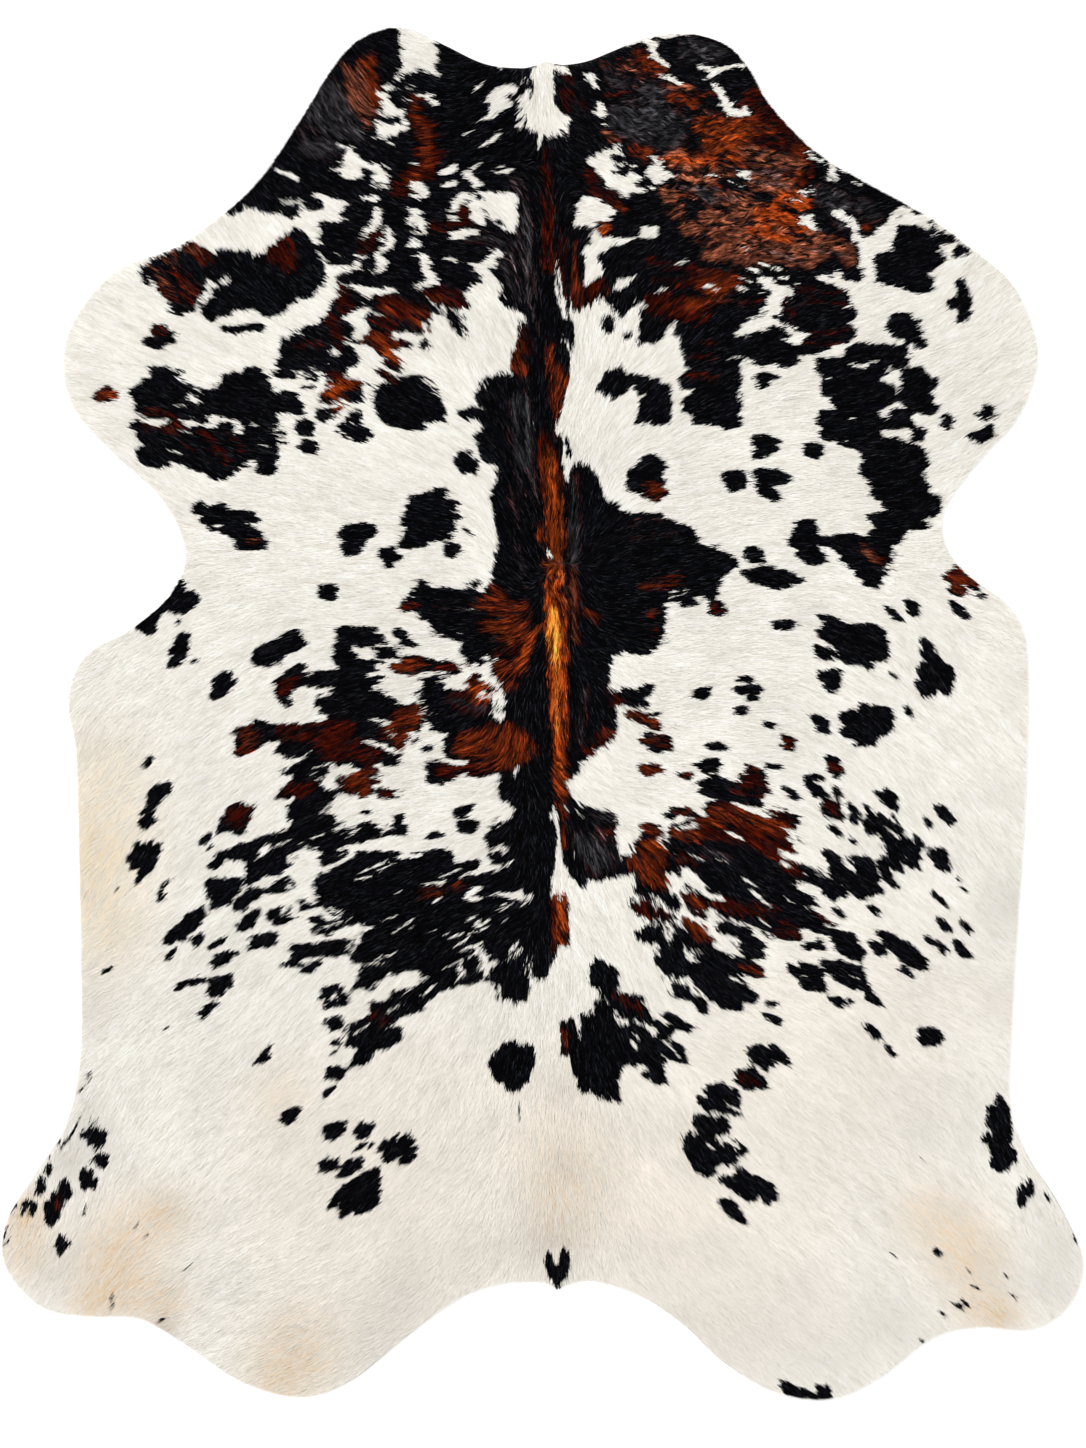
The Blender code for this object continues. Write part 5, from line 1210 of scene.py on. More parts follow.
WHITE_STROKES = {
    "neck, left of the blaze": strokes(
        (412, 30, 420, 60, 13, 18), (425, 40, 430, 60, 12, 10), (432, 68, 438, 74, 6, 3),
        (404, 68, 396, 78, 5, 2), (415, 66, 408, 70, 8, 5), (384, 87, 391, 85, 2.5, 4),
        (399, 91, 413, 85, 1.2, 2), (377, 95, 386, 96, 2, 4), (386, 97, 391, 110, 4, 6),
        (392, 112, 404, 112, 6, 4), (404, 114, 407, 126, 3, 4), (384, 131, 404, 127, 7, 4),
        (370, 138, 384, 133, 1.5, 6), (418, 96, 432, 95, 1.5, 2.5), (425, 98, 437, 104, 1.5, 3),
        (404, 101, 411, 100, 0.8, 1.2), (470, 93, 481, 83, 1.2, 1.8), (513, 88, 497, 94, 4, 7),
        (494, 98, 498, 106, 8), (500, 104, 508, 105, 8, 3), (492, 116, 478, 120, 4, 1.5),
        (510, 94, 524, 88, 2, 3), (346, 150, 352, 170, 7, 9), (340, 146, 348, 150, 2, 5),
        (357, 158, 370, 168, 8, 7), (378, 168, 382, 176, 7), (345, 174, 356, 175, 5),
        (330, 169, 345, 170, 1, 3), (372, 182, 386, 180, 2, 3), (370, 187, 385, 186, 1, 2),
        (388, 142, 395, 146, 1, 1.5), (362, 198, 375, 199, 1.5, 4), (378, 207, 376, 222, 4, 5),
        (374, 226, 360, 237, 5, 3), (385, 208, 379, 210, 1.5, 3), (386, 228, 392, 242, 2.5, 5),
        (390, 248, 378, 258, 6), (357, 256, 372, 259, 1.5, 4), (418, 187, 424, 193, 6),
        (410, 197, 420, 196, 2, 3), (406, 186, 414, 188, 1, 3), (405, 208, 418, 213, 3, 5),
        (416, 216, 423, 228, 6, 5), (412, 233, 424, 232, 1.5, 2), (409, 163, 416, 164, 1, 1.5),
        (406, 247, 415, 244, 1, 4), (416, 239, 417, 245, 2, 3), (440, 174, 455, 167, 2, 5),
        (443, 187, 456, 183, 1.5, 4), (466, 172, 478, 164, 3, 2.5), (468, 175, 480, 186, 4),
        (490, 200, 508, 202, 12), (500, 212, 508, 220, 14, 10), (512, 226, 512, 232, 6, 2),
        (480, 215, 482, 224, 6, 2), (465, 197, 455, 205, 4), (453, 207, 449, 216, 4, 3),
        (452, 234, 468, 234, 3), (498, 173, 510, 171, 1.5, 3), (500, 166, 504, 168, 1),
        (463, 136, 471, 132, 1, 1.5), (480, 146, 495, 138, 1.5, 2), (495, 140, 499, 130, 1.5, 1),
        (490, 69, 499, 67, 1, 1.5), (274, 170, 296, 178, 1, 3), (282, 204, 301, 200, 1, 2),
        (325, 200, 340, 206, 6, 8), (304, 215, 322, 214, 4, 8), (310, 225, 316, 243, 8, 3),
    ),
    "blaze": strokes(
        (543, 64, 540, 85, 8, 11), (539, 85, 540, 110, 12, 20), (528, 100, 530, 122, 8, 14),
        (545, 115, 548, 132, 16, 10), (521, 97, 528, 98, 2, 5), (539, 135, 538, 152, 5, 1),
        (530, 70, 528, 86, 3), (550, 66, 564, 69, 4, 3), (556, 118, 574, 121, 8, 2),
        (552, 125, 562, 134, 12, 4),
    ),
    "neck, right of the blaze": strokes(
        (586, 76, 594, 76, 2, 3), (591, 78, 594, 85, 4, 3), (594, 85, 597, 88, 3, 1.5),
        (600, 105, 602, 112, 4, 6), (593, 112, 600, 113, 1.5, 4), (603, 125, 608, 124, 1.5, 1),
        (616, 134, 620, 136, 1), (592, 162, 610, 160, 5, 11), (608, 165, 612, 180, 10, 9),
        (600, 155, 618, 150, 3, 6), (612, 158, 620, 164, 8, 5), (612, 178, 630, 180, 8),
        (620, 186, 640, 186, 8, 7), (640, 186, 652, 190, 7, 6), (626, 188, 627, 195, 5, 3),
        (634, 168, 638, 172, 4, 3), (633, 178, 637, 178, 5), (653, 170, 656, 165, 8, 4),
        (657, 158, 655, 156, 2, 1), (655, 172, 666, 176, 9, 5), (666, 176, 677, 176, 4, 1),
        (655, 178, 660, 183, 7, 3), (586, 202, 594, 203, 6), (584, 210, 600, 213, 8, 9),
        (600, 210, 614, 214, 8, 2), (577, 215, 580, 224, 3, 4), (586, 220, 592, 222, 6, 4),
        (592, 234, 590, 245, 3, 6), (586, 252, 600, 250, 5, 8), (600, 246, 618, 243, 7, 4),
        (618, 242, 633, 239, 3.5, 1.5), (644, 230, 656, 229, 6), (656, 234, 662, 236, 2.5, 1),
        (640, 236, 645, 236, 2), (649, 43, 656, 45, 3, 4), (652, 48, 654, 54, 4),
        (655, 57, 668, 66, 3, 2.5), (660, 75, 671, 78, 1.5, 3), (671, 79, 679, 84, 3, 2),
        (679, 84, 685, 83, 1.5, 1), (697, 67, 712, 69, 1.5, 2.5), (712, 73, 722, 69, 4, 3),
        (705, 80, 716, 73, 1.5, 3), (722, 70, 734, 66, 2.5, 1.5), (732, 65, 744, 66, 1.5, 2.5),
        (712, 84, 720, 92, 2, 5), (721, 94, 724, 102, 4), (726, 103, 734, 112, 5),
        (736, 114, 748, 112, 4, 5), (744, 107, 750, 108, 2, 1.5), (711, 175, 719, 178, 1.5, 1),
        (740, 174, 748, 174, 3, 3.5), (746, 178, 750, 180, 2, 1), (728, 181, 740, 187, 1),
    ),
    "right shoulder": strokes(
        (806, 151, 810, 152, 1, 1.5), (810, 152, 813, 158, 1.5), (813, 159, 822, 161, 1.5),
        (833, 168, 836, 180, 2, 3), (853, 182, 862, 187, 1.5), (798, 192, 812, 190, 2, 3),
        (812, 188, 818, 190, 3, 1.5), (800, 196, 813, 196, 1, 2), (802, 217, 810, 218, 2, 4),
        (806, 223, 812, 226, 4, 3), (812, 228, 820, 231, 2.5, 1), (836, 213, 842, 211, 3, 2),
        (842, 214, 856, 220, 4, 4.5), (852, 222, 858, 232, 4), (858, 238, 866, 242, 6, 8),
        (868, 250, 878, 245, 10, 12), (866, 262, 868, 275, 8, 10), (885, 225, 893, 215, 8, 6),
        (880, 232, 888, 225, 8), (899, 208, 905, 216, 4, 6), (905, 212, 922, 222, 6, 4),
        (818, 276, 832, 274, 2, 2.5), (832, 269, 838, 276, 2, 4), (820, 278, 845, 284, 2.5, 4),
        (592, 250, 588, 265, 8, 7), (584, 282, 592, 282, 3, 2.5), (616, 287, 622, 286, 2.5, 3),
        (620, 283, 634, 278, 4, 2), (657, 291, 667, 289, 1, 1.2), (677, 263, 687, 261, 1.2, 1),
        (704, 287, 712, 286, 2, 1.5), (736, 287, 750, 293, 1.2, 0.7), (743, 246, 750, 252, 1),
        (735, 277, 748, 281, 1, 0.8), (748, 269, 758, 270, 2), (756, 271, 764, 275, 3, 4),
        (752, 282, 770, 284, 4, 6), (766, 276, 780, 280, 3, 4), (762, 290, 778, 296, 5, 8),
        (770, 300, 775, 310, 8), (775, 318, 780, 322, 8, 10), (745, 327, 765, 325, 5, 8),
        (736, 333, 748, 330, 2, 5), (671, 329, 668, 345, 4, 10), (678, 340, 672, 352, 2, 7),
        (760, 264, 775, 268, 2, 1), (775, 268, 785, 272, 1.5, 1), (762, 282, 785, 280, 3, 4),
        (780, 286, 788, 296, 6),
    ),
    "right shoulder, lower patches": strokes(
        (784, 338, 806, 335, 6, 1.5), (790, 342, 800, 343, 4, 2), (862, 367, 872, 362, 2, 1.5),
        (850, 364, 862, 368, 1.5, 2), (872, 362, 880, 361, 1, 0.7), (884, 378, 892, 383, 3, 4),
        (892, 378, 898, 388, 5, 3), (890, 374, 896, 374, 3), (888, 408, 900, 403, 1.5, 1.2),
        (885, 434, 900, 434, 4, 3.5), (900, 436, 908, 440, 3, 2.5), (848, 419, 853, 418, 1, 1.2),
        (884, 420, 886, 421, 1), (625, 396, 636, 393, 1.5, 2), (640, 396, 650, 394, 1.5, 1),
    ),
    "body, upper half": strokes(
        (668, 598, 690, 592, 1, 0.8), (672, 592, 688, 589, 1, 0.7), (666, 605, 672, 602, 2, 1),
        (486, 653, 496, 660, 2, 2.5), (465, 668, 470, 672, 4, 5), (242, 464, 254, 463, 2, 3),
        (162, 445, 172, 452, 0.7), (172, 452, 180, 453, 0.8), (215, 526, 221, 526, 1.5),
        (828, 644, 834, 650, 1.5), (566, 460, 568, 480, 4, 1.5), (549, 553, 550, 559, 1.5),
        (634, 695, 642, 690, 0.7),
    ),
    "loin": strokes(
        (302, 692, 326, 690, 6, 3), (326, 690, 333, 688, 2, 1), (300, 705, 312, 710, 8),
        (300, 716, 322, 718, 8, 4), (322, 716, 328, 715, 2, 1), (378, 684, 395, 684, 4, 8),
        (390, 690, 405, 695, 6, 8), (400, 685, 414, 685, 12, 8), (405, 698, 414, 700, 6, 3),
        (258, 858, 272, 848, 1.5), (368, 741, 385, 747, 1.5, 3), (385, 748, 400, 753, 3, 2),
        (372, 719, 388, 723, 1, 2.5), (388, 731, 395, 736, 1), (300, 757, 312, 750, 1.5),
        (310, 768, 330, 763, 1), (422, 713, 436, 715, 1.2, 0.8), (448, 684, 465, 686, 5, 4),
        (482, 692, 500, 692, 1.5, 4), (498, 696, 502, 703, 5, 4.5), (494, 712, 501, 715, 3, 4.5),
        (494, 718, 503, 719, 1, 2), (440, 757, 452, 762, 2, 4), (452, 762, 465, 763, 3.5, 3),
        (302, 842, 324, 834, 1.5, 1), (363, 872, 385, 862, 1.2, 1.8), (380, 869, 394, 864, 1, 1.2),
        (358, 879, 370, 876, 1, 1.8), (425, 884, 445, 882, 1.5, 2.5), (440, 877, 460, 869, 1.5, 1),
        (455, 870, 462, 868, 1, 0.8), (490, 866, 478, 872, 5, 3), (478, 872, 462, 876, 3, 1),
        (495, 866, 508, 864, 1.5), (508, 864, 516, 860, 1.5, 1), (464, 899, 478, 888, 2, 3.5),
        (470, 900, 479, 898, 3, 2.5), (488, 896, 500, 893, 0.8, 1.5), (500, 894, 520, 894, 2, 4),
        (510, 898, 530, 898, 2, 3), (505, 903, 500, 910, 1.5, 0.8), (396, 893, 408, 889, 0.8, 0.6),
        (434, 902, 442, 897, 1.5), (345, 765, 356, 766, 3, 1.5), (330, 772, 345, 770, 4, 5),
        (322, 782, 335, 778, 2, 4), (345, 833, 355, 831, 2), (460, 854, 480, 852, 6, 8),
        (659, 837, 664, 846, 1.5, 2), (680, 875, 690, 872, 5), (690, 880, 705, 888, 6, 4),
        (705, 890, 722, 898, 4, 2), (675, 886, 682, 890, 3), (688, 854, 702, 859, 0.8, 1.5),
        (717, 859, 727, 862, 1), (730, 833, 738, 837, 2, 2.5), (738, 837, 744, 839, 2, 0.8),
        (745, 880, 755, 885, 1.5), (748, 890, 758, 896, 1.2, 2), (758, 896, 772, 908, 2, 1),
        (732, 802, 745, 808, 1.5, 3), (745, 808, 762, 812, 3, 4), (762, 814, 772, 818, 3, 1),
        (676, 818, 690, 823, 1.5, 2), (800, 888, 815, 890, 3, 4),
    ),
    "rump": strokes(
        (317, 930, 342, 921, 1), (362, 964, 385, 962, 1, 1.2), (376, 959, 395, 953, 1, 1.5),
        (380, 921, 397, 915, 0.8, 1.2), (392, 934, 412, 920, 1, 1.5), (410, 928, 416, 926, 0.8),
        (422, 995, 432, 988, 1.5, 2), (428, 990, 437, 983, 1), (404, 995, 410, 988, 0.8),
        (388, 1010, 404, 1004, 1.5, 1), (355, 1033, 367, 1026, 1), (385, 1030, 398, 1022, 0.8, 1.2),
        (462, 950, 480, 945, 1.5, 3), (478, 948, 487, 962, 3, 4), (470, 955, 480, 952, 1, 2),
        (488, 965, 499, 962, 4, 1), (478, 968, 487, 970, 2, 5), (444, 968, 462, 961, 1, 1.5),
        (460, 963, 462, 975, 2.5, 3), (455, 982, 462, 975, 1, 2), (456, 946, 468, 938, 1, 2),
        (450, 938, 463, 933, 0.8, 1), (438, 938, 450, 932, 0.7, 1), (431, 932, 440, 928, 0.8),
        (466, 924, 475, 915, 1), (472, 932, 480, 920, 1, 2), (478, 928, 486, 922, 1, 2),
        (474, 933, 486, 928, 0.8, 1.2), (500, 913, 512, 903, 1.5, 1), (504, 921, 511, 915, 0.8, 1),
        (521, 907, 530, 900, 1), (510, 950, 518, 944, 2, 1.5), (503, 960, 520, 950, 0.8, 1.2),
        (512, 958, 522, 950, 1), (521, 968, 528, 956, 0.8), (525, 972, 532, 960, 0.8),
        (528, 978, 533, 965, 1), (530, 984, 533, 972, 1, 0.8), (366, 991, 372, 986, 1),
        (686, 952, 700, 958, 2, 2.5), (692, 960, 700, 962, 1.5, 1), (579, 1020, 580, 1032, 2, 1),
        (618, 1018, 625, 1022, 3), (648, 1030, 655, 1034, 1.5, 1), (632, 1042, 636, 1048, 2.5, 2),
        (634, 1034, 638, 1036, 1.5), (667, 1048, 676, 1055, 1.5),
    ),
    "legs": strokes(
        (149, 336, 153, 334, 1.2, 1), (708, 1145, 718, 1153, 1.2, 1),
    ),
    "left foreleg, lower patch": strokes(
        (167, 449, 180, 453, 0.8, 1.2), (184, 432, 190, 433, 1, 1.5), (263, 447, 268, 446, 0.8),
        (265, 424, 276, 432, 0.6, 0.8), (176, 406, 186, 405, 0.8, 1), (248, 426, 257, 425, 0.8, 1),
        (241, 461, 253, 463, 2, 3), (234, 427, 240, 428, 3), (155, 425, 166, 424, 0.8, 1),
    ),
    "left shoulder, lower patches": strokes(
        (352, 322, 362, 324, 8, 6), (356, 312, 370, 309, 4), (360, 330, 366, 332, 6, 4),
        (356, 337, 362, 338, 3, 2), (323, 350, 334, 351, 1.2, 3.5), (334, 352, 340, 357, 3.5, 1),
        (296, 371, 304, 374, 1.5, 2), (308, 369, 318, 374, 1, 2), (414, 256, 424, 256, 1, 3),
        (424, 258, 429, 263, 4, 3), (424, 270, 431, 278, 3, 6), (430, 282, 437, 283, 4, 2),
        (414, 288, 427, 284, 1.5, 3), (447, 259, 455, 261, 2, 2.5), (466, 263, 478, 266, 1, 3),
        (480, 268, 490, 262, 6, 7), (486, 261, 499, 255, 5, 4), (487, 248, 492, 254, 1.5, 4),
        (497, 247, 501, 252, 1.5, 4), (484, 280, 492, 288, 4, 9), (490, 276, 495, 288, 3, 8),
        (427, 298, 445, 316, 0.8, 1.2), (436, 302, 446, 308, 0.8, 1), (517, 312, 524, 321, 3, 2.5),
        (556, 263, 565, 312, 0.8, 2), (566, 300, 572, 318, 1.5, 3), (561, 338, 567, 346, 0.7, 1),
        (567, 346, 572, 358, 1, 2), (376, 378, 388, 384, 1.5, 1),
    ),
    "shoulders and forelegs, details": strokes(
        (462, 196, 457, 206, 5, 4), (456, 206, 450, 217, 4, 3), (476, 194, 478, 220, 5),
        (452, 230, 474, 232, 4), (451, 238, 462, 238, 3, 2), (512, 212, 517, 214, 4, 2),
        (490, 221, 512, 228, 3, 4), (469, 296, 480, 288, 5, 6), (552, 263, 559, 298, 0.5, 1.4),
        (559, 298, 565, 316, 1.4, 3), (577, 214, 576, 226, 2.5, 2), (596, 165, 606, 188, 3.5),
        (650, 157, 656, 160, 1.5, 2.5), (582, 224, 598, 226, 3), (608, 208, 617, 214, 3, 1.5),
        (599, 238, 626, 238, 3, 2), (642, 237, 657, 237, 1.8), (618, 288, 628, 284, 2),
        (831, 166, 829, 180, 2, 3), (786, 199, 800, 201, 0.6, 1.2), (806, 222, 818, 230, 4, 1.5),
        (835, 217, 852, 224, 3, 4), (855, 228, 858, 262, 3, 4), (895, 221, 893, 248, 4),
        (899, 222, 918, 224, 4), (845, 290, 853, 300, 3, 4), (795, 331, 802, 345, 4, 5),
        (851, 341, 900, 342, 1.8, 2.8), (899, 371, 899, 388, 2), (928, 371, 933, 376, 2),
        (935, 391, 936, 402, 3), (818, 407, 832, 407, 2.5, 3.5), (910, 346, 909, 356, 3, 2.5),
        (574, 384, 568, 420, 6, 9), (602, 298, 600, 292, 3, 2), (636, 304, 645, 308, 3.5, 2),
        (681, 357, 684, 370, 3.5), (629, 371, 656, 373, 3.5, 3), (634, 402, 633, 420, 3.5, 3),
        (726, 359, 742, 358, 0.8, 1.6), (737, 396, 740, 402, 2, 1), (611, 499, 630, 506, 3, 5.5),
        (738, 285, 747, 291, 2, 1.5), (712, 286, 717, 290, 1.5, 1), (549, 550, 549, 558, 1.3, 1.8),
    ),
    "left flank and loin, details": strokes(
        (198, 473, 207, 475, 1.5, 2), (282, 445, 281, 470, 2.5, 3), (400, 508, 408, 496, 2, 2.5),
        (408, 496, 424, 489, 2.5, 2), (460, 505, 452, 506, 1.4, 0.3), (460, 513, 453, 514, 1.4, 0.3),
        (399, 527, 408, 529, 3, 1.2), (453, 458, 455, 468, 1.5, 2), (429, 584, 438, 587, 2),
        (354, 648, 364, 657, 3), (282, 662, 290, 655, 2), (370, 675, 381, 674, 2.5, 4),
        (378, 686, 390, 692, 2, 3.5), (272, 722, 300, 721, 2), (413, 733, 404, 758, 2.5, 3.5),
        (379, 768, 375, 788, 5, 4.5), (374, 824, 386, 829, 3, 3.5), (343, 846, 342, 856, 3, 2),
        (326, 870, 352, 855, 2, 3), (398, 857, 420, 855, 2.5), (448, 849, 457, 856, 2, 3),
        (505, 804, 513, 811, 3, 2.5), (506, 817, 497, 824, 3.5, 4),
    ),
    "spine and rump": strokes(
        (554, 808, 551, 820, 0.8, 3.2), (558, 840, 560, 860, 2.2, 4), (566, 884, 575, 892, 9, 8),
        (552, 880, 551, 888, 2), (564, 447, 564, 457, 1.5, 1.6), (565, 468, 566, 482, 1.5, 0.8),
        (586, 464, 594, 467, 2),
    ),
    "right flank and loin, details": strokes(
        (622, 507, 638, 511, 3), (700, 541, 711, 546, 2.5), (614, 666, 615, 692, 4, 6),
        (722, 470, 734, 468, 2), (772, 466, 790, 472, 2.5, 3), (626, 493, 640, 495, 2.5, 1.5),
        (794, 519, 800, 518, 3), (789, 530, 789, 537, 2, 3), (872, 510, 883, 510, 3.5, 2),
        (911, 534, 902, 546, 4.5, 4), (896, 547, 893, 556, 2.5), (898, 562, 889, 567, 4, 3),
        (852, 572, 857, 583, 3, 3.5), (829, 550, 838, 557, 2, 2.5), (842, 619, 879, 621, 2.5, 3),
        (620, 738, 584, 766, 3.5, 4), (569, 783, 579, 806, 4, 2.5), (617, 837, 624, 857, 3, 5),
        (628, 706, 640, 705, 3, 2.5), (768, 796, 765, 806, 3, 3.5), (660, 828, 694, 825, 2.5, 3),
        (664, 826, 667, 847, 3.5, 2.5), (669, 873, 677, 885, 4.5, 5.5), (618, 877, 634, 874, 2, 2.5),
        (796, 884, 823, 897, 2, 3.5), (924, 850, 922, 865, 2.5, 3.5), (882, 842, 884, 851, 2, 2.5),
        (652, 921, 669, 921, 1.5, 2.2), (690, 980, 713, 1000, 3, 3.5), (722, 955, 746, 962, 1.5, 2.8),
        (667, 1066, 668, 1075, 2.5, 3.5), (623, 1072, 622, 1096, 3.5), (815, 908, 835, 921, 2.5, 3.5),
        (806, 934, 813, 938, 6, 4), (846, 961, 858, 963, 2, 2.2), (702, 1112, 730, 1116, 1.5, 2.2),
        (734, 1116, 734, 1125, 3.5), (724, 1141, 738, 1145, 1.5, 2.5),
    ),
    "left rump, details": strokes(
        (286, 946, 287, 957, 3.5), (446, 991, 489, 984, 2.8, 3.2), (341, 1185, 360, 1171, 2, 2.8),
        (383, 1182, 383, 1199, 2),
    ),
    "neck edges": strokes(
        (760, 308, 758, 315, 3, 2), (846, 307, 856, 305, 1.5), (596, 233, 597, 239, 2, 3),
        (551, 72, 552, 92, 3), (519, 95, 517, 110, 2), (382, 102, 384, 112, 2, 2.5),
        (376, 124, 380, 130, 2), (373, 177, 375, 179, 2), (303, 205, 304, 211, 2),
        (381, 240, 379, 247, 2), (409, 214, 411, 224, 2.5, 3), (446, 174, 454, 172, 2),
        (470, 198, 473, 218, 2.5), (452, 214, 454, 221, 2, 1.5),
    ),
    "patches, fine details": strokes(
        (151, 283, 154, 288, 2, 4), (146, 275, 151, 280, 0.7),
    ),
    "right loin, fine details": strokes(
        (806, 822, 812, 856, 8, 9), (800, 868, 816, 874, 4), (784, 853, 798, 858, 2.5, 4),
        (796, 839, 798, 846, 3, 4), (768, 804, 782, 806, 2), (650, 899, 662, 903, 3, 4),
        (706, 909, 715, 912, 3), (757, 922, 772, 938, 1.5, 2), (824, 870, 828, 872, 2),
    ),
    "right rump, fine details": strokes(
        (793, 824, 797, 848, 2, 3.5), (784, 854, 800, 861, 2.5, 3),
    ),
    "left side, fine details": strokes(
        (330, 644, 331, 654, 2.5), (373, 650, 374, 655, 2), (398, 647, 400, 655, 2),
        (425, 676, 438, 673, 2.5, 1.5), (318, 698, 330, 693, 1.5), (373, 688, 382, 693, 1.5),
        (417, 695, 420, 703, 2), (292, 762, 304, 759, 2, 1.5), (396, 788, 400, 795, 2),
        (429, 759, 435, 762, 2, 1.5), (290, 857, 296, 862, 3), (500, 774, 500, 796, 1.2),
        (357, 933, 357, 943, 3.5, 3), (349, 945, 353, 950, 2, 2.5), (324, 959, 346, 955, 1.8),
        (303, 961, 304, 965, 2), (346, 988, 350, 993, 2.5, 2), (393, 989, 418, 984, 2),
        (422, 977, 425, 979, 3), (371, 1000, 388, 999, 2.5, 1.5), (405, 1018, 423, 1014, 2.5, 3.5),
        (347, 1024, 346, 1040, 2), (348, 1048, 356, 1049, 2, 1.5), (499, 985, 501, 998, 1.5, 2),
        (288, 884, 293, 892, 2), (296, 900, 298, 906, 2), (325, 917, 327, 921, 2),
        (285, 905, 286, 911, 2), (330, 908, 342, 914, 2, 1.5), (156, 254, 186, 244, 2.5, 2),
        (207, 280, 207, 288, 1.5, 2), (168, 306, 172, 312, 2, 1.5), (272, 379, 278, 390, 3),
        (280, 388, 298, 392, 1.5), (190, 398, 200, 401, 3, 1.5), (214, 386, 219, 380, 1.5),
        (278, 428, 279, 440, 1.5), (402, 530, 402, 535, 2), (414, 612, 424, 618, 2),
        (424, 622, 436, 631, 2.5),
    ),
    "middle, fine details": strokes(
        (627, 708, 634, 708, 2), (640, 711, 650, 711, 1.5), (555, 812, 559, 838, 1.5),
        (582, 802, 608, 808, 1.5), (667, 612, 667, 632, 1.5), (666, 634, 663, 646, 2.5),
        (738, 571, 741, 574, 2), (744, 566, 760, 564, 1.5), (782, 567, 800, 576, 1.2),
        (842, 711, 858, 708, 1.5), (887, 628, 890, 645, 1.5), (950, 661, 954, 668, 1.5),
        (916, 668, 920, 661, 1.5),
    ),
    "neck tuft": strokes(
        (528, 76, 516, 94, 2.5, 1.5), (554, 71, 568, 72, 2), (572, 122, 563, 128, 2, 3),
        (565, 128, 566, 140, 3, 1.5), (553, 138, 566, 141, 1.5, 1), (505, 99, 511, 105, 2.5),
        (522, 109, 516, 114, 1),
    ),
    "left shoulder, edges": strokes(
        (383, 228, 384, 242, 1.5, 2), (378, 267, 384, 262, 4.5, 4), (370, 273, 380, 271, 1.5, 2),
        (341, 273, 350, 271, 2.5, 1.5), (352, 269, 362, 269, 1.5), (340, 289, 336, 296, 2),
        (347, 288, 356, 290, 1, 1.5), (329, 308, 324, 318, 1.5), (424, 322, 427, 335, 1.5, 2.5),
        (421, 262, 421, 282, 1.5), (292, 336, 300, 329, 1.5), (344, 343, 352, 345, 1),
        (355, 348, 360, 357, 2), (362, 381, 370, 381, 2, 2.5), (369, 388, 372, 394, 3.5, 2.5),
        (340, 400, 352, 405, 2), (318, 408, 336, 405, 2, 1.5), (346, 412, 336, 422, 3, 3.5),
        (334, 426, 338, 436, 3.5, 2.5), (348, 411, 356, 411, 1.5), (372, 440, 366, 444, 2.5, 2),
        (306, 404, 306, 412, 2), (317, 423, 316, 435, 2), (270, 382, 276, 391, 2),
        (404, 358, 402, 366, 1.5), (402, 346, 412, 347, 1.5), (228, 250, 248, 250, 1),
        (252, 256, 266, 252, 2, 1.5), (268, 245, 274, 242, 2, 1.5), (287, 234, 291, 229, 1.5, 1),
        (319, 226, 320, 240, 1, 1.2), (386, 262, 384, 270, 1.5), (345, 378, 358, 380, 1.2, 1.5),
        (321, 390, 330, 386, 1.5, 2), (364, 384, 368, 402, 2, 3), (331, 401, 350, 408, 1.5),
        (379, 366, 397, 377, 1), (393, 351, 401, 356, 2, 2.5), (279, 418, 279, 432, 1.5),
        (314, 421, 314, 437, 1.2), (298, 437, 312, 438, 1.2), (341, 424, 348, 415, 2, 1.5),
        (340, 430, 350, 439, 1.5, 1), (425, 379, 436, 387, 1.5, 2), (440, 388, 442, 400, 1.5),
        (424, 382, 430, 386, 1.2), (443, 401, 445, 409, 1.5, 1.2), (436, 392, 438, 396, 1),
        (462, 318, 466, 318, 2.5), (465, 331, 468, 331, 2.2), (457, 334, 462, 339, 1.2),
        (430, 343, 432, 342, 2.2), (431, 313, 430, 322, 1.2), (520, 320, 520, 338, 1.2, 1),
        (495, 374, 512, 373, 1), (505, 373, 512, 375, 1.2, 1), (511, 356, 514, 353, 1.2),
        (425, 424, 430, 428, 1.2, 1.5), (178, 378, 184, 383, 1.5), (149, 368, 151, 374, 1.2),
        (152, 367, 166, 366, 0.8), (168, 368, 171, 370, 1), (195, 388, 199, 391, 1.5),
        (188, 397, 190, 395, 1), (189, 401, 198, 403, 1), (136, 412, 143, 416, 1.2, 1),
        (112, 387, 116, 389, 1.2), (113, 400, 110, 399, 1.2), (200, 389, 216, 388, 1),
        (210, 414, 208, 420, 1),
    ),
    "right hip, edges": strokes(
        (752, 890, 770, 907, 1), (760, 919, 767, 925, 1.5, 1), (706, 914, 716, 916, 1.5),
        (714, 898, 724, 900, 1.2), (677, 892, 680, 899, 2), (702, 892, 708, 898, 1.5),
        (681, 900, 682, 908, 1.5), (666, 923, 674, 930, 2), (676, 922, 684, 928, 1),
        (686, 915, 700, 924, 1.2), (700, 924, 708, 933, 1.2), (716, 938, 716, 949, 1.5),
        (670, 930, 671, 938, 1.5), (665, 926, 665, 936, 1.5), (648, 924, 664, 923, 1),
        (658, 944, 659, 949, 1.5), (656, 952, 663, 956, 1.5, 1), (661, 973, 666, 977, 2),
        (667, 977, 688, 978, 1.2), (686, 949, 702, 952, 1.2), (686, 955, 692, 960, 2),
        (718, 950, 729, 953, 1.2), (750, 960, 756, 961, 1.5), (763, 964, 765, 974, 1.5),
        (730, 977, 742, 982, 2, 1.5), (691, 979, 706, 999, 1, 1.5), (670, 984, 671, 994, 1.5),
        (735, 941, 738, 948, 1.5), (652, 904, 661, 909, 1.2), (632, 842, 634, 850, 2.5, 2),
        (658, 842, 668, 850, 1.2, 0.8), (667, 884, 671, 888, 2), (655, 892, 662, 890, 1),
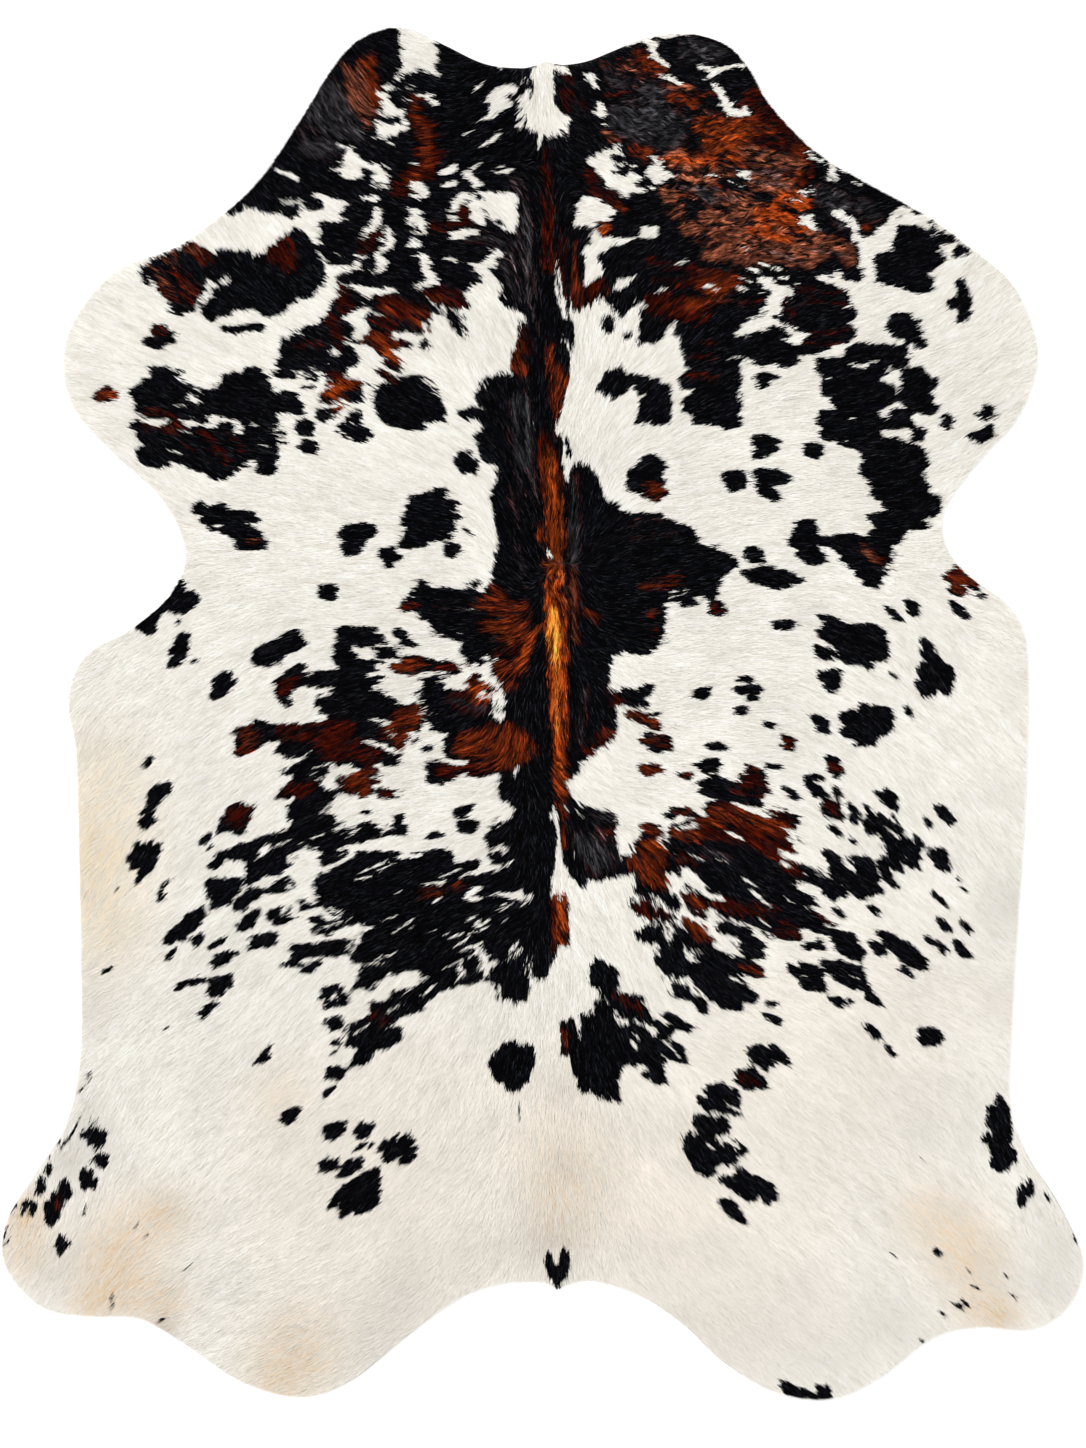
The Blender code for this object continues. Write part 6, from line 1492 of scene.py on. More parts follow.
        (630, 899, 637, 900, 1.2), (629, 903, 630, 908, 1.5),
    ),
    "middle left, edges": strokes(
        (465, 588, 474, 583, 2), (411, 590, 412, 596, 1.5), (431, 632, 440, 636, 1.2),
        (442, 636, 452, 639, 0.8), (454, 641, 466, 643, 0.8), (460, 647, 461, 654, 1.2),
        (497, 679, 499, 686, 1.2), (478, 693, 488, 698, 2), (374, 647, 395, 645, 1.2),
        (401, 645, 402, 651, 1.2, 1), (442, 673, 443, 679, 1.5),
    ),
    "right shoulder, edges": strokes(
        (903, 291, 914, 293, 1.2), (936, 281, 934, 290, 1.5), (926, 293, 933, 292, 1),
        (939, 249, 942, 256, 1.5), (597, 258, 598, 262, 1), (621, 245, 632, 240, 1, 0.8),
        (611, 303, 613, 306, 1), (631, 310, 634, 307, 1), (638, 309, 638, 318, 1),
        (602, 319, 604, 324, 1), (612, 314, 616, 318, 1.2), (615, 324, 616, 331, 1.2),
        (671, 324, 681, 325, 1, 0.6), (559, 268, 563, 298, 0.8, 1.2), (555, 282, 558, 300, 0.6, 0.8),
        (764, 307, 760, 316, 1.2, 1.5), (737, 336, 745, 337, 1.5, 1), (815, 360, 814, 368, 1.5, 2),
        (817, 372, 820, 379, 1.5), (751, 361, 756, 362, 1.2), (767, 371, 775, 373, 1),
        (742, 361, 741, 388, 1.2, 1.5), (758, 381, 760, 387, 1.5, 1.2), (621, 195, 623, 198, 1.5),
        (628, 197, 630, 200, 1), (661, 160, 662, 163, 1.5), (622, 155, 625, 155, 1),
        (623, 161, 626, 163, 1), (606, 221, 611, 217, 1.5, 1), (644, 174, 646, 178, 1.5),
    ),
    "left flank, edges": strokes(
        (384, 771, 382, 782, 1.2), (381, 786, 393, 789, 0.8), (396, 790, 397, 797, 1.5),
        (340, 776, 346, 775, 1.2, 1), (318, 778, 322, 784, 1.8), (327, 807, 329, 806, 1.2),
        (342, 827, 351, 829, 1.5, 1), (349, 836, 356, 834, 1), (392, 823, 392, 829, 1.2),
        (393, 836, 406, 836, 1), (275, 846, 288, 841, 1.8, 1.2), (281, 833, 290, 826, 1.2, 1),
        (283, 772, 292, 765, 1.5, 1), (287, 757, 297, 758, 1), (305, 846, 314, 848, 1),
        (287, 806, 285, 816, 1.5),
    ),
    "left neck, edges": strokes(
        (378, 112, 385, 117, 2, 1.5), (382, 123, 378, 121, 2), (388, 138, 408, 129, 1, 0.8),
        (398, 77, 396, 83, 1.5), (385, 89, 391, 90, 1.2), (407, 88, 414, 86, 1), (474, 92, 481, 85, 1),
        (487, 101, 492, 110, 1.2), (496, 116, 498, 113, 1.5, 1.2), (486, 145, 492, 142, 1),
        (383, 165, 387, 168, 1.8), (361, 172, 362, 179, 1), (441, 175, 450, 173, 1.2, 1.5),
    ),
    "spine, edges": strokes(
        (557, 813, 559, 836, 0.8, 0.6), (583, 804, 598, 810, 0.8, 0.6), (604, 811, 610, 812, 1),
        (617, 819, 618, 825, 1.2, 1), (499, 846, 507, 850, 1), (491, 855, 502, 853, 1, 0.8),
        (555, 897, 559, 898, 1.2), (561, 896, 567, 897, 1.5),
    ),
    "right flank, edges": strokes(
        (769, 808, 783, 810, 2.5, 1.5), (768, 812, 774, 815, 1.5, 1), (790, 830, 791, 842, 2, 1.5),
        (783, 829, 788, 830, 1), (781, 851, 783, 857, 1.5), (782, 863, 790, 866, 2.5, 1.5),
        (804, 863, 815, 871, 2, 1.5), (822, 872, 829, 877, 1.5), (797, 881, 815, 886, 1),
        (797, 889, 810, 895, 1), (812, 896, 815, 902, 1.2, 1), (784, 898, 795, 903, 1, 0.8),
        (840, 801, 842, 806, 1.5), (843, 810, 844, 815, 1.5, 1), (846, 804, 849, 812, 1.5),
        (849, 855, 856, 854, 1.5), (848, 857, 852, 861, 1), (872, 857, 877, 864, 1.5, 1),
        (890, 817, 898, 826, 1.5, 1.2),
    ),
}

BLACK_DETAIL_STROKES = {
    "left shoulder, lower patches": strokes(
        (308, 203, 318, 204, 4, 5), (314, 208, 320, 206, 3.5, 3), (531, 68, 524, 85, 0.8, 1.6),
        (524, 85, 516, 97, 1.8), (367, 264, 371, 256, 5, 3), (372, 268, 374, 262, 4, 3),
    ),
    "shoulders and forelegs, details": strokes(
        (448, 203, 448, 212, 3, 2.5), (486, 247, 490, 253, 2.5, 1.5), (497, 246, 503, 250, 1.5),
        (481, 259, 487, 258, 2.5, 2), (503, 298, 514, 307, 4, 5), (419, 266, 421, 279, 3),
        (384, 284, 396, 287, 2), (563, 262, 569, 298, 1, 1.6), (579, 259, 580, 284, 2.4),
        (600, 150, 612, 146, 3, 2.5), (612, 158, 620, 161, 1.5, 2), (615, 166, 622, 168, 1.2, 1.5),
        (612, 172, 625, 174, 1.2, 2.2), (640, 184, 650, 184, 3.5), (648, 192, 655, 194, 3.5, 2.5),
        (581, 240, 578, 256, 3), (599, 256, 612, 253, 1.8, 2.5), (604, 268, 612, 267, 2, 1),
        (640, 224, 656, 224, 1.8), (660, 226, 660, 235, 1.6), (617, 277, 631, 277, 1.5),
        (846, 211, 859, 218, 2.5, 3.5), (878, 258, 877, 280, 2.8, 2), (762, 271, 776, 278, 2, 2.2),
        (778, 282, 792, 283, 2, 3), (656, 331, 652, 342, 3.5, 3), (882, 388, 893, 388, 3.5, 3),
        (742, 356, 778, 358, 2.6, 3), (321, 353, 330, 348, 2, 3),
    ),
    "left flank and loin, details": strokes(
        (161, 443, 173, 450, 1.5), (242, 461, 250, 460, 2.5, 1.5), (241, 466, 246, 467, 1, 1.5),
        (438, 603, 446, 606, 1.3), (490, 891, 516, 890, 1.5),
    ),
    "right flank and loin, details": strokes(
        (714, 1150, 717, 1156, 1.3, 1.8),
    ),
    "neck edges": strokes(
        (768, 331, 780, 336, 3, 4), (784, 314, 788, 321, 4, 3), (753, 284, 766, 293, 3, 3.5),
        (794, 281, 800, 281, 2.5, 1.5), (802, 347, 804, 345, 3.5, 2.5), (586, 228, 586, 246, 2.5),
        (575, 204, 575, 212, 2, 1.5), (599, 177, 605, 189, 2, 2.5), (622, 149, 626, 150, 2.5, 2),
        (635, 169, 638, 172, 2), (733, 101, 736, 106, 2.5), (750, 108, 752, 114, 1.5),
        (808, 196, 812, 197, 1.5, 2), (806, 190, 816, 187, 1.3), (522, 131, 531, 136, 2.5),
        (531, 80, 528, 90, 1.5), (341, 143, 350, 145, 1.8), (343, 150, 343, 155, 2),
        (353, 149, 366, 160, 1.3), (364, 171, 374, 173, 1.5), (348, 208, 350, 218, 2.5, 2),
        (314, 190, 316, 192, 2), (322, 193, 342, 198, 1.5, 2), (322, 226, 344, 222, 2, 1.3),
        (323, 247, 332, 250, 4), (383, 207, 386, 209, 1.3), (358, 238, 362, 236, 1.5),
        (385, 226, 385, 231, 1.2), (404, 205, 420, 208, 1.2), (405, 187, 409, 188, 1.3),
        (404, 197, 411, 198, 1.3), (474, 191, 478, 198, 2.2, 2), (521, 196, 522, 212, 1.5, 1.2),
        (486, 222, 502, 224, 1.5), (450, 227, 476, 226, 1.2), (442, 242, 458, 242, 1.2),
        (413, 75, 428, 76, 2), (439, 62, 439, 72, 1.3),
    ),
    "neck, fine details": strokes(
        (527, 118, 522, 137, 0.5, 1.5), (536, 130, 531, 150, 0.5, 2.5), (545, 134, 543, 148, 0.5, 2),
        (553, 134, 553, 148, 0.5, 2), (562, 130, 565, 142, 0.5, 1.5), (514, 101, 521, 98, 1, 0.4),
        (513, 112, 522, 108, 1.5, 0.4), (514, 122, 526, 116, 1.8, 0.4), (533, 84, 530, 98, 0.8, 0.5),
        (571, 122, 577, 119, 1.2, 0.8), (404, 208, 410, 215, 2.5, 2), (383, 236, 380, 244, 1.3),
        (362, 196, 374, 195, 1), (376, 205, 382, 206, 1.2, 1), (384, 106, 382, 110, 0.8),
        (445, 230, 478, 227, 1.3), (480, 190, 516, 191, 1.2, 1.5), (519, 194, 522, 214, 1.6, 1),
        (452, 194, 464, 190, 1.3), (449, 205, 452, 215, 1.3, 1), (340, 150, 342, 158, 1.6),
        (354, 150, 372, 164, 1.2), (381, 165, 388, 172, 1),
    ),
    "right loin, fine details": strokes(
        (800, 868, 814, 874, 2.5), (670, 828, 692, 822, 1.2, 2), (666, 838, 672, 850, 1.2, 1.5),
        (668, 870, 690, 864, 2.5, 1.5), (709, 901, 713, 904, 1.5), (766, 915, 784, 918, 1.5),
    ),
    "right rump, fine details": strokes(
        (692, 980, 714, 1000, 1.3, 1.8), (638, 1018, 650, 1024, 1.3, 1.8), (606, 1015, 620, 1018, 1.3),
        (665, 1046, 674, 1054, 1), (722, 1108, 740, 1115, 1.3, 1.8), (800, 866, 814, 874, 3.5),
        (822, 884, 846, 892, 1.5),
    ),
    "middle, fine details": strokes(
        (610, 695, 620, 694, 3), (617, 859, 627, 859, 3), (624, 704, 640, 704, 1.8),
        (548, 822, 552, 842, 2.5, 2), (564, 857, 574, 880, 1.5),
    ),
    "neck tuft": strokes(
        (557, 79, 557, 98, 2.5), (557, 102, 563, 112, 2.5, 1.5), (529, 69, 527, 76, 1.2, 1),
        (529, 82, 525, 89, 1.2, 1), (506, 96, 514, 94, 1), (517, 104, 515, 109, 1.2),
        (526, 129, 532, 133, 2, 1.2), (536, 135, 536, 148, 1.3, 1.2), (547, 140, 551, 141, 1.2),
        (596, 75, 598, 77, 2, 1.5),
    ),
    "left shoulder, edges": strokes(
        (344, 323, 350, 332, 2.5, 3), (396, 240, 395, 249, 1.5), (394, 250, 387, 256, 2.5, 1.5),
        (379, 238, 376, 248, 1.5), (331, 262, 354, 262, 1.2, 1), (349, 314, 356, 308, 1.5),
        (358, 307, 370, 305, 1.5), (373, 306, 373, 312, 1.2), (369, 334, 364, 338, 1.5),
        (317, 416, 324, 421, 1.5), (328, 377, 328, 386, 1.5, 1.2), (301, 366, 316, 376, 1.5),
        (316, 366, 326, 372, 1.2), (345, 352, 352, 360, 1), (377, 370, 387, 378, 2),
        (386, 372, 402, 384, 1), (400, 347, 409, 346, 1.5, 1), (353, 421, 361, 424, 1.5),
        (297, 368, 299, 374, 1.5), (285, 339, 281, 348, 1.5), (328, 263, 352, 264.5, 1, 1.2),
        (348, 323, 354, 330, 1.5, 2), (350, 313, 357, 309, 1), (441, 413, 445, 412, 1.5),
        (480, 385, 486, 384, 1.5), (485, 381, 489, 378, 1), (510, 363, 512, 371, 1),
        (463, 418, 469, 420, 1), (143, 418, 195, 418.5, 0.8), (199, 422, 208, 422, 1),
        (221, 416, 240, 419.5, 0.8, 1), (181, 423, 184, 427, 1), (129, 427, 138, 421, 1, 1.2),
        (137, 430, 140, 440, 1, 1.2), (232, 425, 234, 433, 1), (194, 392, 197, 397, 0.8, 1),
    ),
    "right hip, edges": strokes(
        (709, 890, 722, 894, 1.8, 0.8), (746, 890, 768, 911, 0.8), (756, 921, 765, 930, 1.5),
        (716, 914, 730, 918, 1), (705, 906, 706, 911, 1.5), (669, 908, 677, 910, 1.2),
        (690, 909, 696, 916, 1.5), (685, 885, 690, 888, 1.5), (662, 937, 665, 941, 1.5),
        (656, 960, 664, 970, 2, 1.5), (671, 951, 682, 950, 1.2), (695, 954, 702, 960, 2.5),
        (721, 955, 734, 960, 1.5, 1), (734, 957, 747, 962, 2.5, 2), (734, 969, 743, 976, 1.5),
        (717, 930, 736, 936, 1.2), (718, 923, 730, 922, 1.2, 1), (767, 912, 778, 914, 1),
        (768, 919, 778, 921, 1.2), (648, 899, 655, 901, 2, 1.5), (658, 897, 667, 903, 1.2, 1.5),
        (650, 920, 668, 921, 1.2), (673, 914, 674, 918, 1.2), (615, 844, 618, 855, 1, 1.2),
        (635, 842, 644, 839, 1.2, 1), (664, 842, 670, 850, 2, 1.2), (667, 871, 680, 873, 1.8),
        (690, 867, 698, 875, 1.5, 1), (617, 875, 634, 872, 1),
    ),
    "middle left, edges": strokes(
        (472, 584, 480, 582, 1), (466, 603, 480, 601, 0.8), (466, 617, 480, 616, 0.8),
        (422, 614, 424, 619, 1.5, 1.2), (433, 626, 437, 631, 2, 1.5), (485, 652, 497, 659, 1.2),
        (477, 658, 484, 662, 2), (405, 642, 411, 646, 1.5), (378, 657, 400, 658, 1.2, 1),
        (428, 668, 433, 667, 1.5), (434, 663, 441, 664, 1.2), (373, 677, 382, 677, 1.2),
        (374, 682, 381, 683, 1.5),
    ),
    "right shoulder, edges": strokes(
        (860, 224, 863, 234, 2.5), (864, 236, 872, 233, 2), (873, 231, 880, 223, 2.5),
        (881, 222, 888, 214, 2.5), (888, 212, 897, 206, 2), (855, 244, 857, 264, 1.8, 2),
        (860, 270, 860, 280, 2), (846, 279, 859, 281, 1.2, 1.5), (818, 275, 832, 273, 1, 1.2),
        (832, 268, 833, 272, 1.5), (897, 229, 895, 250, 2), (892, 246, 896, 251, 1.5),
        (878, 255, 888, 253, 1), (900, 226, 914, 227, 1.2), (929, 270, 935, 269, 1.5, 1),
        (833, 218, 846, 224, 1), (822, 184, 842, 182, 1.2, 1), (936, 235, 944, 232, 1.2),
        (930, 222, 931, 232, 1.2), (843, 290, 849, 299, 1.2, 1.5), (568, 299, 569, 312, 1.2),
        (572, 300, 575, 310, 1.2), (571, 322, 573, 348, 1.5, 1.8), (583, 306, 588, 306, 1),
        (583, 258, 583, 280, 1.2), (600, 264, 612, 264, 1, 0.8), (594, 282, 602, 279, 1.5),
        (602, 236, 628, 237, 0.8), (609, 249, 619, 246, 0.8, 0.6), (600, 291, 602, 297, 1.5, 1),
        (605, 299, 608, 304, 1), (620, 316, 627, 311, 1.5), (633, 302, 636, 306, 1.5, 1),
        (637, 340, 643, 337, 1.2), (660, 333, 663, 337, 1), (772, 327, 782, 329, 1.2, 1.5),
        (783, 331, 788, 336, 2), (780, 341, 788, 344, 1.5), (776, 317, 788, 325, 2, 1.8),
        (784, 299, 792, 298, 1.5), (764, 297, 763, 304, 1.8, 1.2), (760, 306, 757, 315, 2, 1),
        (754, 333, 763, 333, 1.2, 1), (796, 330, 806, 333, 0.8, 1), (801, 353, 805, 354, 1.8, 1),
        (817, 352, 831, 348, 1, 0.8), (767, 362, 779, 363, 1.5), (785, 367, 793, 365, 1.2, 1),
        (738, 285, 755, 291, 1), (730, 273, 744, 275, 1, 0.8), (760, 274, 766, 277, 1.2),
        (749, 279, 754, 279, 1.2, 1), (646, 168, 651, 164, 1.2), (616, 156, 620, 157, 1),
        (623, 163, 625, 166, 1), (656, 188, 657, 194, 1), (613, 190, 619, 193, 1.2),
        (595, 228, 599, 225, 1, 1.5), (639, 226, 639, 231, 1),
    ),
    "left flank, edges": strokes(
        (373, 768, 372, 786, 2), (376, 770, 379, 776, 1.5), (376, 782, 380, 781, 1.5, 1.2),
        (371, 789, 378, 790, 1.2), (339, 781, 343, 790, 2, 2.5), (334, 791, 342, 791, 1.2, 1.5),
        (345, 762, 356, 765, 1), (318, 774, 330, 771, 2, 1.5), (328, 801, 336, 796, 2, 1.5),
        (337, 824, 341, 823, 1.5), (338, 834, 345, 836, 1.5), (346, 833, 356, 828, 1),
        (373, 825, 382, 830, 1.5, 1), (299, 757, 311, 749, 0.8), (341, 845, 345, 844, 1.5),
        (342, 852, 344, 858, 1.2), (304, 842, 316, 843, 1.2, 1.5),
    ),
    "left neck, edges": strokes(
        (390, 98, 396, 107, 1.2), (398, 107, 406, 108, 1), (407, 110, 409, 126, 1.2, 0.8),
        (370, 138, 376, 135, 1.5), (402, 63, 396, 75, 1.2), (417, 72, 426, 71, 1), (437, 64, 437, 71, 1),
        (383, 85, 393, 83, 1.5), (399, 90, 412, 84, 1), (418, 94, 432, 93, 0.8, 1), (470, 92, 480, 82, 1),
        (486, 96, 492, 89, 1), (478, 119, 490, 112, 1), (479, 145, 490, 138, 0.8),
        (361, 151, 373, 162, 1.2), (374, 162, 382, 162, 1.2), (439, 170, 452, 163, 1.2),
        (454, 162, 459, 166, 1.2), (464, 170, 478, 162, 1),
    ),
    "spine, edges": strokes(
        (552, 820, 556, 838, 1, 1.5), (556, 838, 554, 852, 1.8, 1.2), (554, 852, 553.5, 868, 1.2, 0.8),
        (499, 786, 499, 795, 1.2), (574, 800, 580, 810, 0.8, 1.2), (579, 811, 588, 811, 1.5, 1),
        (612, 828, 617, 828, 1.5, 1), (615, 832, 616, 838, 1), (495, 826, 504, 822, 1.2, 0.8),
        (502, 854, 510, 856, 1, 0.8), (492, 863, 505, 863, 1.2, 1), (551, 884, 549, 891, 1, 1.2),
    ),
    "right flank, edges": strokes(
        (825, 881, 845, 889, 1.8), (822, 888, 826, 896, 1.2), (875, 868, 879, 878, 1.5),
        (792, 823, 795, 829, 1.2), (482, 691, 500, 689, 1.5, 1), (492, 662, 494, 674, 1.2),
    ),
}

# In painting order
COAT_STROKES = [
    ("black", BLACK_STROKES),
    ("mahogany", MAHOGANY_STROKES),
    ("russet", RUSSET_STROKES),
    ("rust", RUST_STROKES),
    ("chestnut", CHESTNUT_STROKES),
    ("orange", ORANGE_STROKES),
    ("amber", AMBER_STROKES),
    ("grey", GREY_STROKES),
    ("silver", SILVER_STROKES),
    ("white", WHITE_STROKES),
    ("black", BLACK_DETAIL_STROKES),
]


# --- noise and mapping -----------------------------------------------------------------------

def blended(grid, u, v):
    """A grid's values at places given in its steps, each from the four cells around it."""
    i, j = u.astype(int), v.astype(int)
    fu, fv = u - i, v - j
    if grid.ndim > 2:
        fu, fv = fu[:, None], fv[:, None]
    return ((grid[i, j] * (1 - fu) + grid[i + 1, j] * fu) * (1 - fv)
            + (grid[i, j + 1] * (1 - fu) + grid[i + 1, j + 1] * fu) * fv)


def noise(x, y, size, seed):
    """Smooth noise from -1 to 1 whose bumps are about size metres across."""
    table = np.random.default_rng(seed).uniform(-1.0, 1.0, (NOISE_CELLS, NOISE_CELLS))
    u, v = x / size + NOISE_SHIFT, y / size + NOISE_SHIFT
    i, j = np.floor(u).astype(int), np.floor(v).astype(int)
    fu, fv = u - i, v - j
    fu, fv = fu * fu * (3 - 2 * fu), fv * fv * (3 - 2 * fv)
    i0, j0 = i % NOISE_CELLS, j % NOISE_CELLS
    i1, j1 = (i + 1) % NOISE_CELLS, (j + 1) % NOISE_CELLS
    low = table[i0, j0] * (1 - fu) + table[i1, j0] * fu
    high = table[i0, j1] * (1 - fu) + table[i1, j1] * fu
    return low * (1 - fv) + high * fv


def bumps(x, y, parts):
    return sum(part.share * noise(x, y, part.size, part.seed) for part in parts)


def streaks(x, y, direction, streak):
    """Noise drawn out along the hair, with a spread of 1."""
    total = np.zeros(len(x))
    for step in np.linspace(-streak.reach, streak.reach, STREAK_SAMPLES):
        total += noise(*moved(x, y, direction, step), streak.width, streak.seed)
    return total / total.std()


def to_metres(x_px, y_px):
    return (x_px - MIDDLE_X_PX) * METRES_PER_PX, (MIDDLE_Y_PX - y_px) * METRES_PER_PX


def to_px(x, y):
    return x / METRES_PER_PX + MIDDLE_X_PX, MIDDLE_Y_PX - y / METRES_PER_PX


def moved(x, y, direction, by):
    return x + direction[:, 0] * by, y + direction[:, 1] * by


def turned(direction, angle):
    c, s = np.cos(angle), np.sin(angle)
    x, y = direction[:, 0], direction[:, 1]
    return np.stack([x * c - y * s, x * s + y * c], 1)


def beside_stretch(x, y, ax, ay, bx, by):
    """The nearest place on the stretch from a to b: its share of the way, and how far it is."""
    ex, ey = bx - ax, by - ay
    share = np.clip(((x - ax) * ex + (y - ay) * ey) / max(ex * ex + ey * ey, TINY), 0, 1)
    return share, np.hypot(x - ax - share * ex, y - ay - share * ey)


# --- the outline, read from the solid ----------------------------------------------------------

def underside_edges():
    """For each point of the solid's cut edge, the two beside it, and the points' places."""
    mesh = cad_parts["hide"].data
    mesh.calc_loop_triangles()
    places = {}
    point_of = []
    for v in mesh.vertices:
        key = (round(v.co.x, WELD_DIGITS), round(v.co.y, WELD_DIGITS), round(v.co.z, WELD_DIGITS))
        point_of.append(places.setdefault(key, len(places)))
    points = list(places)
    counted = {}
    for triangle in mesh.loop_triangles:
        corners = [point_of[i] for i in triangle.vertices]
        if all(points[c][2] < TINY for c in corners):
            for a, b in zip(corners, corners[1:] + corners[:1]):
                counted[frozenset((a, b))] = counted.get(frozenset((a, b)), 0) + 1
    beside = {}
    for a, b in (pair for pair, count in counted.items() if count == 1):
        beside.setdefault(a, []).append(b)
        beside.setdefault(b, []).append(a)
    return points, beside


def solid_outline():
    """The hide's cut edge, where its flat underside ends, and the area within."""
    points, beside = underside_edges()
    start = min(beside)
    loop, after = [start], beside[start][0]
    while after != start:
        before = loop[-1]
        loop.append(after)
        after = [p for p in beside[after] if p != before][0]
    outline = np.array([points[i][:2] for i in loop])
    x, y = outline.T
    area = np.sum(x * np.roll(y, -1) - np.roll(x, -1) * y) / 2
    return (outline if area > 0 else outline[::-1]), abs(area)


def rounded(outline):
    """More points on the smooth closed curve through the outline's points."""
    before, after, beyond = np.roll(outline, 1, 0), np.roll(outline, -1, 0), np.roll(outline, -2, 0)
    made = []
    for k in range(EDGE_PIECES):
        t = k / EDGE_PIECES
        made.append(0.5 * (2 * outline + (after - before) * t
                           + (2 * before - 5 * outline + 4 * after - beyond) * t ** 2
                           + (3 * outline - before - 3 * after + beyond) * t ** 3))
    return np.stack(made, 1).reshape(-1, 2)


class EdgeDistance:
    """Distance to the cut edge, positive inside, from a grid that is worked out once."""

    def __init__(self, outline):
        self.low = outline.min(0) - DISTANCE_MARGIN
        counts = np.ceil((np.ptp(outline, axis=0) + 2 * DISTANCE_MARGIN) / DISTANCE_STEP).astype(int) + 1
        xs = self.low[0] + DISTANCE_STEP * np.arange(counts[0])
        ys = self.low[1] + DISTANCE_STEP * np.arange(counts[1])
        x, y = np.meshgrid(xs, ys, indexing="ij")
        nearest = np.full(x.shape, np.inf)
        crossings = np.zeros(x.shape, int)
        for (ax, ay), (bx, by) in zip(outline, np.roll(outline, -1, 0)):
            nearest = np.minimum(nearest, beside_stretch(x, y, ax, ay, bx, by)[1])
            if ay != by:
                spans = (ay > ys) != (by > ys)
                cross_x = ax + (ys - ay) * (bx - ax) / (by - ay)
                crossings += spans[None, :] & (x < cross_x[None, :])
        self.grid = np.where(crossings % 2 == 1, nearest, -nearest)

    def __call__(self, x, y):
        last = np.array(self.grid.shape) - 1 - TINY
        u = np.clip((x - self.low[0]) / DISTANCE_STEP, 0, last[0])
        v = np.clip((y - self.low[1]) / DISTANCE_STEP, 0, last[1])
        return blended(self.grid, u, v)


# --- the coat's colours, painted with the strokes ------------------------------------------------

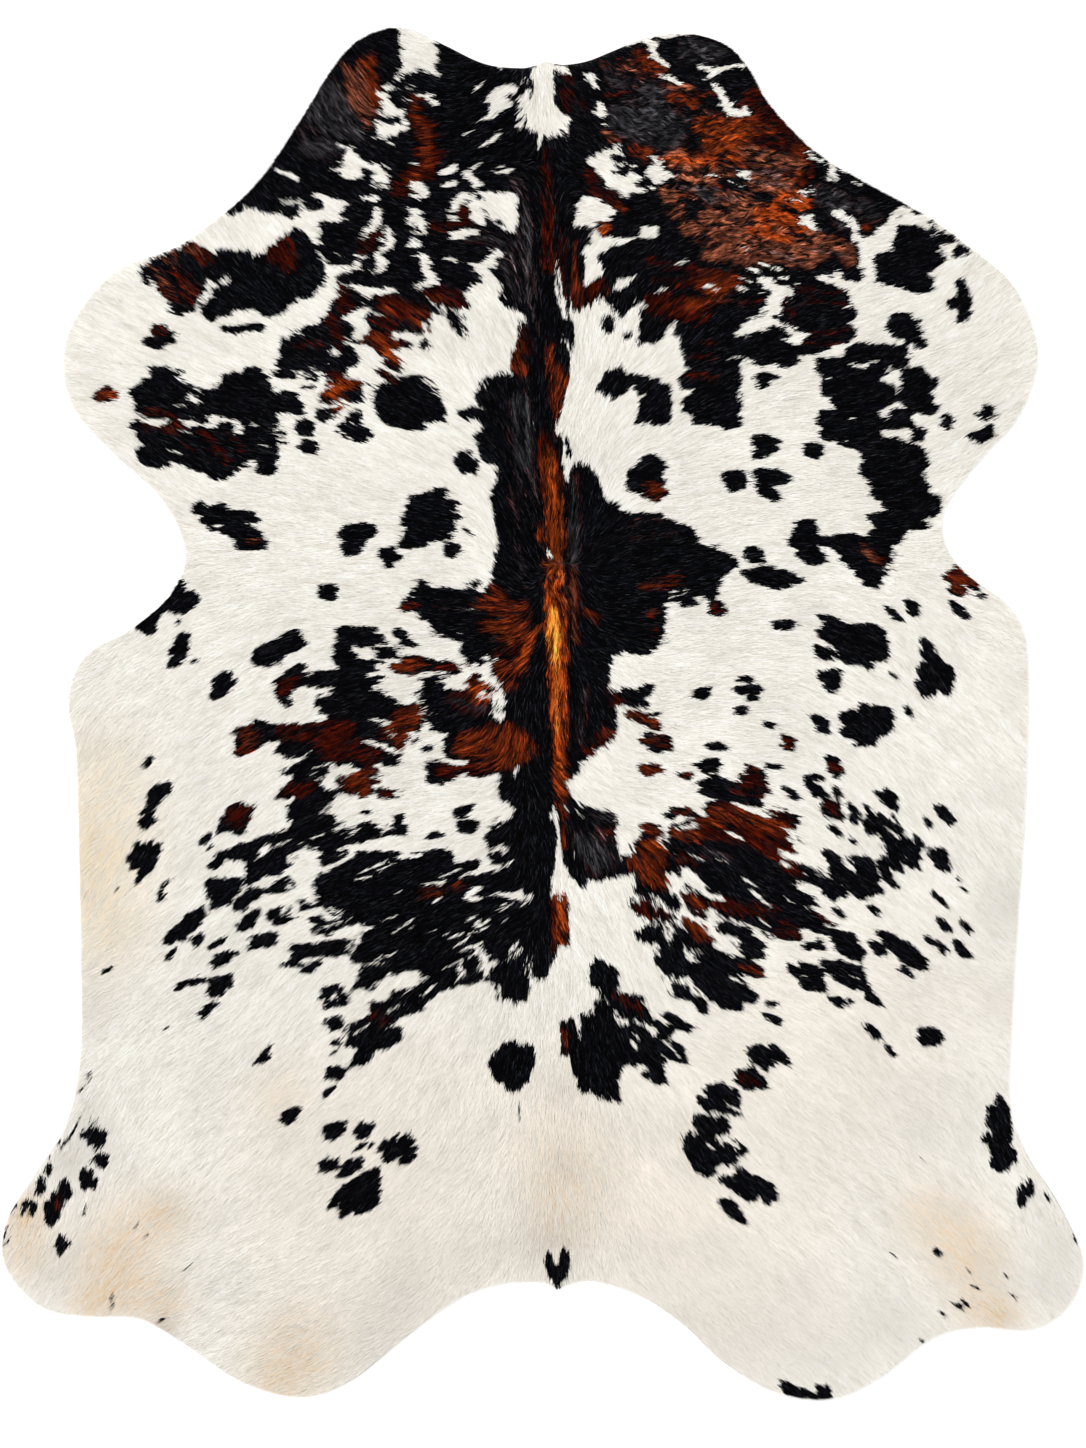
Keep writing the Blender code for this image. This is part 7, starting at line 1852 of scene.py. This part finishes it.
class CoatMap:
    """The coat's colours at every place, worked out from the strokes on a fine grid.

    pale is the colour that white hair has there, tint the one that brown hair has. dark is the
    share of dark hair, and tinted the share of the dark hair that is brown instead of black.
    """

    def __init__(self):
        self.columns, self.rows = PHOTO_WIDTH_PX * CELLS_PER_PX, PHOTO_HEIGHT_PX * CELLS_PER_PX
        self.x, self.y = np.meshgrid((np.arange(self.columns, dtype=np.float32) + 0.5) / CELLS_PER_PX,
                                     (np.arange(self.rows, dtype=np.float32) + 0.5) / CELLS_PER_PX)
        self.pale = np.empty((self.rows, self.columns, 3), np.float32)
        self.pale[:] = COAT_COLOURS["white"]
        self.tint = np.empty((self.rows, self.columns, 3), np.float32)
        self.tint[:] = COAT_COLOURS["mahogany"]
        self.dark = np.zeros((self.rows, self.columns), np.float32)
        self.tinted = np.zeros((self.rows, self.columns), np.float32)
        for stain in STAINS:
            self.stain(stain)
        for name, regions in COAT_STROKES:
            for region in regions.values():
                for stroke in region:
                    self.draw(stroke, name)

    def window(self, xs, ys, reach):
        """The part of the grid within reach of the points."""
        columns = [int((min(xs) - reach) * CELLS_PER_PX), int((max(xs) + reach) * CELLS_PER_PX) + 2]
        rows = [int((min(ys) - reach) * CELLS_PER_PX), int((max(ys) + reach) * CELLS_PER_PX) + 2]
        return slice(max(0, rows[0]), max(0, rows[1])), slice(max(0, columns[0]), max(0, columns[1]))

    def stain(self, stain):
        part = self.window([stain.x_px], [stain.y_px], STAIN_REACH * stain.radius_px)
        away = np.hypot(self.x[part] - stain.x_px, self.y[part] - stain.y_px) / stain.radius_px
        share = stain.strength * np.exp(-away ** 2)[..., None]
        self.pale[part] += (np.array(COAT_COLOURS[stain.colour]) - self.pale[part]) * share

    def draw(self, stroke, name):
        """One tapered stroke with round ends. Tints show only in the dark hair."""
        soft = TINT_SOFTNESS_PX if name in TINT_STRENGTHS else EDGE_SOFTNESS_PX
        part = self.window([stroke.x_px, stroke.end_x_px], [stroke.y_px, stroke.end_y_px],
                           max(stroke.radius_px, stroke.end_radius_px) + 2 * soft)
        share, away = beside_stretch(self.x[part], self.y[part], *stroke[:4])
        radius = stroke.radius_px + (stroke.end_radius_px - stroke.radius_px) * share
        cover = np.clip(0.5 - (away - radius) / (2 * soft), 0, 1)
        if name in TINT_STRENGTHS:
            self.tint[part] += (np.array(COAT_COLOURS[name]) - self.tint[part]) * cover[..., None]
            self.tinted[part] += (TINT_STRENGTHS[name] - self.tinted[part]) * cover
        elif name == "white":
            self.dark[part] *= 1 - cover
        else:
            self.dark[part] = np.maximum(self.dark[part], cover)
            self.tinted[part] *= 1 - cover

    def cell(self, x_px, y_px):
        column = np.clip((x_px * CELLS_PER_PX).astype(int), 0, self.columns - 1)
        row = np.clip((y_px * CELLS_PER_PX).astype(int), 0, self.rows - 1)
        return row, column

    def is_dark(self, x_px, y_px):
        return self.dark[self.cell(x_px, y_px)] > DARK_FROM

    def hair_colour(self, x_px, y_px, fine, broad, rng):
        """The colour of single hairs: white, black or brown, and each a little different.

        fine and broad are streaks along the hair, so that neighbours look alike.
        """
        cell = self.cell(x_px, y_px)
        own = rng.normal(0, 1, len(x_px))
        # A few black hairs get a painted sheen, lighter and bluer, for the light they catch
        painted_glint = rng.uniform(0, 1, len(x_px)) ** PAINTED_SHEEN_RARITY
        black = (np.exp(varied(BLACK_SHADE, fine, own)) * np.array(COAT_COLOURS["black"])
                 + painted_glint[:, None] * np.array(COAT_COLOURS["sheen"]))
        tint = self.tint[cell] * np.exp(varied(TINT_SHADE, fine, own))
        brown = brown_share(self.tinted[cell], fine, broad, own)[:, None]
        white = np.array(COAT_COLOURS["white"])
        stain = (self.pale[cell] - white) * np.clip(1 + varied(STAIN_SHADE, fine, own), *STAIN_LIMITS)
        # White hair gets painted shade in streaks, tan in the gaps of its strands, and painted highlights
        # on the strands
        strand_shade = np.clip(-varied(PALE_SHADE, fine, own), *PALE_SHADE_LIMITS)
        pale = (white + stain) * (1 - strand_shade * np.array(STRAND_SHADE_SPREAD))
        return np.where(self.is_dark(x_px, y_px)[:, None], black + (tint - black) * brown, pale)


def varied(shade, fine, own):
    return (shade.fine * fine + shade.own * own)[:, None]


def brown_share(tinted, fine, broad, own):
    """How brown each hair is, instead of black: most are either, in streaks."""
    streaked = BROWN_BROAD * broad + BROWN_FINE * fine + BROWN_OWN * own
    share = np.clip(tinted * BROWN_GAIN + BROWN_START + streaked, 0, 1)
    return share * np.clip(tinted * BROWN_RISE, 0, 1)


# --- how the hair lies -------------------------------------------------------------------------

class HairFlow:
    """The way the hair's tips point at every place, smoothed from the listed directions."""

    def __init__(self):
        self.low = -FLOW_MARGIN * FLOW_STEP_PX
        past = (FLOW_MARGIN + 1) * FLOW_STEP_PX
        xs = np.arange(self.low, PHOTO_WIDTH_PX + past, FLOW_STEP_PX)
        ys = np.arange(self.low, PHOTO_HEIGHT_PX + past, FLOW_STEP_PX)
        x, y = np.meshgrid(xs, ys, indexing="ij")
        total_x, total_y = np.zeros(x.shape), np.zeros(x.shape)
        for reading in FLOW_READINGS:
            away_squared = (x - reading.x_px) ** 2 + (y - reading.y_px) ** 2
            near = 1 / (away_squared + FLOW_BLEND_PX ** 2) ** FLOW_POWER
            total_x += near * cos(radians(reading.degrees))
            total_y -= near * sin(radians(reading.degrees))
        size = np.hypot(total_x, total_y)
        self.grid = np.stack([total_x / size, total_y / size], -1)

    def __call__(self, x_px, y_px):
        found = blended(self.grid, (x_px - self.low) / FLOW_STEP_PX, (y_px - self.low) / FLOW_STEP_PX)
        return found / np.linalg.norm(found, axis=1)[:, None]


def curl_at(x_px, y_px):
    """How far the hair's direction wanders there for being curly, in radians."""
    total = np.zeros(len(x_px))
    for curl in CURLS:
        away_squared = (x_px - curl.x_px) ** 2 + (y_px - curl.y_px) ** 2
        total += radians(curl.degrees) * np.exp(-away_squared / curl.radius_px ** 2)
    return total


# --- the skin ----------------------------------------------------------------------------------

def ridge_height(x, y):
    lift = np.zeros(np.shape(x))
    for start, end in zip(SPINE_RIDGE, SPINE_RIDGE[1:]):
        ends = to_metres(start.x_px, start.y_px) + to_metres(end.x_px, end.y_px)
        share, away = beside_stretch(x, y, *ends)
        crest = start.height + (end.height - start.height) * share
        lift = np.maximum(lift, crest * np.exp(-(away / RIDGE_HALF_WIDTH) ** 2))
    return lift


def skin_height(x, y, inside):
    """Where the hair's roots stand: level, but for the ridge, and rounding down to the cut edge."""
    rim = np.clip(inside / RIM_WIDTH, 0, 1)
    rim = rim * (2 - rim)
    return LEATHER_THICKNESS + COAT_BASE * rim + ridge_height(x, y) * rim


def lattice(step, low, high, jitter, rng):
    """Points on a shifted-row lattice over a box, each moved a little at random."""
    columns = int((high[0] - low[0]) / step) + 2
    rows = int((high[1] - low[1]) / (step * ROW_SHARE)) + 2
    column, row = np.meshgrid(np.arange(columns), np.arange(rows))
    x = low[0] + (column + 0.5 * (row % 2)) * step
    y = low[1] + row * step * ROW_SHARE
    moved_x = x + rng.uniform(-jitter, jitter, x.shape) * step
    moved_y = y + rng.uniform(-jitter, jitter, y.shape) * step
    return moved_x.ravel(), moved_y.ravel(), column.ravel(), row.ravel()


def filled(edge, distance, step, jitter, inset, rng):
    """Points and triangles within the edge loop. The edge's own points come first."""
    x, y, _, _ = lattice(step, edge.min(0), edge.max(0), jitter, rng)
    inner = distance(x, y) > step * inset
    points = [Vector(p) for p in edge] + [Vector(p) for p in zip(x[inner], y[inner])]
    places, _, faces, _, _, _ = delaunay_2d_cdt(points, [], [range(len(edge))], 1, TINY)
    return np.array([(p.x, p.y) for p in places]), np.array([list(f) for f in faces])


def hide_mesh(edge, distance, coat):
    """The sheet of leather under the hair: closed, with a flat flesh side on the floor."""
    rng = np.random.default_rng(SEED)
    top, top_faces = filled(edge, distance, SKIN_STEP, SKIN_JITTER, SKIN_INSET, rng)
    under, under_faces = filled(edge, distance, UNDER_STEP, UNDER_JITTER, UNDER_INSET, rng)
    count, below = len(edge), len(top)
    top_z = skin_height(top[:, 0], top[:, 1], distance(top[:, 0], top[:, 1]).clip(0))
    top_z[:count] = LEATHER_THICKNESS
    vertices = np.vstack([np.column_stack([top, top_z]), np.column_stack([under, np.zeros(len(under))])])
    around, onwards = np.arange(count), (np.arange(count) + 1) % count
    side = np.vstack([np.column_stack([around + below, onwards + below, onwards]),
                      np.column_stack([around + below, onwards, around])])
    faces = np.vstack([top_faces, under_faces[:, ::-1] + below, side])
    mesh = bpy.data.meshes.new("hide_skin")
    mesh.from_pydata(vertices.tolist(), [], faces.tolist())
    material_of = np.zeros(len(faces), np.int32)
    material_of[len(top_faces):len(top_faces) + len(under_faces)] = 1
    mesh.polygons.foreach_set("material_index", material_of)
    level = np.zeros(len(vertices))
    colours = coat.hair_colour(*to_px(vertices[:, 0], vertices[:, 1]), level, level, rng)
    # The skin takes the hair's colours, darkened as painted shade for the gaps among the hairs
    set_colour(mesh, colours * SKIN_PAINTED_SHADE)
    set_map(mesh, skin_map(edge, vertices[faces.ravel(), :2], len(top_faces)))
    for polygon in mesh.polygons:
        polygon.use_smooth = True
    mesh.update()
    return mesh


def skin_map(edge, corners, top_count):
    """The skin's bake layout: the top on the left half, and the underside and edge on the right."""
    low, high = edge.min(0), edge.max(0)
    places = (corners - low) / (high - low).max() * SKIN_MAP_SHARE
    places[3 * top_count:, 0] += SKIN_MAP_SHIFT
    return places


def set_colour(mesh, colour):
    attribute = mesh.attributes.new("coat", "FLOAT_COLOR", "POINT")
    opaque = np.column_stack([colour, np.ones(len(colour))]).astype(np.float32)
    attribute.data.foreach_set("color", opaque.ravel())


def set_map(mesh, places):
    mesh.uv_layers.new(name="OFBake").data.foreach_set("uv", places.astype(np.float32).ravel())


# --- the hair ----------------------------------------------------------------------------------

def hair_roots(edge, distance, area, rng):
    """Where the hairs of a layer grow, and each one's column and row in the lattice."""
    step = sqrt(area / (HAIRS_PER_LAYER * ROW_SHARE))
    x, y, column, row = lattice(step, edge.min(0) - step, edge.max(0) + step, HAIR_JITTER, rng)
    roots = np.stack([x, y, column, row])[:, distance(x, y) > HAIR_INSET]
    if roots.shape[1] > HAIRS_PER_LAYER:
        roots = roots[:, np.sort(rng.choice(roots.shape[1], HAIRS_PER_LAYER, replace=False))]
    return roots


def hair_directions(layer, x, y, curl, flow, rng):
    """Which way each hair lies: with the flow, in waves, in curls and a little its own way."""
    lean = bumps(x, y, WAVES) * radians(WAVE_DEG) + bumps(x, y, [CURL_WAVE]) * curl
    own = radians(layer.spread_deg) * rng.normal(0, 1, len(x))
    return turned(flow(*to_px(x, y)), lean + own)


def hair_lengths(layer, x, y, direction, curly, distance, coat, rng):
    """How long each hair is: shorter in curls, across a border of colours and at the cut edge."""
    length = layer.length * rng.uniform(*LENGTH_RANGE, len(x)) * (1 - CURL_SHORTENING * curly)
    root_dark = coat.is_dark(*to_px(x, y))
    tip_dark = coat.is_dark(*to_px(*moved(x, y, direction, length)))
    length = np.where(root_dark != tip_dark, length * BORDER_LENGTH, length)
    for _ in range(TRIMS):
        over = distance(*moved(x, y, direction, length)) < -OVERHANG
        length = np.where(over, length * TRIM_SHARE, length)
    return length


def hair_blades(layer, x, y, direction, across, length, distance, rng):
    """A thin pointed triangle for each hair, rolled a little about its length."""
    half_width = layer.width / 2 * rng.uniform(*WIDTH_RANGE, len(x))
    rise = half_width * np.sin(radians(ROLL_DEG) * rng.normal(0, 1, len(x)))
    root_z = skin_height(x, y, distance(x, y))
    tip_x, tip_y = moved(x, y, direction, length)
    tip_inside = distance(tip_x, tip_y)
    tip_z = skin_height(tip_x, tip_y, tip_inside.clip(0)) + layer.lift * rng.uniform(*LIFT_RANGE, len(x))
    tip_z -= np.clip(-tip_inside, 0, DROOP_REACH) * DROOP
    left = np.column_stack([*moved(x, y, across, half_width), root_z + rise])
    right = np.column_stack([*moved(x, y, across, -half_width), root_z - rise])
    return np.stack([left, right, np.column_stack([tip_x, tip_y, tip_z])], 1).reshape(-1, 3)


def hair_colours(x, y, direction, across, length, curly, coat, rng):
    """Each blade's colour at its two root corners and its tip."""
    seen_x, seen_y = to_px(*moved(x, y, direction, length * SEEN_SHARE))
    fine, crimp = streaks(x, y, direction, FINE_STREAK), streaks(x, y, direction, CRIMP_STREAK)
    fine = fine + (crimp - fine) * curly
    broad = streaks(x, y, direction, BROAD_STREAK)
    slip = SLIP_PX * streaks(x, y, direction, SLIP_STREAK) + rng.normal(0, OWN_SLIP_PX, len(x))
    side_slip = rng.normal(0, SIDE_SLIP_PX, len(x))
    seen_x = seen_x + direction[:, 0] * slip + across[:, 0] * side_slip
    seen_y = seen_y - direction[:, 1] * slip - across[:, 1] * side_slip
    patchy = 1 + bumps(x, y, PATCHES)[:, None]
    colour = np.clip(coat.hair_colour(seen_x, seen_y, fine, broad, rng) * patchy, *HAIR_LIMITS)
    return np.stack([colour * ROOT_SHADE, colour * ROOT_SHADE, colour], 1).reshape(-1, 3)


def hair_map(column, row):
    """The hair's bake layout: each blade in its own square, in the lattice's order."""
    cells = max(column.max(), row.max()) + 2
    low, high = HAIR_MAP_MARGIN, 1 - HAIR_MAP_MARGIN
    corners = ((low, low), (high, low), (0.5, high))
    return np.stack([np.column_stack([column + u, row + v]) for u, v in corners], 1) / cells


def triangles_mesh(name, vertices):
    """A mesh of single triangles, of three vertices each."""
    mesh = bpy.data.meshes.new(name)
    mesh.vertices.add(len(vertices))
    mesh.vertices.foreach_set("co", vertices.astype(np.float32).ravel())
    mesh.loops.add(len(vertices))
    mesh.loops.foreach_set("vertex_index", np.arange(len(vertices), dtype=np.int32))
    mesh.polygons.add(len(vertices) // 3)
    mesh.polygons.foreach_set("loop_start", np.arange(0, len(vertices), 3, dtype=np.int32))
    return mesh


def hair_mesh(layer, index, edge, distance, coat, flow, area):
    """One layer of lying hair, all over the hide."""
    rng = np.random.default_rng(SEED + LAYER_SEED_STEP * (index + 1))
    x, y, column, row = hair_roots(edge, distance, area, rng)
    curl = curl_at(*to_px(x, y))
    curly = np.clip(curl / radians(FULL_CURL_DEG), 0, 1)
    direction = hair_directions(layer, x, y, curl, flow, rng)
    across = np.stack([-direction[:, 1], direction[:, 0]], 1)
    length = hair_lengths(layer, x, y, direction, curly, distance, coat, rng)
    mesh = triangles_mesh(layer.name, hair_blades(layer, x, y, direction, across, length, distance, rng))
    colours = hair_colours(x, y, direction, across, length, curly, coat, rng)
    set_map(mesh, hair_map(column, row))
    set_colour(mesh, colours)
    mesh.update()
    mesh.validate()
    return mesh


# --- materials ---------------------------------------------------------------------------------

def new_material(name, roughness):
    material = bpy.data.materials.new(name)
    material.use_nodes = True
    shader = material.node_tree.nodes["Principled BSDF"]
    shader.inputs["Roughness"].default_value = roughness
    return material, shader


def coat_material(name, roughness, specular):
    """Takes its colour from what each vertex carries."""
    material, shader = new_material(name, roughness)
    shader.inputs["Specular IOR Level"].default_value = specular
    colour = material.node_tree.nodes.new("ShaderNodeAttribute")
    colour.attribute_name = "coat"
    material.node_tree.links.new(colour.outputs["Color"], shader.inputs["Base Color"])
    return material


def suede_material():
    material, shader = new_material("suede_underside", SUEDE_ROUGHNESS)
    shader.inputs["Base Color"].default_value = SUEDE_COLOUR
    shader.inputs["Sheen Weight"].default_value = SUEDE_SHEEN
    return material


def floor_material():
    material, shader = new_material("floor", FLOOR_ROUGHNESS)
    shader.inputs["Base Color"].default_value = FLOOR_COLOUR
    shader.inputs["Specular IOR Level"].default_value = FLOOR_SPECULAR
    return material


# --- the pieces ----------------------------------------------------------------------------------

def add_piece(mesh, *materials):
    piece = bpy.data.objects.new(mesh.name, mesh)
    for material in materials:
        mesh.materials.append(material)
    bpy.context.scene.collection.objects.link(piece)
    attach(piece, "root")
    return piece


def add_rug():
    outline, area = solid_outline()
    edge = rounded(outline)
    distance = EdgeDistance(edge[::EDGE_STRIDE])
    coat, flow = CoatMap(), HairFlow()
    skin = coat_material("skin_under_hair", SKIN_ROUGHNESS, SKIN_SPECULAR)
    hide = add_piece(hide_mesh(edge, distance, coat), skin, suede_material())
    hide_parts("hide")
    hair_on_hide = coat_material("hair_on_hide", HAIR_ROUGHNESS, HAIR_SPECULAR)
    for index, layer in enumerate(HAIR_LAYERS):
        mesh = hair_mesh(layer, index, edge, distance, coat, flow, area)
        add_piece(mesh, hair_on_hide)


# --- the floor, the light and the camera -------------------------------------------------------

def add_floor():
    bpy.ops.mesh.primitive_plane_add(size=FLOOR_SIZE, location=(0, 0, FLOOR_LEVEL))
    floor = bpy.context.object
    floor.name = "floor"
    floor.data.materials.append(floor_material())


def add_light(light):
    lamp = bpy.data.lights.new(light.name, "AREA")
    lamp.size = light.size
    lamp.energy = light.power
    holder = bpy.data.objects.new(light.name, lamp)
    holder.location = light.place
    holder.rotation_euler = (-Vector(light.place)).to_track_quat("-Z", "Y").to_euler()
    bpy.context.scene.collection.objects.link(holder)


def add_world():
    world = bpy.data.worlds.new("studio")
    world.use_nodes = True
    background = world.node_tree.nodes["Background"]
    background.inputs["Color"].default_value = WORLD_COLOUR
    background.inputs["Strength"].default_value = WORLD_STRENGTH
    bpy.context.scene.world = world


def add_camera():
    """Straight above the middle of the picture, and as high as the picture's height asks."""
    camera = bpy.data.cameras.new("camera")
    camera.lens = CAMERA_LENS
    camera.sensor_fit = "VERTICAL"
    camera.sensor_width = CAMERA_SENSOR
    camera.sensor_height = CAMERA_SENSOR
    viewer = bpy.data.objects.new("camera", camera)
    x, y = to_metres(PHOTO_WIDTH_PX / 2, PHOTO_HEIGHT_PX / 2)
    seen_height = PHOTO_HEIGHT_PX * METRES_PER_PX
    viewer.location = (x, y, LEATHER_THICKNESS + seen_height * CAMERA_LENS / CAMERA_SENSOR)
    bpy.context.scene.collection.objects.link(viewer)
    bpy.context.scene.camera = viewer


def main():
    add_rug()
    add_floor()
    for light in LIGHTS:
        add_light(light)
    add_world()
    add_camera()
    bpy.context.scene.view_settings.view_transform = "Standard"


main()
